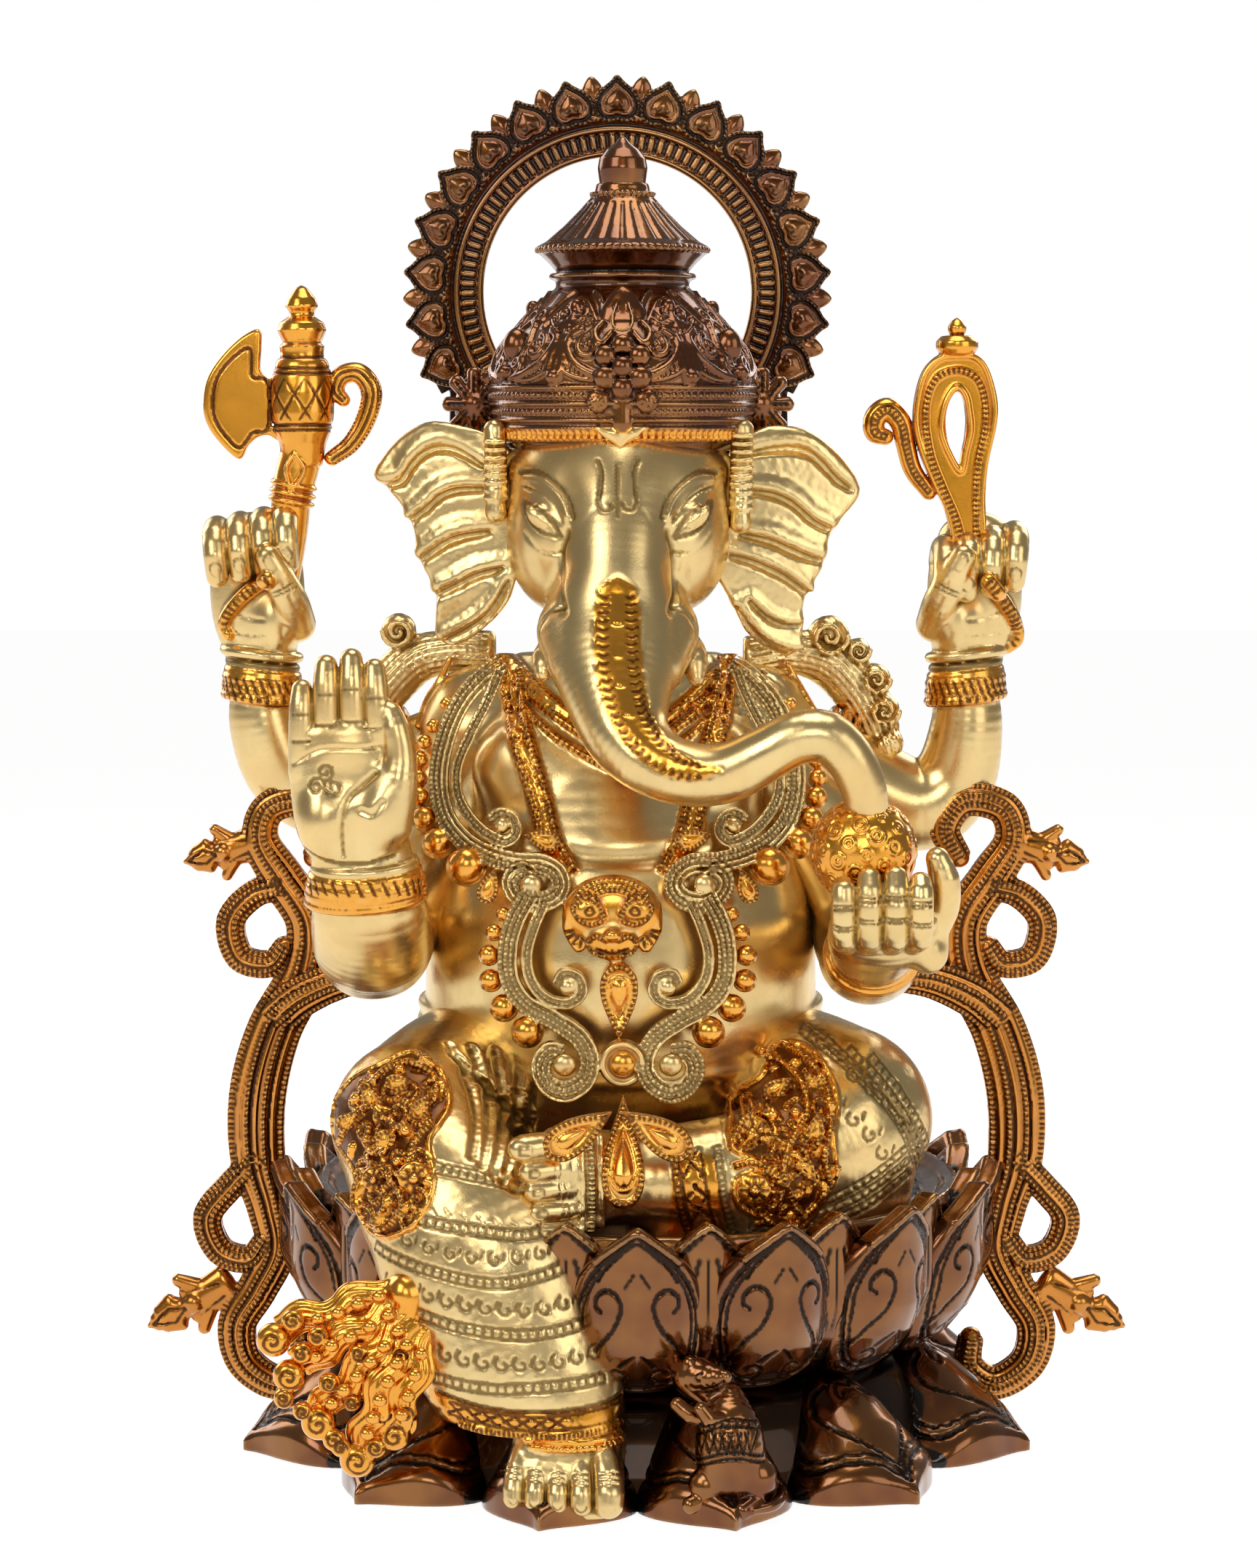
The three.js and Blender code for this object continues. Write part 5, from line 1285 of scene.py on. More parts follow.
    # the gilded ornament on the knee
    encrust(c, [(-119, 150), (-112, 160), (-100, 167), (-88, 171), (-77, 165), (-73, 153), (-80, 142),
        (-78, 132), (-80, 120), (-88, 110), (-100, 105), (-108, 112), (-110, 126), (-119, 136)], 3)
    rope(c, [(-117, 136), (-112, 146), (-104, 152), (-96, 150), (-94, 142), (-99, 136), (-105, 138),
        (-104, 144)], 1.5)
    rope(c, [(-104, 160), (-97, 166), (-88, 168), (-80, 164), (-78, 157), (-84, 152), (-90, 155)], 1.5)
    rope(c, [(-108, 128), (-100, 130), (-93, 126), (-90, 118), (-96, 110), (-101, 108)], 1.4)
    rope(c, [(-80, 148), (-86, 141), (-88, 134)], 1.3)
    paisley(c, -107, 120.5, 7.6, -150)
    paisley(c, -112, 146, 5.6, 60)
    paisley(c, -83.6, 153.0, 6.0, 30)
    paisley(c, -98, 140, 5.4, 200)
    paisley(c, -92.5, 161.5, 5.2, 90)
    paisley(c, -104, 156, 5.6, -30)
    rosette(c, -85.4, 129.0, 6.4)
    rosette(c, -101.4, 126.6, 4.8)
    rosette(c, -98.6, 148.6, 4.2)
    for p in ((-89, 145), (-92, 134), (-96, 119), (-111, 133), (-88, 118), (-76, 160), (-110, 154)):
        at = c.front([p])[0]
        c.ball(at, 2.1, k=0.3, tint=GOLD)
    rough_skin(c, 0.08, 3.0)
    place("leg_right_casting", c.mesh("leg_right_casting"), "pale_brass", "leg_right")


def build_leg_left():
    c = Clay((-58, -144, 84), (132, 14, 186), 0.65)
    c.limb([(30, 0, 145, 36, 35), (60, -26, 141, 40, 39), (81, -46, 137, 38.5, 38)], deep=(0, 0, 1))
    c.limb([(78, -60, 130, 32, 30), (46, -84, 124, 24, 24), (8, -94, 122, 20, 21), (-14, -98, 124, 16,
        17)], k=8)
    # the cloth piled under the knee, on the lotus
    c.limb([(12, -96, 106, 12, 9), (48, -92, 105, 14, 10), (80, -76, 107, 16, 12), (98, -58, 110, 13,
        12)], k=6)
    foot = [(-6, -101, 124, 18, 14), (-20, -112, 125, 20, 12), (-33, -121, 126, 21.5, 9.5)]
    c.limb(foot, k=3)
    for x, z, r in ((-43, 140.6, 5.6), (-39.6, 131.6, 4.7), (-38, 124.2, 4.4), (-36.6, 116.0, 4.3),
            (-35.4, 108.0, 4.4)):
        c.limb([(x + 20, -115, 125 + (z - 125) * 0.8, r, r * 0.9), (x + 10, -125, z, r, r),
            (x, -130, z, r, r), (x - 1.5, -130.5, z, r * 0.9, r * 0.9)], k=0.9)
        at = c.front([(x + 0.6, z)])[0]
        square = np.array([(1.9, 1.5), (1.9, -1.5), (-1.9, -1.5), (-1.9, 1.5), (1.9, 1.5)]) * (r / 4.4)
        c.groove(np.array([(at[0] + a, at[1] + 0.1, at[2] + b) for a, b in square]), 0.42, tint=DARK)
        for dx in (8.5, 10.6, 14.5):
            c.groove(c.front([(x + dx, z + 0.7 * r), (x + dx + 0.5, z), (x + dx, z - 0.7 * r)]), 0.36)
    # anklet
    for x0, r in ((-17.5, 1.7), (-13.5, 1.2), (-21, 1.2)):
        ring = c.front(flat_path([(x0 - 0.5, 143), (x0, 132), (x0 + 0.3, 122), (x0, 108)]), lift=0.3)
        c.rail(ring, r, k=0.3)
        if r > 1.5:
            c.notches(ring + vec(0, -1.2, 0), 2.0, 1.5, 0.45, tint=DARK)
    # gilded hem of the robe on the shin
    c.paint([(14, 137), (30, 134), (36, 100), (22, 96), (12, 100)], GOLD, -60)
    diamond_band(c, [(20, 136), (22, 124), (24, 112), (27, 101)], wide=9, pitch=9, tint=DARK)
    for x0 in (13.6, 31):
        dash_band(c, [(x0, 137), (x0 + 2, 124), (x0 + 4, 112), (x0 + 7, 101)], wide=2.6, pitch=2.4,
            tint=DARK)
    # bands and pleats that run over the shin and knee
    for i in range(4):
        dash_band(c, [(66 + 9 * i, 175 - 3 * i), (84 + 7 * i, 163 - 4 * i), (103 + 4 * i, 143 - 4 * i),
            (112 + 2 * i, 122 - 4 * i)], wide=3.2, r=0.5, tint=DARK)
    for i in range(3):
        dash_band(c, [(44, 104 + 4 * i), (66, 103 + 4 * i), (88, 108 + 5 * i), (108, 119 + 6 * i)],
            wide=3.0, pitch=3.8, r=0.5, tint=DARK)
    wave_band(c, [(78, 150), (92, 138), (102, 122)], high=3.4, pitch=9)
    wave_band(c, [(86, 160), (100, 149), (110, 135)], high=3.2, pitch=9)
    for i in range(10):
        x = 34 + 1.6 * i
        c.groove(c.front(flat_path([(x - 2, 153 - i), (x + 1, 138 - 1.5 * i), (x + 8, 116 - i)])), 0.5,
            k=0.8)
    for i in range(7):
        c.groove(c.front(flat_path([(4 + 4 * i, 152 + i), (14 + 4 * i, 146 + i), (26 + 3 * i, 144 + i)])),
            0.55, k=0.8)
    # gilded ornament on the knee
    encrust(c, [(38, 136), (36, 144), (42, 152), (50, 158), (54, 168), (64, 170), (74, 164), (79, 152),
        (77, 138), (78, 124), (72, 112), (62, 102), (52, 106), (40, 114), (38, 124), (48, 130)], 5)
    rosette(c, 44.8, 141.0, 7.4)
    rosette(c, 45.6, 120.6, 6.6)
    cord_curl(c, 44.8, 141.2, 10.4, 1.1, -60, 1.3)
    rope(c, [(52, 166), (60, 162), (66, 155), (66, 146), (60, 138), (57, 128), (60, 116), (64, 108)], 1.6)
    rope(c, [(58, 170), (68, 165), (75, 156), (76, 144), (73, 132), (75, 122), (70, 112), (62, 104.5)],
        1.5)
    rope(c, [(38, 130), (46, 131), (54, 126), (56, 117), (50, 110), (55, 104)], 1.3)
    paisley(c, 55.4, 155.6, 6.6, 55)
    paisley(c, 69.8, 142.4, 6.4, 10)
    paisley(c, 66.4, 127.0, 5.4, 150)
    paisley(c, 60.6, 106.6, 6.6, 180)
    paisley(c, 68.6, 158.4, 4.8, -40)
    for p in ((62, 148), (61.5, 133), (72.6, 120), (53, 147.5), (50, 166), (76, 150), (66, 118)):
        c.ball(c.front([p])[0], 2.3, k=0.3, tint=GOLD)
    rough_skin(c, 0.08, 3.0)
    place("leg_left_casting", c.mesh("leg_left_casting"), "pale_brass", "leg_left")


def build_sash():
    c = Clay((-150, -158, 8), (-72, -108, 96), 0.5, GOLD)

    def strands(points, wide, count=5, k=0.5):
        route = smooth_path(points, 1.0)
        sway = 1.8 * np.sin(np.arange(len(route)) * 0.30)
        for i in range(count):
            f = (i - (count - 1) / 2) / count
            line = beside(route, (0, -1, 0), f * wide * 1.8 + sway)
            line[:, 1] += 4.5 * abs(f) ** 1.5 * 2
            c.rail(line, wide / count * 1.2, k=k, tint=GOLD)

    main = [
        ([(-82, -131, 84), (-98, -134, 85), (-114, -136, 79), (-126, -134, 75), (-137, -130, 71)], 7),
        ([(-88, -134, 82), (-106, -140, 72), (-118, -139, 66), (-128, -134, 57)], 7),
        ([(-86, -137, 78), (-100, -143, 63), (-110, -142, 52), (-121, -137, 39)], 7),
        ([(-84, -139, 74), (-93, -146, 58), (-99, -146, 44), (-105, -140, 27)], 7),
        ([(-80, -139, 72), (-84, -145, 58), (-88, -145, 46), (-92, -141, 34)], 6),
    ]
    for points, wide in main:
        strands(points, wide)
    curls = [
        (-138.6, 68.6, 6.6), (-131, 76.6, 4.4), (-132.6, 54.6, 6.4), (-127.6, 64.0, 4.2),
        (-134.6, 46.4, 4.0), (-121.6, 36.4, 6.8), (-127.6, 41.6, 3.8), (-115.6, 30.4, 4.4),
        (-106.8, 22.0, 7.0), (-113.0, 27.4, 3.8), (-99.8, 27.6, 4.4), (-92.6, 31.6, 6.2),
        (-97.2, 41.0, 4.2), (-88.0, 40.4, 4.0), (-117.4, 52.4, 4.2), (-121.6, 70.4, 4.0),
        (-106.0, 64.0, 4.0), (-97.4, 56.6, 3.8), (-108.6, 45.0, 3.6), (-90.4, 63.0, 3.6),
    ]
    for i, (x, z, r) in enumerate(curls):
        y = -139.5 - (2.5 if r < 5 else 0)
        c.ball((x, y, z), (r, r * 0.8, r), k=0.5, tint=GOLD)
        way = 1 if i % 2 else -1
        ring = spiral((x, y - r * 0.80, z), (x + r * 0.80, y - r * 0.80, z), r * 0.12, way * 1.35,
            points=22)
        ring[:, 1] += 0.055 * (ring[:, 0] - x) ** 2 * 5 / r + 0.055 * (ring[:, 2] - z) ** 2 * 5 / r
        c.groove(ring, 0.62, tint=DARK)
    for points, wide in main:
        for p in resample(smooth_path(points, 1.0), 8.0)[1:-1]:
            c.ball(p[:3] + vec(0, -3.6, 0), (3.0, 2.4, 2.6), k=0.5, tint=GOLD)
    c.limb([(-76, -126, 88, 6, 6), (-88, -133, 84, 9, 7)], k=2)
    place("sash_end_casting", c.mesh("sash_end_casting"), "gold_lacquer", "sash_end")

# ---- body ----
def build_torso():
    c = Clay((-106, -92, 98), (92, 66, 334), 0.9)
    rows = [
        (6, 104, 66, 56), (4, 122, 80, 62), (-2, 148, 83, 63), (-8, 170, 80, 65), (-12, 192, 80, 68),
        (-12, 212, 78.5, 67),
        (-8, 236, 69, 60), (-5, 258, 61, 51), (-3, 276, 60, 43), (-3, 292, 56, 36), (-6, 306, 40, 29),
        (-8, 324, 27, 25),
    ]
    c.limb([(MID_X + 1, y, z, wide, deep) for y, z, wide, deep in rows], step=5)
    for s in (-1, 1):
        c.ball((MID_X + 1 + s * 56, 4, 289), (27, 25, 22), k=10)
        c.ball((MID_X + s * 34, -31, 276), (25, 17, 22), k=9)  # breast
        c.limb([(MID_X + s * 28, 2, 312, 12, 12), (MID_X + s * 60, 6, 302, 13, 13)], k=12)
        c.limb([(MID_X + 1 + s * 68, 10, 301, 8, 8), (MID_X + 1 + s * 68, 46, 301, 7.5, 7.5)], k=3)
    crease = c.front(flat_path([(MID_X - 34, 251), (MID_X - 14, 246), (MID_X + 14, 246),
        (MID_X + 34, 251)]))
    c.groove(crease, 1.2, k=6)
    # cloth rolled round the hips under the belly
    for z, r in ((172, 3.2), (165, 3.6), (157, 3.4)):
        turn = np.linspace(-1.9, 1.9, 70)
        wide, deep = 80.5, 65
        c.rail(np.array([(MID_X + 1 + wide * math.sin(t), -4 - deep * math.cos(t),
            z + 7 * math.sin(t) ** 2) for t in turn]), r, k=2.5)
    # the part in cloth above the belly, and the strap of the lower garment at the back
    for z in (140, 128, 116):
        turn = np.linspace(1.2, 5.08, 60)
        c.rail(np.array([(MID_X + 1 + 80 * math.sin(t), 2 - 61 * math.cos(t), z) for t in turn]), 2.2,
            k=2.5)
    # gilded necklaces that lie on the chest
    for line, r in (
        ([(-58, 326), (-47, 316), (-36, 306), (-22, 297), (-8, 293), (8, 296), (22, 306), (34, 318),
        (42, 326)], 2.6),
        ([(-56, 321), (-45, 309), (-31, 298), (-16, 289), (-6, 286), (6, 289), (22, 299), (36, 312)],
        1.8),
        ([(-57, 316), (-46, 303), (-32, 291), (-14, 281), (-6, 279), (4, 281), (20, 291), (36, 306)],
        1.5),
    ):
        rope(c, line, r, lift=0.8, pitch=2.6)
    for s in (-1, 1):
        long = [(MID_X + s * 44, 316), (MID_X + s * 41, 299), (MID_X + s * 36, 282), (MID_X + s * 31,
            266), (MID_X + s * 27, 252), (MID_X + s * 20, 240)]
        for by in (-3.2, 0, 3.2):
            line = c.front(shifted(flat_path(long), by), lift=1.0 if by else 1.4)
            c.rail(line, 1.8 if by else 1.2, k=0.4, tint=GOLD)
            if by:
                c.notches(line + vec(0, -1.4, 0), 2.3, 1.7, 0.45, tint=DARK)
        for f in np.linspace(0, 1, 8):
            x = MID_X + s * (50 - 12 * f)
            c.ball(c.front([(x, 318 - 34 * f)])[0], 2.0 - 0.5 * f, k=0.3, tint=GOLD)
    # gilded armlets on the shoulders: a band and a row of beads down each
    for route, s in (([(-79.4, 321), (-84, 312), (-89, 304), (-93, 293)], -1),
            ([(64.6, 319), (73.5, 303.6), (81, 291), (88, 284)], 1)):
        for by, r in ((-3.0, 1.5), (0, 2.4), (3.0, 1.5)):
            line = c.front(shifted(flat_path(route), by), lift=0.7)
            c.rail(line, r, k=0.4, tint=GOLD)
        c.notches(c.front(flat_path(route), lift=2.8), 3.0, 2.4, 0.45, tint=DARK)
    # the beaten cloth over the left shoulder
    for i in range(7):
        x = 34 + 3.6 * i
        c.groove(c.front(flat_path([(x - 4, 322 - 1.2 * i), (x + 2, 312 - 1.6 * i),
            (x + 5, 300 - 2 * i)])), 0.7, k=0.5)
        c.groove(c.front(flat_path([(34 + i, 320 - 3.4 * i), (48 + i, 317 - 3.6 * i),
            (60 + i, 309 - 3.6 * i)])), 0.6, k=0.5)
    c.blend(vec(-110, -100, 60), vec(100, 70, 101.6), lambda x, y, z: z - 101.6 + 0 * x + 0 * y, 0, True,
        None)
    c.blend(vec(-60, -60, 322.4), vec(50, 40, 340), lambda x, y, z: 322.4 - z + 0 * x + 0 * y, 0, True,
        None)
    rough_skin(c, 0.05, 3.5)
    place("torso_casting", c.mesh("torso_casting", relax=3), "pale_brass", "torso")


# ---- arms ----
def band_round(c, centre, axis, radii, deep, r, k=0.5, tint=None, beads=None):
    """A ring round a limb that runs along axis."""
    axis = unit(axis)
    side = unit(np.cross(axis, deep))
    front = unit(np.cross(side, axis))
    centre = np.asarray(centre)
    turns = np.linspace(0, 2 * math.pi, 64)
    loop = np.array([centre + radii[0] * math.cos(t) * side + radii[1] * math.sin(t) * front for t in turns])
    c.rail(loop, r, k=k, tint=tint)
    if beads:
        c.beads(loop, beads[0], beads[1], tint=tint)
    return loop


def knuckles(c, points, r, at, deep=0.32):
    """Creases across a finger, at these fractions of its length."""
    path = smooth_path(points, 0.6)
    along = np.gradient(path, axis=0)
    for f in at:
        i = int(f * (len(path) - 1))
        side = unit(np.cross(along[i], (0, 1, 0)))
        c.tube([path[i] - side * r + vec(0, -r * 0.75, 0), path[i] + vec(0, -r * 1.02, 0),
            path[i] + side * r + vec(0, -r * 0.75, 0)], deep, cut=True, k=0.2, tint=DARK)


def nail(c, at, r, up=(0, 0, 1), normal=(0, -1, 0)):
    n, u = unit(normal), unit(up)
    s = np.cross(u, n)
    at = np.asarray(at, float)
    loop = np.array([at + s * r * 0.62 * math.cos(a) + u * r * 0.85 * math.sin(a) for a in np.linspace(0,
        2 * math.pi, 12)])
    c.groove(loop, 0.36, tint=DARK)


def build_arm_upper(side):
    right = side < 0
    name = "arm_upper_right" if right else "arm_upper_left"
    if right:
        arm = [(-60, 12, 288, 19, 19), (-96, 16, 275, 18, 18), (-126, 15, 262, 17.5, 18),
            (-145, 13, 272, 16.8, 17), (-153.5, 11, 292, 15, 16), (-154.5, 10, 310, 12.6, 13)]
        hand = vec(-156.5, 8, 350)
        low, high = (-186, -24, 238), (-44, 42, 392)
    else:
        arm = [(52, 12, 288, 19, 19), (88, 16, 271, 19, 19), (116, 14, 258, 19, 19), (131, 13, 268, 17.4,
            17), (136.5, 11, 290, 15, 16), (136, 10, 310, 12.8, 13)]
        hand = vec(139.5, 8, 347)
        low, high = (40, -24, 232), (180, 42, 386)
    c = Clay(low, high, 0.75)
    c.limb(arm, k=0)
    wrist = vec(*arm[-1][:3])
    palm_side = 1 if right else -1  # the thumb is towards the middle
    # forearm into the palm
    c.limb([(wrist[0], 10, 308, 12.6, 12.6), (wrist[0] + side * 0.5, 9, 322, 14.5, 12),
        (hand[0] - side * 0.5, 9, 338, 19, 13), (hand[0], 9, 356, 19, 13), (hand[0] + side * 0.5, 9, 368,
        16, 12)], k=3)
    c.ball((hand[0] + palm_side * 9, 2, 336), (10, 11, 14), k=4)
    # four fingers, curled forward and down
    first_top, rise = (27.5, 1.9) if right else (28.5, -2.0)
    for i in range(4):
        x = hand[0] + side * (15.4 - 9.6 * i)
        top = hand[2] + first_top + rise * i
        p = [(x, 12, top - 10, 5.6, 6), (x, 2, top - 4.4, 5.4, 5.6), (x, -7.5, top - 7.2, 5.2, 5.4),
            (x - side * 0.6, -11.8, top - 15, 4.9, 5), (x - side * 1.2, -9.6, top - 23.5, 4.6, 4.8)]
        c.limb(p, k=0.9)
        for f in (-1.6, 1.6):
            c.tube([(x - 4.6, -8.4, top - 10.5 + f), (x, -12.8 - 0.2 * f, top - 10.8 + f),
                (x + 4.6, -8.4, top - 10.5 + f)], 0.36, cut=True, tint=DARK)
        nail(c, (x - side * 1.0, -15.4, top - 20.8), 4.0)
    # thumb over them
    tx = hand[0] + palm_side * 15
    thumb = [(tx + palm_side * 2, 4, 334, 7.6, 7.6), (tx + palm_side * 0.5, -8, 344, 7, 7),
        (tx - palm_side * 4, -14, 354, 6.2, 6), (tx - palm_side * 8, -16.5, 362.5, 5, 5)]
    c.limb(thumb, k=1.4)
    nail(c, (tx - palm_side * 6.6, -21.4, 360), 4.6, up=(-palm_side * 0.4, 0, 1))
    knuckles(c, [p[:3] for p in thumb], 6.2, (0.55, 0.6))
    # creases of the palm where it can be seen
    for z, bend in ((330, 1.5), (337, 3.0)):
        c.groove(c.front(flat_path([(hand[0] - palm_side * 12, z + bend), (hand[0] - palm_side * 3, z),
            (hand[0] + palm_side * 5, z - 1)])), 0.5)
    # the end of what it holds, which lies across the palm
    cord = [(-150, 353), (-157, 349), (-164.5, 342), (-169, 335), (-167.5, 330)] if right else [(143,
        352), (149, 345), (155, 336), (157, 328), (153, 324)]
    laid = c.front(flat_path(cord), lift=1.0)
    c.tube(laid, np.linspace(3.6, 2.6, len(laid)), k=1.2, dense=True, tint=GOLD)
    c.notches(laid + vec(0, -3.2, 0), 2.6, 2.4, 0.55, tint=DARK)
    # bangles: a pale cuff, and two gilded rings with a patterned band between
    tilt = (side * -0.12, 0, 1)
    band_round(c, (wrist[0] + side * 0.3, 9.5, 321.5), tilt, (15.2, 13.4), (0, 1, 0), 2.2, k=0.8)
    band_round(c, (wrist[0], 10, 317.0), tilt, (14.0, 13.6), (0, 1, 0), 1.6, tint=DARK)
    for z, r, wide in ((313.6, 2.0, 14.2), (310.4, 2.6, 14.4), (306.8, 2.6, 14.6), (303.2, 2.2, 15.4)):
        band_round(c, (wrist[0] + side * 0.1 * (313 - z) * 0.2, 10.4, z), tilt, (wide, wide - 0.2),
            (0, 1, 0), r, tint=GOLD)
    for t in np.linspace(0, 2 * math.pi, 30, endpoint=False):
        for z0, z1, out in ((305.0, 301.6, 17.2), (312.0, 306.0, 16.8)):
            p = vec(wrist[0] + out * math.sin(t), 10.4 - out * math.cos(t), z0)
            q = vec(wrist[0] + out * math.sin(t + (0.14 if z0 > 310 else 0)),
                10.4 - out * math.cos(t + (0.14 if z0 > 310 else 0)), z1)
            c.tube([p, q], 0.5, cut=True, tint=DARK)
    c.groove(np.array([(wrist[0] + 16 * math.sin(t), 10.6 - 16 * math.cos(t),
        300.4) for t in np.linspace(0, 6.3, 50)]), 0.5, tint=DARK)
    # armlet where the arm leaves the shoulder
    for d, r in ((0, 2.6), (4.6, 1.6), (-4.6, 1.6)):
        x = MID_X + side * (88 + d)
        band_round(c, (x, 15.5, 279 - 0.42 * d), (side, 0, -0.4), (18.4, 18.4), (0, 1, 0), r, tint=GOLD,
            beads=(4.0, 2.1) if d == 0 else None)
    place(name + "_casting", c.mesh(name + "_casting"), "pale_brass", name)


def build_arm_lower_right():
    c = Clay((-144, -120, 178), (-40, 10, 340), 0.7)
    c.limb([(-62, -8, 276, 19, 19), (-82, -18, 250, 20, 20), (-98, -30, 222, 21, 21), (-105, -42, 206,
        21.5, 20)], k=0)
    c.limb([(-104, -38, 207, 22, 17), (-105, -58, 210, 24, 20), (-105, -76, 224, 23, 18), (-106, -84, 240,
        20.5, 15), (-108, -88, 252, 19, 12)], k=5)
    # palm, its heel and the ball of the thumb
    c.limb([(-108.5, -89, 252, 19, 11), (-111, -91.5, 266, 22, 11), (-113.5, -92.5, 282, 21.5, 9.5),
        (-114.5, -92.5, 296, 20, 8)], k=3)
    c.ball((-98.5, -96, 268), (9.5, 10.5, 16.5), k=5)
    c.ball((-122, -95, 262), (9, 9, 13), k=5)
    hollow = c.front([(-111.5, 281)])[0]
    c.ball(hollow + vec(0, -6.6, 0), (12, 7.6, 10), k=6, cut=True)
    # fingers, from the little finger to the forefinger: root, tip, root radius
    for (x0, z0), (x1, z1), r in (((-130.2, 290), (-129.8, 317.5), 4.9), ((-120.4, 295), (-120.3, 327.0),
            5.3), ((-110.0, 296), (-110.6, 329.5), 5.4), ((-100.2, 294), (-101.6, 325.5), 5.2)):
        p = [(x0, -93.5, z0 - 8, r * 1.05, r), (x0 * 0.7 + x1 * 0.3, -94.5, z0 + 0.3 * (z1 - z0), r, r),
            (x0 * 0.35 + x1 * 0.65, -94.2, z0 + 0.65 * (z1 - z0), r * 0.96, r * 0.94),
            (x1, -92.5, z1 - r * 0.75, r * 0.82, r * 0.8)]
        c.limb(p, k=0.7)
        path = [q[:3] for q in p]
        knuckles(c, path, r * 0.98, (0.36, 0.68), 0.42)
    z = 289.5  # where the fingers start
    c.groove(c.front(flat_path([(-133, z - 4), (-122, z + 1.6), (-108, z + 1.8), (-97, z + 3)])), 0.6,
        k=0.8)
    thumb = [(-96, -95, 262, 9, 9), (-93, -97, 276, 8, 8), (-91.5, -97, 288, 6.4, 6.4), (-93.2, -97, 299,
        5.4, 5.4), (-95, -96, 305, 4.2, 4.2)]
    c.limb(thumb, k=2)
    # lines of the palm
    life = [(-101, 282), (-106, 277.5), (-111, 273), (-113.2, 267), (-113.8, 259), (-113.6, 250)]
    c.groove(c.front(flat_path(life)), 0.9, k=1.4)
    c.groove(c.front(flat_path([(-98, 271), (-102, 266.5), (-106.5, 267.6)])), 0.8, k=1.4)
    c.groove(c.front(flat_path([(-129, 252), (-120, 247.6), (-106, 246.6), (-94, 249.5)])), 0.7, k=0.8,
        tint=DARK)
    # a small flower of spirals in the palm
    for turn in range(3):
        a = math.radians(90 + 120 * turn)
        cx, cz = -120.5 + 3.9 * math.cos(a), 278.6 + 3.9 * math.sin(a)
        t = np.linspace(0, 1, 20)
        route = np.column_stack([cx + 3.6 * (1 - 0.75 * t) * np.cos(a + math.pi + 8 * t),
            cz + 3.6 * (1 - 0.75 * t) * np.sin(a + math.pi + 8 * t)])
        c.groove(c.front(route), 0.5, tint=DARK)
    # bracelet
    axis = (-0.06, -0.2, 1)
    for z, y, r, wide, deep, tint in (
        (245.0, -86.4, 2.0, 19.5, 13.6, None), (241.4, -85.4, 2.3, 20.4, 14.8, GOLD), (238.2, -84.2, 2.7,
        21.0, 15.6, GOLD), (235.0, -82.8, 2.7, 21.6, 16.2, GOLD), (231.6, -81.4, 2.1, 22.6, 17.4, GOLD),
    ):
        band_round(c, (-106.2, y, z), axis, (wide, deep), (0, 1, 0), r, tint=tint)
    for t in np.linspace(-1.3, 1.3, 12):
        p = c.front([(-106.2 + 22 * math.sin(t), 239.5)])
        q = c.front([(-106.2 + 22 * math.sin(t + 0.12), 234)])
        c.groove(np.vstack([p, q]), 0.45, tint=DARK)
    place("arm_lower_right_casting", c.mesh("arm_lower_right_casting"), "pale_brass", "arm_lower_right")


def build_arm_lower_left():
    c = Clay((40, -146, 184), (128, 10, 300), 0.7)
    c.limb([(52, -8, 276, 19, 19), (76, -13, 250, 20, 20), (90, -20, 224, 20, 20), (93, -28, 208, 20,
        19)], k=0)
    c.limb([(92, -22, 209, 19, 18), (93, -50, 203, 20, 18.5), (92.5, -78, 207, 18, 15.5),
        (92, -98, 213, 15.5, 12.5)], deep=(0, 0, 1), k=5)
    # the cupped hand, with the fingers up in front of the sweet
    c.limb([(92, -100, 212, 16, 11), (93, -112, 218, 20, 11), (94, -122, 226, 21, 9)], deep=(0, 0, 1),
        k=4)
    for x, z1, r in ((78.2, 245.5, 5.0), (88.0, 248.5, 5.3), (98.0, 249.0, 5.3), (107.4, 247.0, 5.0)):
        p = [(x + (93 - x) * 0.16, -119, 219, r, r), (x, -129, 222, r, r), (x, -134, 231, r * 0.98,
            r * 0.98), (x, -133.4, 240, r * 0.96, r * 0.94), (x, -130.8, z1 - 3.8, r * 0.86, r * 0.8)]
        c.limb(p, k=0.7)
        for z in (z1 - 10.4, z1 - 12.0, z1 - 18.8, z1 - 20.2):
            c.groove(c.front([(x - r * 0.8, z), (x, z - 0.25), (x + r * 0.8, z)]), 0.36, tint=DARK)
    thumb = [(112, -108, 220, 7, 7), (117, -116, 232, 6.6, 6.6), (117.2, -120, 243, 6.0, 6.0),
        (114.6, -121, 251, 4.6, 4.6)]
    c.limb(thumb, k=2)
    c.ball((112, -110, 214), (8, 9, 9), k=4)
    for y, z, r, wide, deep in ((-88, 210.4, 2.4, 17.0, 14.8), (-84, 209.4, 1.6, 18.0, 15.8),
            (-92, 211.4, 1.6, 16.4, 13.8)):
        band_round(c, (92.2, y, z), (0, -1, 0.2), (wide, deep), (0, 0, 1), r, tint=GOLD,
            beads=(3.4, 1.7) if r > 2 else None)
    place("arm_lower_left_casting", c.mesh("arm_lower_left_casting"), "pale_brass", "arm_lower_left")


# ---- what the hands hold ----
def across(line):
    """Unit vectors across a line that lies flat to the front."""
    side = np.cross(np.gradient(line, axis=0), (0, -1, 0))
    return side / np.linalg.norm(side, axis=1)[:, None]


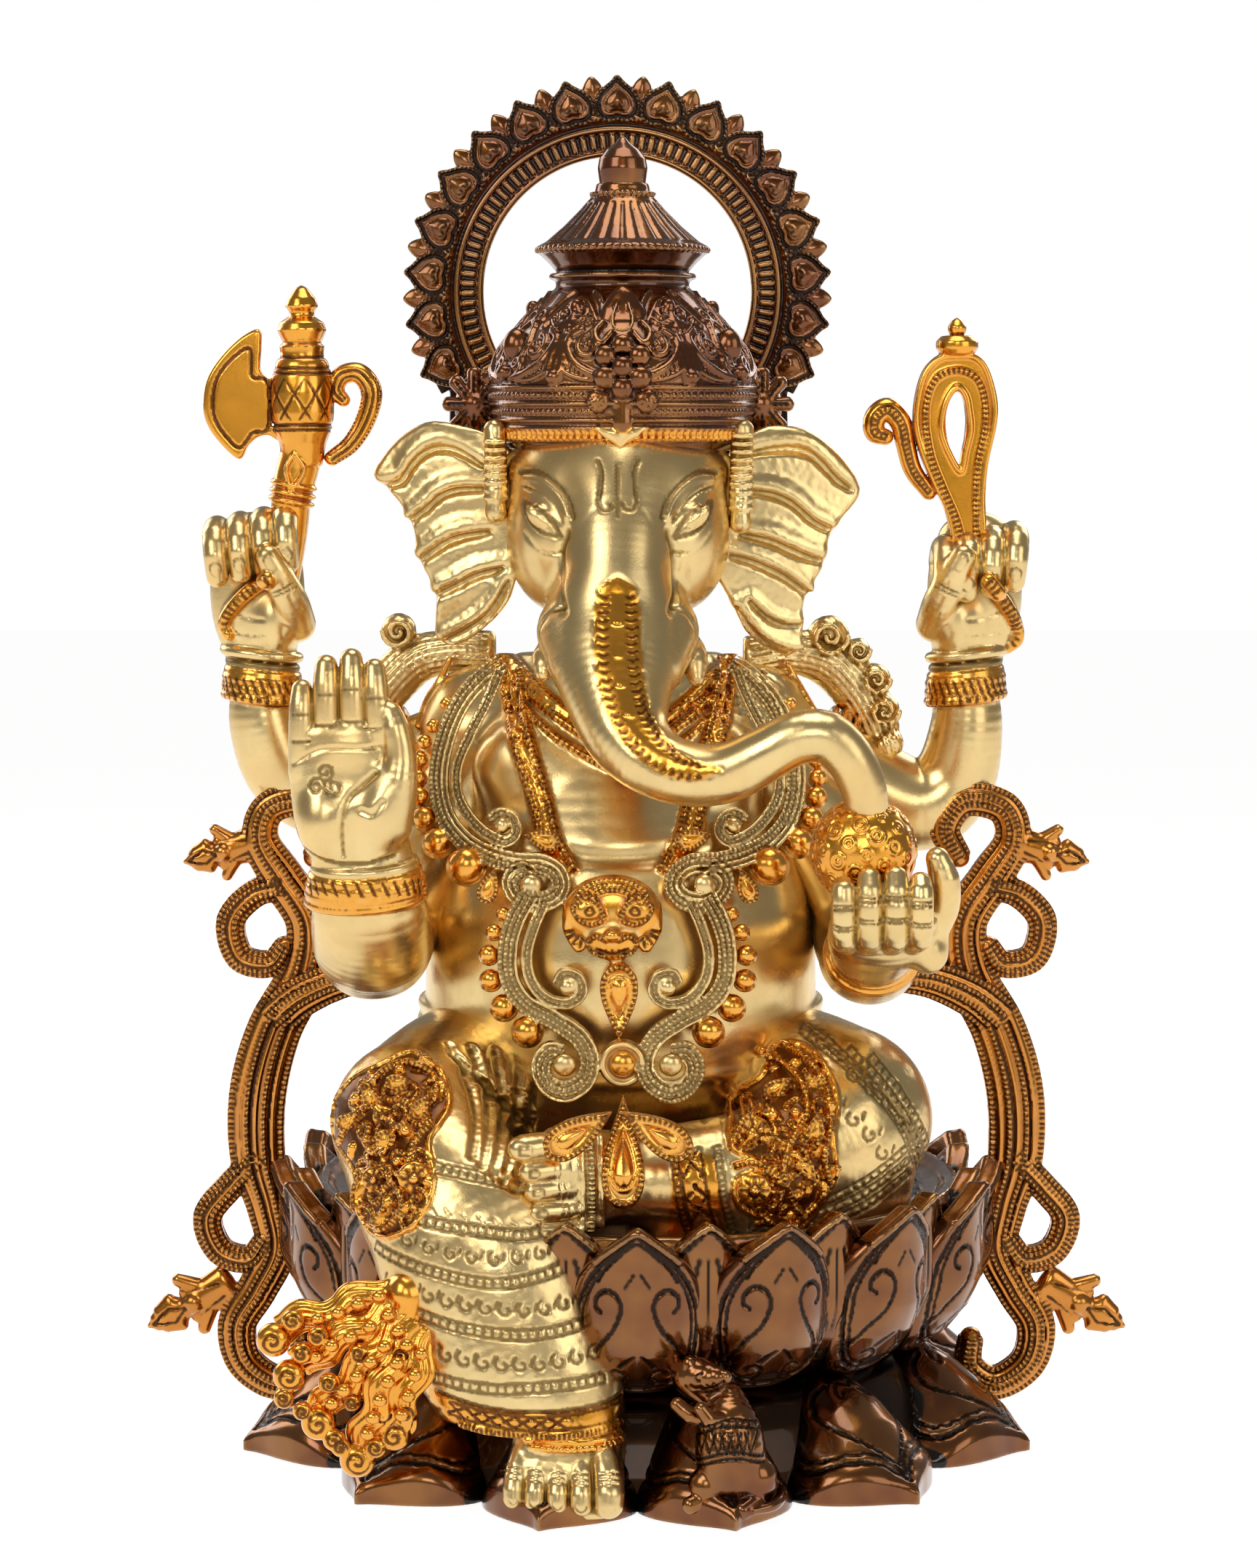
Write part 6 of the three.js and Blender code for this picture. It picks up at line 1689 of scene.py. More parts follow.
def build_axe():
    c = Clay((-182, -16, 330), (-98, 16, 480), 0.5, GOLD)
    x = -136.4
    c.lathe([
        (0, 472.4), (2.6, 470.8), (5.6, 467), (6.8, 463.6), (5.0, 461.2), (5.2, 459.6), (9.0, 457),
        (10.0, 454), (8.6, 450.6), (7.6, 448.8), (9.2, 447.6),
        (8.9, 446), (8.8, 444), (10.6, 441), (12.2, 436), (13.0, 429), (12.9, 420), (12.0, 414),
        (9.6, 408), (8.4, 402), (8.0, 399), (0, 399),
    ], (x, 0))
    c.limb([(x, 0, 405, 8.4, 8.2), (x - 2.6, 0, 396, 8.6, 8), (x - 4.8, 0, 386, 8, 7.6),
        (x - 6, 1, 372, 7.6, 7.2), (x - 9, 3, 352, 7, 6.6)], k=1)
    blade = [(-147, 435), (-149.8, 434), (-153.4, 438), (-153.0, 447), (-153.6, 454.2), (-160.5, 451.6),
        (-168.7, 444.1), (-174.8, 435.1), (-176.8, 426), (-175.8, 417), (-170.6, 408.7), (-162.3, 401.5),
        (-158.6, 407), (-154.4, 410.6), (-150.2, 411.4), (-146, 411)]
    c.plate(outline_smooth(blade, 1.2), 0, 2.6, soft=1.6, k=0.8)
    inner = [(-150.4, 433), (-156.6, 435.5), (-157.4, 446.5), (-164.6, 442.4), (-170.8, 434.6),
        (-172.8, 426), (-171.8, 418), (-167.4, 411), (-161.8, 406.4), (-156.4, 412.4), (-150.4, 414.4)]
    line = c.front(outline_smooth(inner, 0.8))
    c.groove(np.vstack([line, line[:1]]), 0.65, k=0.3, tint=DARK)
    back = line.copy()
    back[:, 1] *= -1
    c.groove(np.vstack([back, back[:1]]), 0.65, k=0.3, tint=DARK)
    for z, r in ((443, 0.6), (438.6, 0.5), (436.6, 0.6), (415.6, 0.7), (413.4, 0.5), (449.6, 0.4)):
        out = np.interp(z, [399, 408, 414, 420, 429, 436, 441, 444, 451], [8, 9.6, 12, 12.9, 13, 12.2,
            10.6, 8.8, 9])
        c.groove(np.array([(x + out * math.cos(t), out * math.sin(t), z) for t in np.linspace(0, 6.3,
            50)]), r, tint=DARK)
    for i in range(9):  # lattice round the head
        for lean in (-1, 1):
            t = 2 * math.pi * i / 9 + np.linspace(0, 0.9, 10) * lean
            z = np.linspace(434.6, 417.4, 10)
            c.groove(np.column_stack([x + 13.0 * np.cos(t), 13.0 * np.sin(t), z]), 0.45, tint=DARK)
    # the curled hook at the back of the head
    hook = [(-124.4, 402, 3.2), (-116.6, 408, 3.8), (-110.6, 418, 4.2), (-108.2, 429, 4.4),
        (-113.2, 436.4, 4.2), (-120.4, 435.4, 4.0), (-122.8, 429.6, 3.6), (-119.6, 425.6, 2.8)]
    path = smooth_path([(a, 0, b, r) for a, b, r in hook], 0.8)
    middle, half = path[:, :3], path[:, 3:4]
    side = across(middle)
    c.rail(middle, path[:, 3], k=0.4)
    for f in (0.2, -0.45):
        c.groove(middle + side * half * f + vec(0, -1, 0) * half * 0.92, 0.5, tint=DARK)
    for f in (0.8, -0.8):
        line = middle + side * half * f + vec(0, -0.5, 0) * half
        c.notches(line[: int(len(line) * 0.62)], 1.7, 1.2, 0.36, tint=DARK)
    # the sprig that wraps the shaft
    for z in (391, 387.6, 384.4):
        band_round(c, (x - 3.8 - 0.16 * (391 - z), 0, z), (0.2, 0, 1), (8.6, 8.2), (0, 1, 0), 1.1)
    for s in (-1, 1):
        c.tube([(x - 2.6, -8, 404), (x - 2.6 + s * 3.6, -8.4, 398), (x - 3.4 + s * 1.8, -8.2, 392),
            (x - 4.4, -7.8, 388)], 1.0, k=0.4)
    place("axe_casting", c.mesh("axe_casting"), "gold_lacquer", "axe")


def build_noose():
    c = Clay((88, -16, 338), (152, 16, 468), 0.5, GOLD)
    outer = [(130, 445), (123, 444), (117, 438), (113.6, 427), (112.8, 415.7), (115.8, 403), (121.6, 390),
        (127, 380), (130, 368), (132, 356), (144, 356), (142.6, 368), (141.8, 384), (143.4, 398.7),
        (146.9, 415.7), (146.8, 426.6), (143, 439), (138, 444.4)]
    hole = [(130.4, 429), (127, 424), (126, 416), (127.6, 407), (132, 398.6), (133.6, 408), (134.4, 418),
        (133.6, 425.6)]
    c.plate(outline_smooth(outer, 1.5), 0, 3.4, soft=1.6)
    c.plate(outline_smooth(hole, 1.0), 0, 8, soft=0.1, cut=True, k=1.0)
    ring = outline_smooth(hole, 0.8)
    away = ring + 1.9 * (ring - ring.mean(0)) / np.linalg.norm(ring - ring.mean(0), axis=1)[:, None]
    for y in (-3.2, 3.2):
        c.rail(np.array([(p[0], y, p[1]) for p in np.vstack([away, away[:1]])]), 1.3, k=0.5)
        border = outline_smooth(inset(outer, 1.5, (130, 410)), 1.0)
        c.rail(np.array([(p[0], y, p[1]) for p in border]), 1.3, k=0.5)
        middle = [(134, 362), (131, 376), (124.6, 391), (120, 403), (117.8, 415.7), (118.4, 426),
            (122, 434.4), (130.4, 437.6), (138.4, 434.4), (141.8, 425), (141.9, 414), (139.2, 400),
            (138.4, 384), (139, 366)]
        line = np.array([(p[0], y, p[1]) for p in flat_path(middle)])
        c.rail(line, 1.5, k=0.4)
        c.notches(line + vec(0, math.copysign(1.3, y), 0), 2.1, 1.6, 0.45, tint=DARK)
    # knob and curl
    c.lathe([(0, 459.4), (2.2, 457.8), (3.9, 455.4), (3.6, 453), (2.6, 452), (6.4, 451.6), (8.6, 449.4),
        (8.6, 446.6), (7.0, 444.2), (0, 443)], (130.6, 0))
    curl = [(119.5, 388, 3.2), (113, 397, 3.8), (110, 407, 4.0), (108.0, 416, 4.4), (102.6, 421.8, 4.8),
        (97.6, 418.6, 4.6), (97.2, 412.6, 4.2), (101.6, 410.6, 3.4)]
    path = smooth_path([(a, 0, b, r) for a, b, r in curl], 0.8)
    c.rail(path[:, :3], path[:, 3], k=0.6)
    side = across(path[:, :3])
    for f in (-0.35, 0.35):
        c.groove(path[:, :3] + side * path[:, 3:4] * f + vec(0, -0.95, 0) * path[:, 3:4], 0.45, tint=DARK)
    c.notches(path[:, :3] + vec(0, -1, 0) * path[:, 3:4], 2.0, 1.0, 0.4, tint=DARK)
    place("noose_casting", c.mesh("noose_casting"), "gold_lacquer", "noose")


def build_modak():
    centre = vec(87, -111, 253)
    c = Clay((62, -136, 230), (112, -88, 280), 0.45, GOLD)
    c.ball(centre, (20.4, 18, 20.4))
    # small rings all over it
    count = 74
    for i in range(count):
        z = 1 - 2 * (i + 0.5) / count
        a = i * math.pi * (3 - math.sqrt(5))
        r = math.sqrt(1 - z * z)
        out = vec(r * math.cos(a), r * math.sin(a), z)
        at = centre + out * (19.9, 17.6, 19.9)
        u = unit(np.cross(out, (0.3, 0.2, 1)))
        v = np.cross(out, u)
        size = 2.5 + 0.5 * math.sin(i * 1.7)
        loop = np.array([at + size * math.cos(t) * u + size * math.sin(t) * v for t in np.linspace(0,
            2 * math.pi, 12)])
        c.rail(loop, 0.8, k=0.2)
        c.ball(at, 1.1, k=0.2)
    place("modak_casting", c.mesh("modak_casting"), "gold_lacquer", "modak")


# ---- the openwork ornament on the chest and belly ----
def ribbon(c, route, wide, y_of, rails, r, notched):
    """A flat ribbon of rails along a route of [x, z], some of them notched."""
    line = flat_path(route)
    edge = np.vstack([shifted(line, wide / 2), shifted(line, -wide / 2)[::-1]])
    c.plate(edge, y_of, 2.6, soft=0.8)
    for i in range(rails):
        by = (i / (rails - 1) - 0.5) * (wide - 1.2)
        at = c.front(shifted(line, by), lift=0.25)
        c.rail(at, r if i in notched else r * 0.7, k=0.3)
        if i in notched:
            c.notches(at + vec(0, -r * 0.8, 0), 2.0, r * 1.0, 0.36, tint=DARK)
    for i in range(rails - 1):
        by = ((i + 0.5) / (rails - 1) - 0.5) * (wide - 1.2)
        c.groove(c.front(shifted(line, by)), 0.4, tint=DARK)


def jewel_leaf(c, x, z, half_wide, half_high, turn, ground):
    """A gilded drop with a corded rim round a domed gem; its tip points turn degrees from up."""
    a = math.radians(turn)
    across, along = vec(math.cos(a), -math.sin(a)), vec(math.sin(a), math.cos(a))
    shape = tear((half_wide, half_high))

    def sized(by, drop=0.0):
        return [tuple(vec(x, z) + by * u * across + (by * v - drop * half_high) * along) for u,
            v in shape]

    c.plate(sized(1.0), ground, 3.0, soft=1.0, tint=GOLD)
    for by, r in ((0.86, 1.25), (0.60, 0.75)):
        rim = np.array([(u, ground(u, v) - 3.1, v) for u, v in sized(by, 0.03)])
        rim = np.vstack([rim, rim[:1]])
        c.rail(rim, r, k=0.3, tint=GOLD)
        if r > 1:
            c.notches(rim + vec(0, -1.0, 0), 2.1, 1.25, 0.42, tint=DARK)
    c.plate(sized(0.44, 0.14), lambda u, v: ground(u, v) - 3.2, 0.8, soft=0.5, puff=2.6, tint=GOLD)


def build_breast_ornament():
    c = Clay((-96, -144, 112), (82, -34, 330), 0.6)
    # how far forward the ornament's ground stands at [x, z]
    rows = np.array([(112, -118), (130, -117.5), (146, -110), (156, -97), (168, -90), (186, -86),
        (206, -88), (222, -86), (240, -76), (256, -66), (272, -58), (292, -52), (312, -42), (326, -30)])

    def ground(x, z):
        base = np.interp(z, rows[:, 0], rows[:, 1])
        side = np.abs(x - MID_X) / np.interp(z, [120, 160, 200, 250, 290, 325], [120, 84, 80, 92, 100,
            110])
        return base + 34 * np.clip(side, 0, 1) ** 2.4

    for s in (-1, 1):
        m = lambda pts: [(MID_X + s * (MID_X - x), z) for x, z in pts]
        # strand over the chest: two ribbons side by side
        outer = [(-54, 320.5), (-61.4, 315), (-69.4, 306), (-75.0, 295), (-78.6, 282), (-79.0, 270),
            (-75.6, 259), (-68.3, 251), (-58.7, 246.2), (-47.3, 243.9), (-37.4, 243.6), (-31.2, 240.4),
            (-29.8, 235.2), (-33.4, 230.8), (-40.6, 229.2), (-47.2, 231.6), (-49.6, 237), (-45.6, 240.8),
            (-41.2, 238.6)]
        inner = [(-55, 317), (-60.2, 305), (-66.6, 292.6), (-71.8, 280), (-71.6, 269), (-67, 260.6),
            (-60.0, 254.4), (-52.0, 251.6), (-47.6, 255.4), (-49.4, 260.6), (-54.4, 262.2),
            (-58.0, 259.6)]
        ribbon(c, m(outer), 7.6, ground, rails=4, r=1.1, notched=(0, 1))
        ribbon(c, m(inner), 4.6, lambda x, z: ground(x, z) - 0.4, rails=3, r=1.0, notched=(1,))
        # strand over the belly
        belly = [(-43.0, 231), (-47.8, 222), (-50.4, 212), (-49.8, 199), (-43.6, 189.6), (-32, 183.4),
            (-22.4, 177), (-18.2, 168.4), (-20.6, 160.8), (-27.4, 157.0), (-34.6, 159.0), (-37.8, 165.4),
            (-34.6, 171.2), (-29.2, 171.0)]
        ribbon(c, m(belly), 7.4, ground, rails=4, r=1.1, notched=(0, 1, 2))
        loop = [(-36.4, 229), (-40.6, 219.6), (-43.2, 209), (-41.4, 198.6), (-35.0, 191.6),
            (-26.6, 190.2), (-21.6, 194.6), (-23.2, 200.6), (-28.6, 202.0), (-31.0, 198.0)]
        ribbon(c, m(loop), 4.6, lambda x, z: ground(x, z) - 0.4, rails=3, r=1.0, notched=(1,))
        # hearts of the curls
        for x, z, r in ((-41.4, 235.6, 4.4), (-28.2, 166.6, 4.6), (-27.0, 196.8, 3.4),
                (-53.4, 257.6, 3.2)):
            (px, pz), = m([(x, z)])
            c.ball((px, ground(px, pz) - 2.6, pz), (r, 2.6, r), k=0.3)
        # gilded beads along the outside, larger towards the bottom
        for x, z, r in (
            (-76.7, 304, 2.8), (-82, 295, 3.0), (-85.3, 288.6, 3.2), (-87.3, 281.6, 3.5),
            (-88, 274.4, 3.7), (-87.4, 267, 4.1), (-85.2, 258.6, 4.8), (-79.6, 249.8, 5.8),
            (-67.6, 241.8, 7.4),
            (-52.6, 224.4, 2.7), (-56.2, 217.2, 3.2), (-58.2, 208.2, 3.9), (-57.6, 198.0, 4.3),
            (-52.4, 187.4, 5.2), (-43.2, 178.6, 5.9),
        ):
            (px, pz), = m([(x, z)])
            y = ground(px, pz)
            c.ball((px, y - 0.6, pz), (r, r * 0.95, r), k=0.5, tint=GOLD)
            c.ball((px, y + 2.0, pz - 0.8), (r * 1.12, r * 0.8, r * 1.1), k=0.6)
        # gems where the strands meet
        for x, z, size, turn in ((-58.2, 234.6, 7.4, 20), (-37.4, 252.6, 7.4, -75)):
            (px, pz), = m([(x, z)])
            paisley(c, px, pz, size, turn if s < 0 else -turn, y=ground(px, pz))
        # side leaves of the pendant
        (gx, gz), = m([(-22.6, 146.6)])
        jewel_leaf(c, gx, gz, 9.4, 15.6, -s * 58, lambda x, z: np.minimum(ground(x, z) - 9.0, -129.0))
    jewel_leaf(c, -5.4, 136.4, 11.4, 20.4, 0, lambda x, z: ground(x, z) - 6.0)
    # button
    by = ground(-5.6, 167.2)
    c.ball((-5.6, by - 0.6, 167.2), (9.6, 3.6, 9.6), k=0.5)
    c.rail(np.array([(-5.6 + 7.8 * math.cos(t), by - 3.4,
        167.2 + 7.8 * math.sin(t)) for t in np.linspace(0, 6.3, 40)]), 1.2, k=0.3)
    c.ball((-5.6, by - 3.4, 167.2), (5.2, 3.4, 5.2), k=0.2, tint=GOLD)
    # drop above it, point down
    jewel_leaf(c, -7.0, 191.4, 10.0, 15.4, 180, lambda x, z: ground(x, z) - 0.8)
    # the lion's face
    fx, fz = -9.6, 224.5
    fy = ground(fx, fz)
    c.ball((fx, fy - 1.0, fz + 2), (19, 7.5, 14.5), k=0, tint=GOLD)
    c.ball((fx, fy - 3.5, fz - 9), (10.5, 7, 8.5), k=2.5, tint=GOLD)
    for s in (-1, 1):
        c.limb([(fx + s * 15.5, fy + 1, fz + 3, 3.8, 3.4), (fx + s * 16.5, fy, fz - 5, 3.2, 3.0),
            (fx + s * 13, fy - 1, fz - 12, 2.8, 2.6)], k=1.5, tint=GOLD)
        c.ball((fx + s * 9.2, fy - 6.6, fz + 3.0), (6.0, 3.4, 4.6), k=0.3, tint=GOLD)
        pupil = c.front([(fx + s * 8.8, fz + 2.6)])[0]
        c.groove(np.array([pupil + vec(1.7 * math.cos(a), 0, 1.7 * math.sin(a)) for a in np.linspace(0,
            2 * math.pi, 12)]), 0.5, tint=DARK)
        lid = [(fx + s * 3.2, fz + 0.6), (fx + s * 6.5, fz + 6.6), (fx + s * 11, fz + 8.0),
            (fx + s * 15.4, fz + 4.4)]
        rope(c, lid, 1.2, pitch=1.7)
        under = [(fx + s * 4.0, fz - 1.2), (fx + s * 8.2, fz - 2.6), (fx + s * 13, fz - 0.8),
            (fx + s * 15.8, fz + 3.2)]
        rope(c, under, 1.0, pitch=1.7)
        for i in range(5):
            a = math.radians(10 + 22 * i)
            p = [(fx + s * (10.5 + 5 * math.cos(a)), fz - 5 - 3.6 * math.sin(a)),
                (fx + s * (10.5 + 9 * math.cos(a)), fz - 5 - 7.4 * math.sin(a))]
            c.groove(c.front(p), 0.5, tint=DARK)
        cheek = [(fx + s * 2.6, fz - 8.4), (fx + s * 6.4, fz - 7.0), (fx + s * 9.4, fz - 9.6),
            (fx + s * 8.2, fz - 13.4), (fx + s * 3.6, fz - 15.0)]
        rope(c, cheek, 1.0, pitch=1.6)
    for i, r in enumerate((14.2, 11.2, 8.2)):
        brow = [(fx + r * math.sin(t), fz + 6.0 + r * 0.62 * math.cos(t)) for t in np.linspace(-1.35,
            1.35, 9)]
        rope(c, brow, 1.1, pitch=2.0)
    c.ball(c.front([(fx, fz - 6.5)])[0] + vec(0, -0.4, 0), (3.2, 2.6, 2.4), k=0.4, tint=GOLD)
    c.groove(c.front(flat_path([(fx - 6, fz - 12.6), (fx, fz - 14.4), (fx + 6, fz - 12.6)])), 0.8,
        tint=DARK)
    for x in np.linspace(-4.8, 4.8, 5):
        c.groove(c.front([(fx + x, fz - 12.4), (fx + x, fz - 16.2)]), 0.36, tint=DARK)
    place("breast_ornament_casting", c.mesh("breast_ornament_casting"), "pale_brass", "breast_ornament")


# ---- shawl and side scrolls ----
def build_shoulder_sash(side):
    name = "shoulder_sash_right" if side < 0 else "shoulder_sash_left"
    if side < 0:
        c = Clay((-130, -16, 276), (-58, 36, 346), 0.6)
        spine = [(-62, 10, 322, 9, 7), (-78, 14, 322, 9, 7), (-92, 17, 318, 10, 7), (-104, 18, 306, 10,
            7), (-112, 17, 292, 7, 6), (-116, 16, 284, 4, 4)]
        curls = [((-98.4, 12, 330.6), 7.2, 1)]
    else:
        c = Clay((44, -16, 268), (118, 36, 346), 0.6)
        spine = [(48, 10, 320, 9, 7), (64, 14, 322, 9, 7), (80, 17, 318, 11, 8), (92, 18, 306, 11, 8),
            (100, 17, 292, 9, 7), (104, 16, 280, 6, 5)]
        curls = [((79.6, 12, 328.4), 8.6, -1), ((91.8, 12, 322.6), 5.0, -1), ((99.0, 12, 310.6), 6.4, -1),
            ((102.6, 11, 297.6), 6.6, -1), ((104.6, 10, 284), 6.2, 0)]
    c.limb(spine)
    for (x, y, z), r, way in curls:
        c.ball((x, y + 3, z), (r, 7, r), k=1.4)
        if way:
            turn = spiral((x, y - 4.6, z), (x - way * r * 0.9, y - 4.6, z), r * 0.16, way * 1.5,
                points=26)
            c.rail(turn, 1.25, k=0.5)
            inner = spiral((x, y - 4.9, z), (x - way * r * 0.62, y - 4.9, z), r * 0.1, way * 1.2,
                points=20)
            c.groove(inner, 0.6, tint=DARK)
        else:
            c.ball((x, y - 3.4, z), (r * 0.8, 3.4, r * 0.8), k=0.4)
    # pleats that follow the roll
    centre = smooth_path([p[:3] for p in spine], 0.9)
    for by in (-6.4, -3.8, -1.2, 1.4, 4.0, 6.6):
        route = beside(centre, (0, -1, 0), by)[:, [0, 2]]
        c.groove(c.front(route), 0.55, k=0.7)
    rough_skin(c, 0.22, 2.2)
    place(name + "_casting", c.mesh(name + "_casting", relax=1), "pale_brass", name)


SCROLL_STEM = [
    [133, 238, 4.6], [127, 250, 6], [135, 261.5, 6.5], [151, 258.5, 6.8], [155, 245, 7.2],
    [146, 229, 8.8], [135.5, 211, 9.4], [137.5, 190, 10.4],
    [150, 166, 11.4], [157, 140, 12], [157.5, 113, 11.5], [152.5, 92, 9.6], [150, 74, 8.6],
    [158, 57, 8.2], [166.5, 42, 7.8], [163.5, 26, 7.2],
    [150, 17, 6.6], [139, 24, 5.6], [139.5, 36, 4.6],
]
SCROLL_CURLS = [
    [[146, 226, 5.2], [158, 222.5, 5.6], [167.5, 211.5, 5.8], [164, 196.5, 5.6], [151.5, 193.6, 5.2],
    [145.4, 201, 4.2]],
    [[157, 113, 5.2], [169.5, 99.6, 5.6], [178.4, 87.4, 5.8], [173.6, 73.4, 5.6], [161.5, 69.6, 5.2],
    [154.6, 78, 4.2]],
]
SCROLL_BRANCH = [[151, 170, 9], [139, 180, 8.4], [123, 187.4, 7.4], [108, 190, 6]]


def build_side_scroll(side):
    name = "side_scroll_right" if side < 0 else "side_scroll_left"
    low, high = ((-214, -16, 6), (-102, 10, 274)) if side < 0 else ((102, -16, 6), (214, 10, 274))
    c = Clay(low, high, 0.6, BRONZE)

    def band(route, lean=0.0, rails=3, notch=2.1):
        """A ribbon whose half width changes; its rails run along it and its edges are notched."""
        path = smooth_path([(side * x, lean * i, z, wide) for i, (x, z, wide) in enumerate(route)], 0.9)
        c.limb(np.column_stack([path[:, :3], path[:, 3], np.full(len(path), 4.6)]), dense=True, k=0.5)
        along = np.gradient(path[:, :3], axis=0)
        across = np.cross(along, (0, -1, 0))
        across /= np.maximum(np.linalg.norm(across, axis=1), 1e-9)[:, None]
        for face in (-1, 1):
            for j in range(-rails, rails + 1):
                f = j / (rails + 0.35)
                lift = 4.5 * math.sqrt(max(1 - f * f, 0.05))
                line = path[:, :3] + across * path[:, 3:4] * f + vec(0, face * lift, 0)
                edge = abs(j) == rails
                c.rail(line, 1.15 if edge or j % 2 else 0.8, k=0.35)
                if edge or j in (-1, 1):
                    c.notches(line + vec(0, face * 0.9, 0), notch, 1.25, 0.4, tint=DARK)
                else:
                    c.groove(line + across * path[:, 3:4] * (0.5 / (rails + 0.35)), 0.42, tint=DARK)

    band(SCROLL_BRANCH, lean=-3.4)
    for curl in SCROLL_CURLS:
        band(curl, rails=2)
    band(SCROLL_STEM)
    # buds: a fan of leaves, a ball and a pointed tip
    for (bx, bz), (tx, tz), size in (((159, 243), (186, 236), 0.85), ((171, 58), (203, 41), 1.0)):
        base, tip = vec(side * bx, 0, bz), vec(side * tx, 0, tz)
        d = tip - base
        u = unit(d)
        n = vec(-u[2], 0, u[0])
        c.limb([(*base, 9 * size, 4.4), (*(base + d * 0.35), 7 * size, 4.6), (*(base + d * 0.5), 5 * size,
            4.2)], k=1)
        for f in (-1, -0.5, 0.5, 1):
            c.limb([(*(base + d * 0.1), 3, 3), (*(base + d * 0.34 + n * 7 * f * size), 3.4 * size, 3.2),
                (*(base + d * 0.46 + n * 11.5 * f * size), 2.8 * size, 2.6)], k=0.5)
        c.ball(base + d * 0.42 + vec(0, -2.6, 0), (4.4 * size, 3.2, 4.4 * size), k=0.4)
        c.ball(base + d * 0.42 + vec(0, 2.6, 0), (4.4 * size, 3.2, 4.4 * size), k=0.4)
        c.limb([(*(base + d * 0.5), 3.4, 3.4), (*(base + d * 0.66), 8.6 * size, 4), (*(base + d * 0.82),
            6.4 * size, 3.6), (*tip, 1.2, 1.4)], k=0.6)
        for f in (-1, 1):
            for face in (-1, 1):
                c.groove(np.array([base + d * 0.52 + vec(0, face * 4.0, 0),
                    base + d * 0.7 + n * 3.4 * f * size + vec(0, face * 3.8, 0), base + d * 0.95 + vec(0,
                    face * 1.8, 0)]), 0.5, tint=DARK)
                c.groove(np.array([base + d * 0.05 + n * 3 * f * size + vec(0, face * 4.4, 0),
                    base + d * 0.36 + n * 5.4 * f * size + vec(0, face * 4, 0)]), 0.5, tint=DARK)
    place(name + "_casting", c.mesh(name + "_casting"), "gold_lacquer", name)

# ---- materials ----
def ramp(tree, source, stops):
    made = tree.nodes.new("ShaderNodeValToRGB")
    points = made.color_ramp.elements
    while len(points) < len(stops):
        points.new(0.5)
    for point, (at, colour) in zip(points, stops):
        point.position = at
        point.color = (*colour, 1) if len(colour) == 3 else (colour[0],) * 3 + (1,)
    tree.links.new(source, made.inputs[0])
    return made.outputs[0]


def span(tree, source, low, high, out_low=0.0, out_high=1.0):
    made = tree.nodes.new("ShaderNodeMapRange")
    for i, value in zip((1, 2, 3, 4), (low, high, out_low, out_high)):
        made.inputs[i].default_value = value
    tree.links.new(source, made.inputs[0])
    return made.outputs[0]


def maths(tree, operation, a, b):
    made = tree.nodes.new("ShaderNodeMath")
    made.operation = operation
    for i, value in enumerate((a, b)):
        if hasattr(value, "is_linked") or hasattr(value, "links"):
            tree.links.new(value, made.inputs[i])
        else:
            made.inputs[i].default_value = value
    return made.outputs[0]


def mix(tree, factor, a, b):
    made = tree.nodes.new("ShaderNodeMix")
    made.data_type = "RGBA"
    for socket, value in ((made.inputs[0], factor), (made.inputs[6], a), (made.inputs[7], b)):
        if hasattr(value, "links"):
            tree.links.new(value, socket)
        elif isinstance(value, tuple):
            socket.default_value = (*value, 1)
        else:
            socket.default_value = value
    return made.outputs[2]


def attribute(tree, name):
    made = tree.nodes.new("ShaderNodeAttribute")
    made.attribute_name = name
    return made.outputs["Fac"]


def noise(tree, scale, detail=4.0, rough=0.55):
    made = tree.nodes.new("ShaderNodeTexNoise")
    made.inputs["Scale"].default_value = scale
    made.inputs["Detail"].default_value = detail
    made.inputs["Roughness"].default_value = rough
    where = tree.nodes.new("ShaderNodeTexCoord")
    tree.links.new(where.outputs["Object"], made.inputs["Vector"])
    return made.outputs["Fac"]


# for each tint: its body, the painted shade that darkens it in recesses, and the patina in cuts, which also
# colours the dark sheets painted as shade
TINT_COLOURS = [
    ((0.82, 0.61, 0.28), (0.25, 0.15, 0.032), (0.24, 0.15, 0.05)),
    ((0.86, 0.37, 0.022), (0.30, 0.070, 0.005), (0.10, 0.024, 0.003)),
    ((0.60, 0.21, 0.014), (0.12, 0.030, 0.004), (0.035, 0.011, 0.002)),
    ((0.165, 0.044, 0.005), (0.009, 0.0045, 0.0025), (0.005, 0.0032, 0.0022)),
]


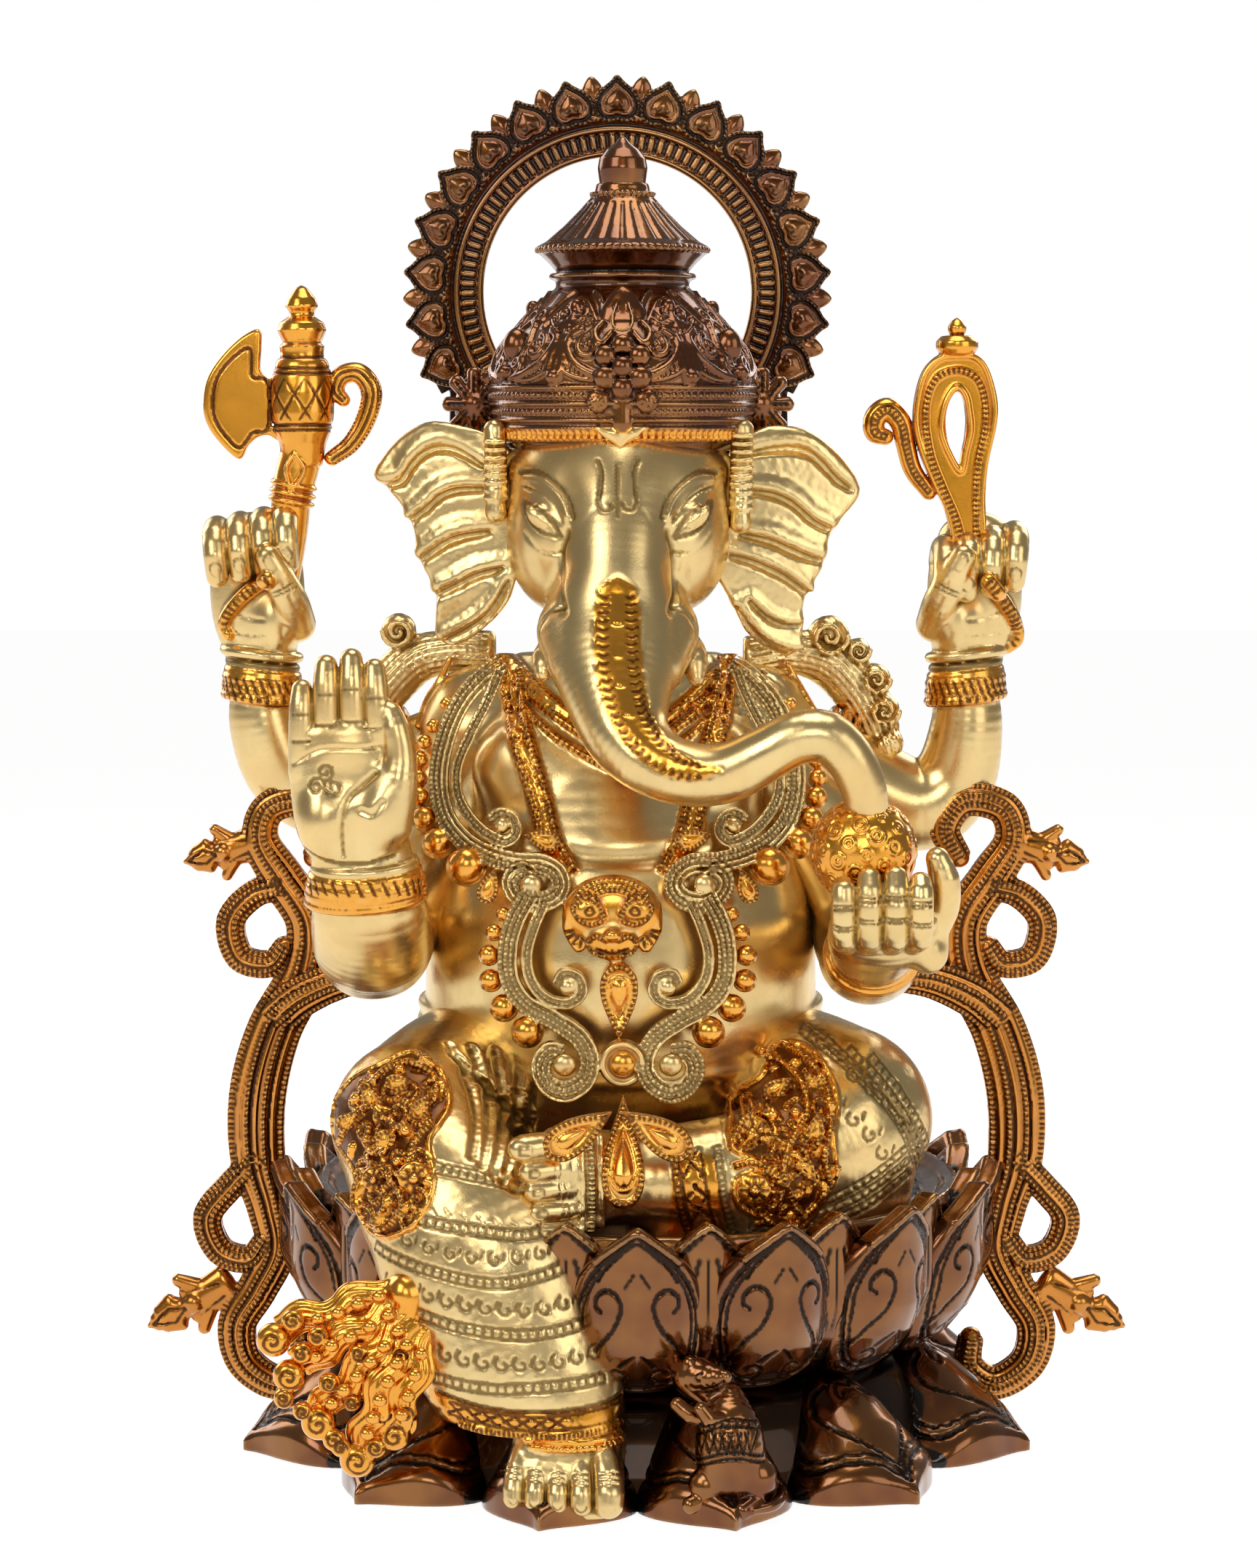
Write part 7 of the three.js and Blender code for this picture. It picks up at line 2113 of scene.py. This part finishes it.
def cast_metal(name):
    """Cast brass under tinted lacquers, which are painted on the clay."""
    made = bpy.data.materials.new(name)
    made.use_nodes = True
    tree = made.node_tree
    tree.nodes.clear()
    out = tree.nodes.new("ShaderNodeOutputMaterial")
    skin = tree.nodes.new("ShaderNodeBsdfPrincipled")
    tree.links.new(skin.outputs[0], out.inputs[0])
    tint = attribute(tree, "tint")
    fine_shade_and_highlight = attribute(tree, "fine_shade_and_highlight")
    broad_shade = attribute(tree, "broad_shade")
    last = len(TINT_COLOURS) - 1
    scaled = maths(tree, "DIVIDE", tint, last)
    layers = [[(i / last, colours[layer]) for i,
        colours in enumerate(TINT_COLOURS)] for layer in range(3)]
    body, deep, black = (ramp(tree, scaled, stops) for stops in layers)
    lacquer = span(tree, tint, 0.0, 1.0)
    patina_and_shade = span(tree, attribute(tree, "patina_and_shade"), 0.15, 0.75, 0.0, 0.9)
    cloudy = noise(tree, 60.0, 5.0)
    grain = noise(tree, 900.0, 3.0, 0.7)
    body = mix(tree, span(tree, cloudy, 0.35, 0.7, 0.0, 0.34), body, mix(tree, 0.5, body, deep))
    stained = span(tree, noise(tree, 24.0, 3.0), 0.42, 0.66, 0.0, 0.5)
    body = mix(tree, stained, body, mix(tree, 0.30, body, (0.95, 0.45, 0.08)))
    # painted shade: darker towards the recess colour where the surface is hollow at fine and broad scale,
    # with a little random grain
    hollow = maths(tree, "ADD", span(tree, fine_shade_and_highlight, -0.02, -0.30), span(tree, broad_shade, -0.04, -0.5, 0.0, 0.75))
    hollow = maths(tree, "ADD", hollow, span(tree, grain, 0.5, 0.8, -0.12, 0.12))
    hollow = span(tree, hollow, 0.12, 0.85)
    colour = mix(tree, hollow, body, deep)
    # painted highlight: lighter and warmer on sharp convex edges
    high = span(tree, fine_shade_and_highlight, 0.10, 0.40, 0.0, 0.35)
    colour = mix(tree, high, colour, mix(tree, 0.55, body, (0.95, 0.62, 0.22)))
    # patina in cuts, and the painted shade of the dark sheets
    colour = mix(tree, patina_and_shade, colour, black)
    tree.links.new(colour, skin.inputs["Base Color"])
    skin.inputs["Metallic"].default_value = 1.0
    dull = mix(tree, lacquer, (0.27, 0.27, 0.27), (0.22, 0.22, 0.22))
    rough = maths(tree, "ADD", dull, span(tree, cloudy, 0.3, 0.7, -0.05, 0.06))
    rough = maths(tree, "ADD", rough, maths(tree, "MULTIPLY", hollow, 0.25))
    rough = maths(tree, "ADD", rough, maths(tree, "MULTIPLY", patina_and_shade, 0.12))
    coat = maths(tree, "MULTIPLY", lacquer, maths(tree, "SUBTRACT", 0.8, maths(tree, "MULTIPLY", patina_and_shade,
        0.6)))
    tree.links.new(rough, skin.inputs["Roughness"])
    tree.links.new(coat, skin.inputs["Coat Weight"])
    skin.inputs["Coat Roughness"].default_value = 0.06
    bump = tree.nodes.new("ShaderNodeBump")
    bump.inputs["Strength"].default_value = 0.12
    bump.inputs["Distance"].default_value = 0.0006
    tree.links.new(maths(tree, "ADD", maths(tree, "MULTIPLY", grain, 0.5), cloudy), bump.inputs["Height"])
    tree.links.new(bump.outputs[0], skin.inputs["Normal"])
    return made


def plain_steel():
    made = bpy.data.materials.new("zinc_steel")
    made.use_nodes = True
    tree = made.node_tree
    skin = tree.nodes["Principled BSDF"]
    skin.inputs["Metallic"].default_value = 1.0
    tree.links.new(ramp(tree, noise(tree, 300.0), [(0.3, (0.42, 0.42, 0.40)), (0.7, (0.62, 0.62, 0.58))]),
        skin.inputs["Base Color"])
    tree.links.new(span(tree, noise(tree, 500.0), 0.3, 0.7, 0.3, 0.45), skin.inputs["Roughness"])
    return made


# ---- floor, light and camera, in metres ----
FLOOR_HALF = 6.0
FLOOR_DROP = 0.0004  # keeps the floor clear of the idol's foot
TENT_GREY = (0.22, 0.215, 0.21)
LIT_POINT = Vector((0, 0, 0.28))
LAMPS = (  # name, place, size, power
    ("key", (-1.3, -1.7, 1.5), 1.1, 15),
    ("fill", (1.5, -1.5, 0.9), 1.2, 8),
    ("front", (0.0, -2.3, 1.0), 0.7, 6),
    ("top", (0.1, -0.1, 1.9), 1.0, 10),
    ("rim", (0.9, 1.3, 1.1), 1.0, 8),
    ("rim_left", (-1.1, 1.0, 0.9), 1.0, 8),
)
CAMERA_AT = (-0.0033, -1.6, 0.42)
CAMERA_DOWN = 5.42  # degrees
CAMERA_LENS = 89.55  # millimetres, on a 36 mm sensor


def add(name, data):
    made = bpy.data.objects.new(name, data)
    bpy.context.scene.collection.objects.link(made)
    return made


def paper_floor():
    mesh = bpy.data.meshes.new("floor")
    r = FLOOR_HALF
    mesh.from_pydata([(-r, -r, 0), (r, -r, 0), (r, r, 0), (-r, r, 0)], [], [(0, 1, 2, 3)])
    floor = add("floor", mesh)
    floor.location.z = -FLOOR_DROP
    made = bpy.data.materials.new("floor_paper")
    made.use_nodes = True
    tree = made.node_tree
    skin = tree.nodes["Principled BSDF"]
    skin.inputs["Roughness"].default_value = 0.8
    skin.inputs["Specular IOR Level"].default_value = 0.1
    paper = ramp(tree, noise(tree, 3.0), [(0.0, (0.22, 0.22, 0.22)), (1.0, (0.24, 0.24, 0.24))])
    tree.links.new(paper, skin.inputs["Base Color"])
    skin.inputs["Emission Color"].default_value = (1, 1, 1, 1)
    skin.inputs["Emission Strength"].default_value = 0.92
    mesh.materials.append(made)


def light_tent():
    """A white backdrop that lights the idol only softly, and the lamps round it."""
    world = bpy.data.worlds.new("light_tent")
    bpy.context.scene.world = world
    world.use_nodes = True
    tree = world.node_tree
    back = tree.nodes["Background"]
    path = tree.nodes.new("ShaderNodeLightPath")
    seen = mix(tree, path.outputs["Is Camera Ray"], TENT_GREY, (1.0, 1.0, 1.0))
    tree.links.new(seen, back.inputs["Color"])
    back.inputs["Strength"].default_value = 1.0
    for name, at, size, power in LAMPS:
        lamp = bpy.data.lights.new(name, "AREA")
        lamp.size = size
        lamp.energy = power
        made = add(name, lamp)
        made.location = at
        made.rotation_euler = (LIT_POINT - Vector(at)).to_track_quat("-Z", "Y").to_euler()


def camera():
    cam = bpy.data.cameras.new("camera")
    cam.sensor_width = 36.0
    cam.lens = CAMERA_LENS
    cam.clip_end = 50
    eye = add("camera", cam)
    eye.location = CAMERA_AT
    eye.rotation_euler = (math.radians(90 - CAMERA_DOWN), 0, 0)
    bpy.context.scene.camera = eye
    bpy.context.scene.view_settings.view_transform = "Standard"


# ---- the idol ----
build_head()
build_ear("ear_right_casting", "ear_right", EAR_RIGHT, EAR_FOLDS_RIGHT)
build_ear("ear_left_casting", "ear_left", EAR_LEFT, EAR_FOLDS_LEFT)
build_crown()
build_halo()
build_lotus()
build_mouse()
build_leg_right()
build_leg_left()
build_sash()
build_torso()
for side in (-1, 1):
    build_arm_upper(side)
build_arm_lower_right()
build_arm_lower_left()
build_axe()
build_noose()
build_modak()
build_breast_ornament()
for side in (-1, 1):
    build_shoulder_sash(side)
for side in (-1, 1):
    build_side_scroll(side)

metals = {
    "pale_brass": cast_metal("pale_brass"),
    "gold_lacquer": cast_metal("gold_lacquer"),
    "copper_lacquer": cast_metal("copper_lacquer"),
    "zinc_steel": plain_steel(),
}
slot_of = {part["node"]: part["material_slot"] for part in frame["record"]["subparts"]}
for made in bpy.context.scene.objects:
    if made.type != "MESH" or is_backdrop(made):
        continue
    slot = made.get("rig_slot") or slot_of.get(made.get("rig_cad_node"))
    if not made.data.materials:
        made.data.materials.append(metals[slot])
    else:
        for i in range(len(made.material_slots)):
            made.material_slots[i].material = metals[slot]
paper_floor()
light_tent()
camera()
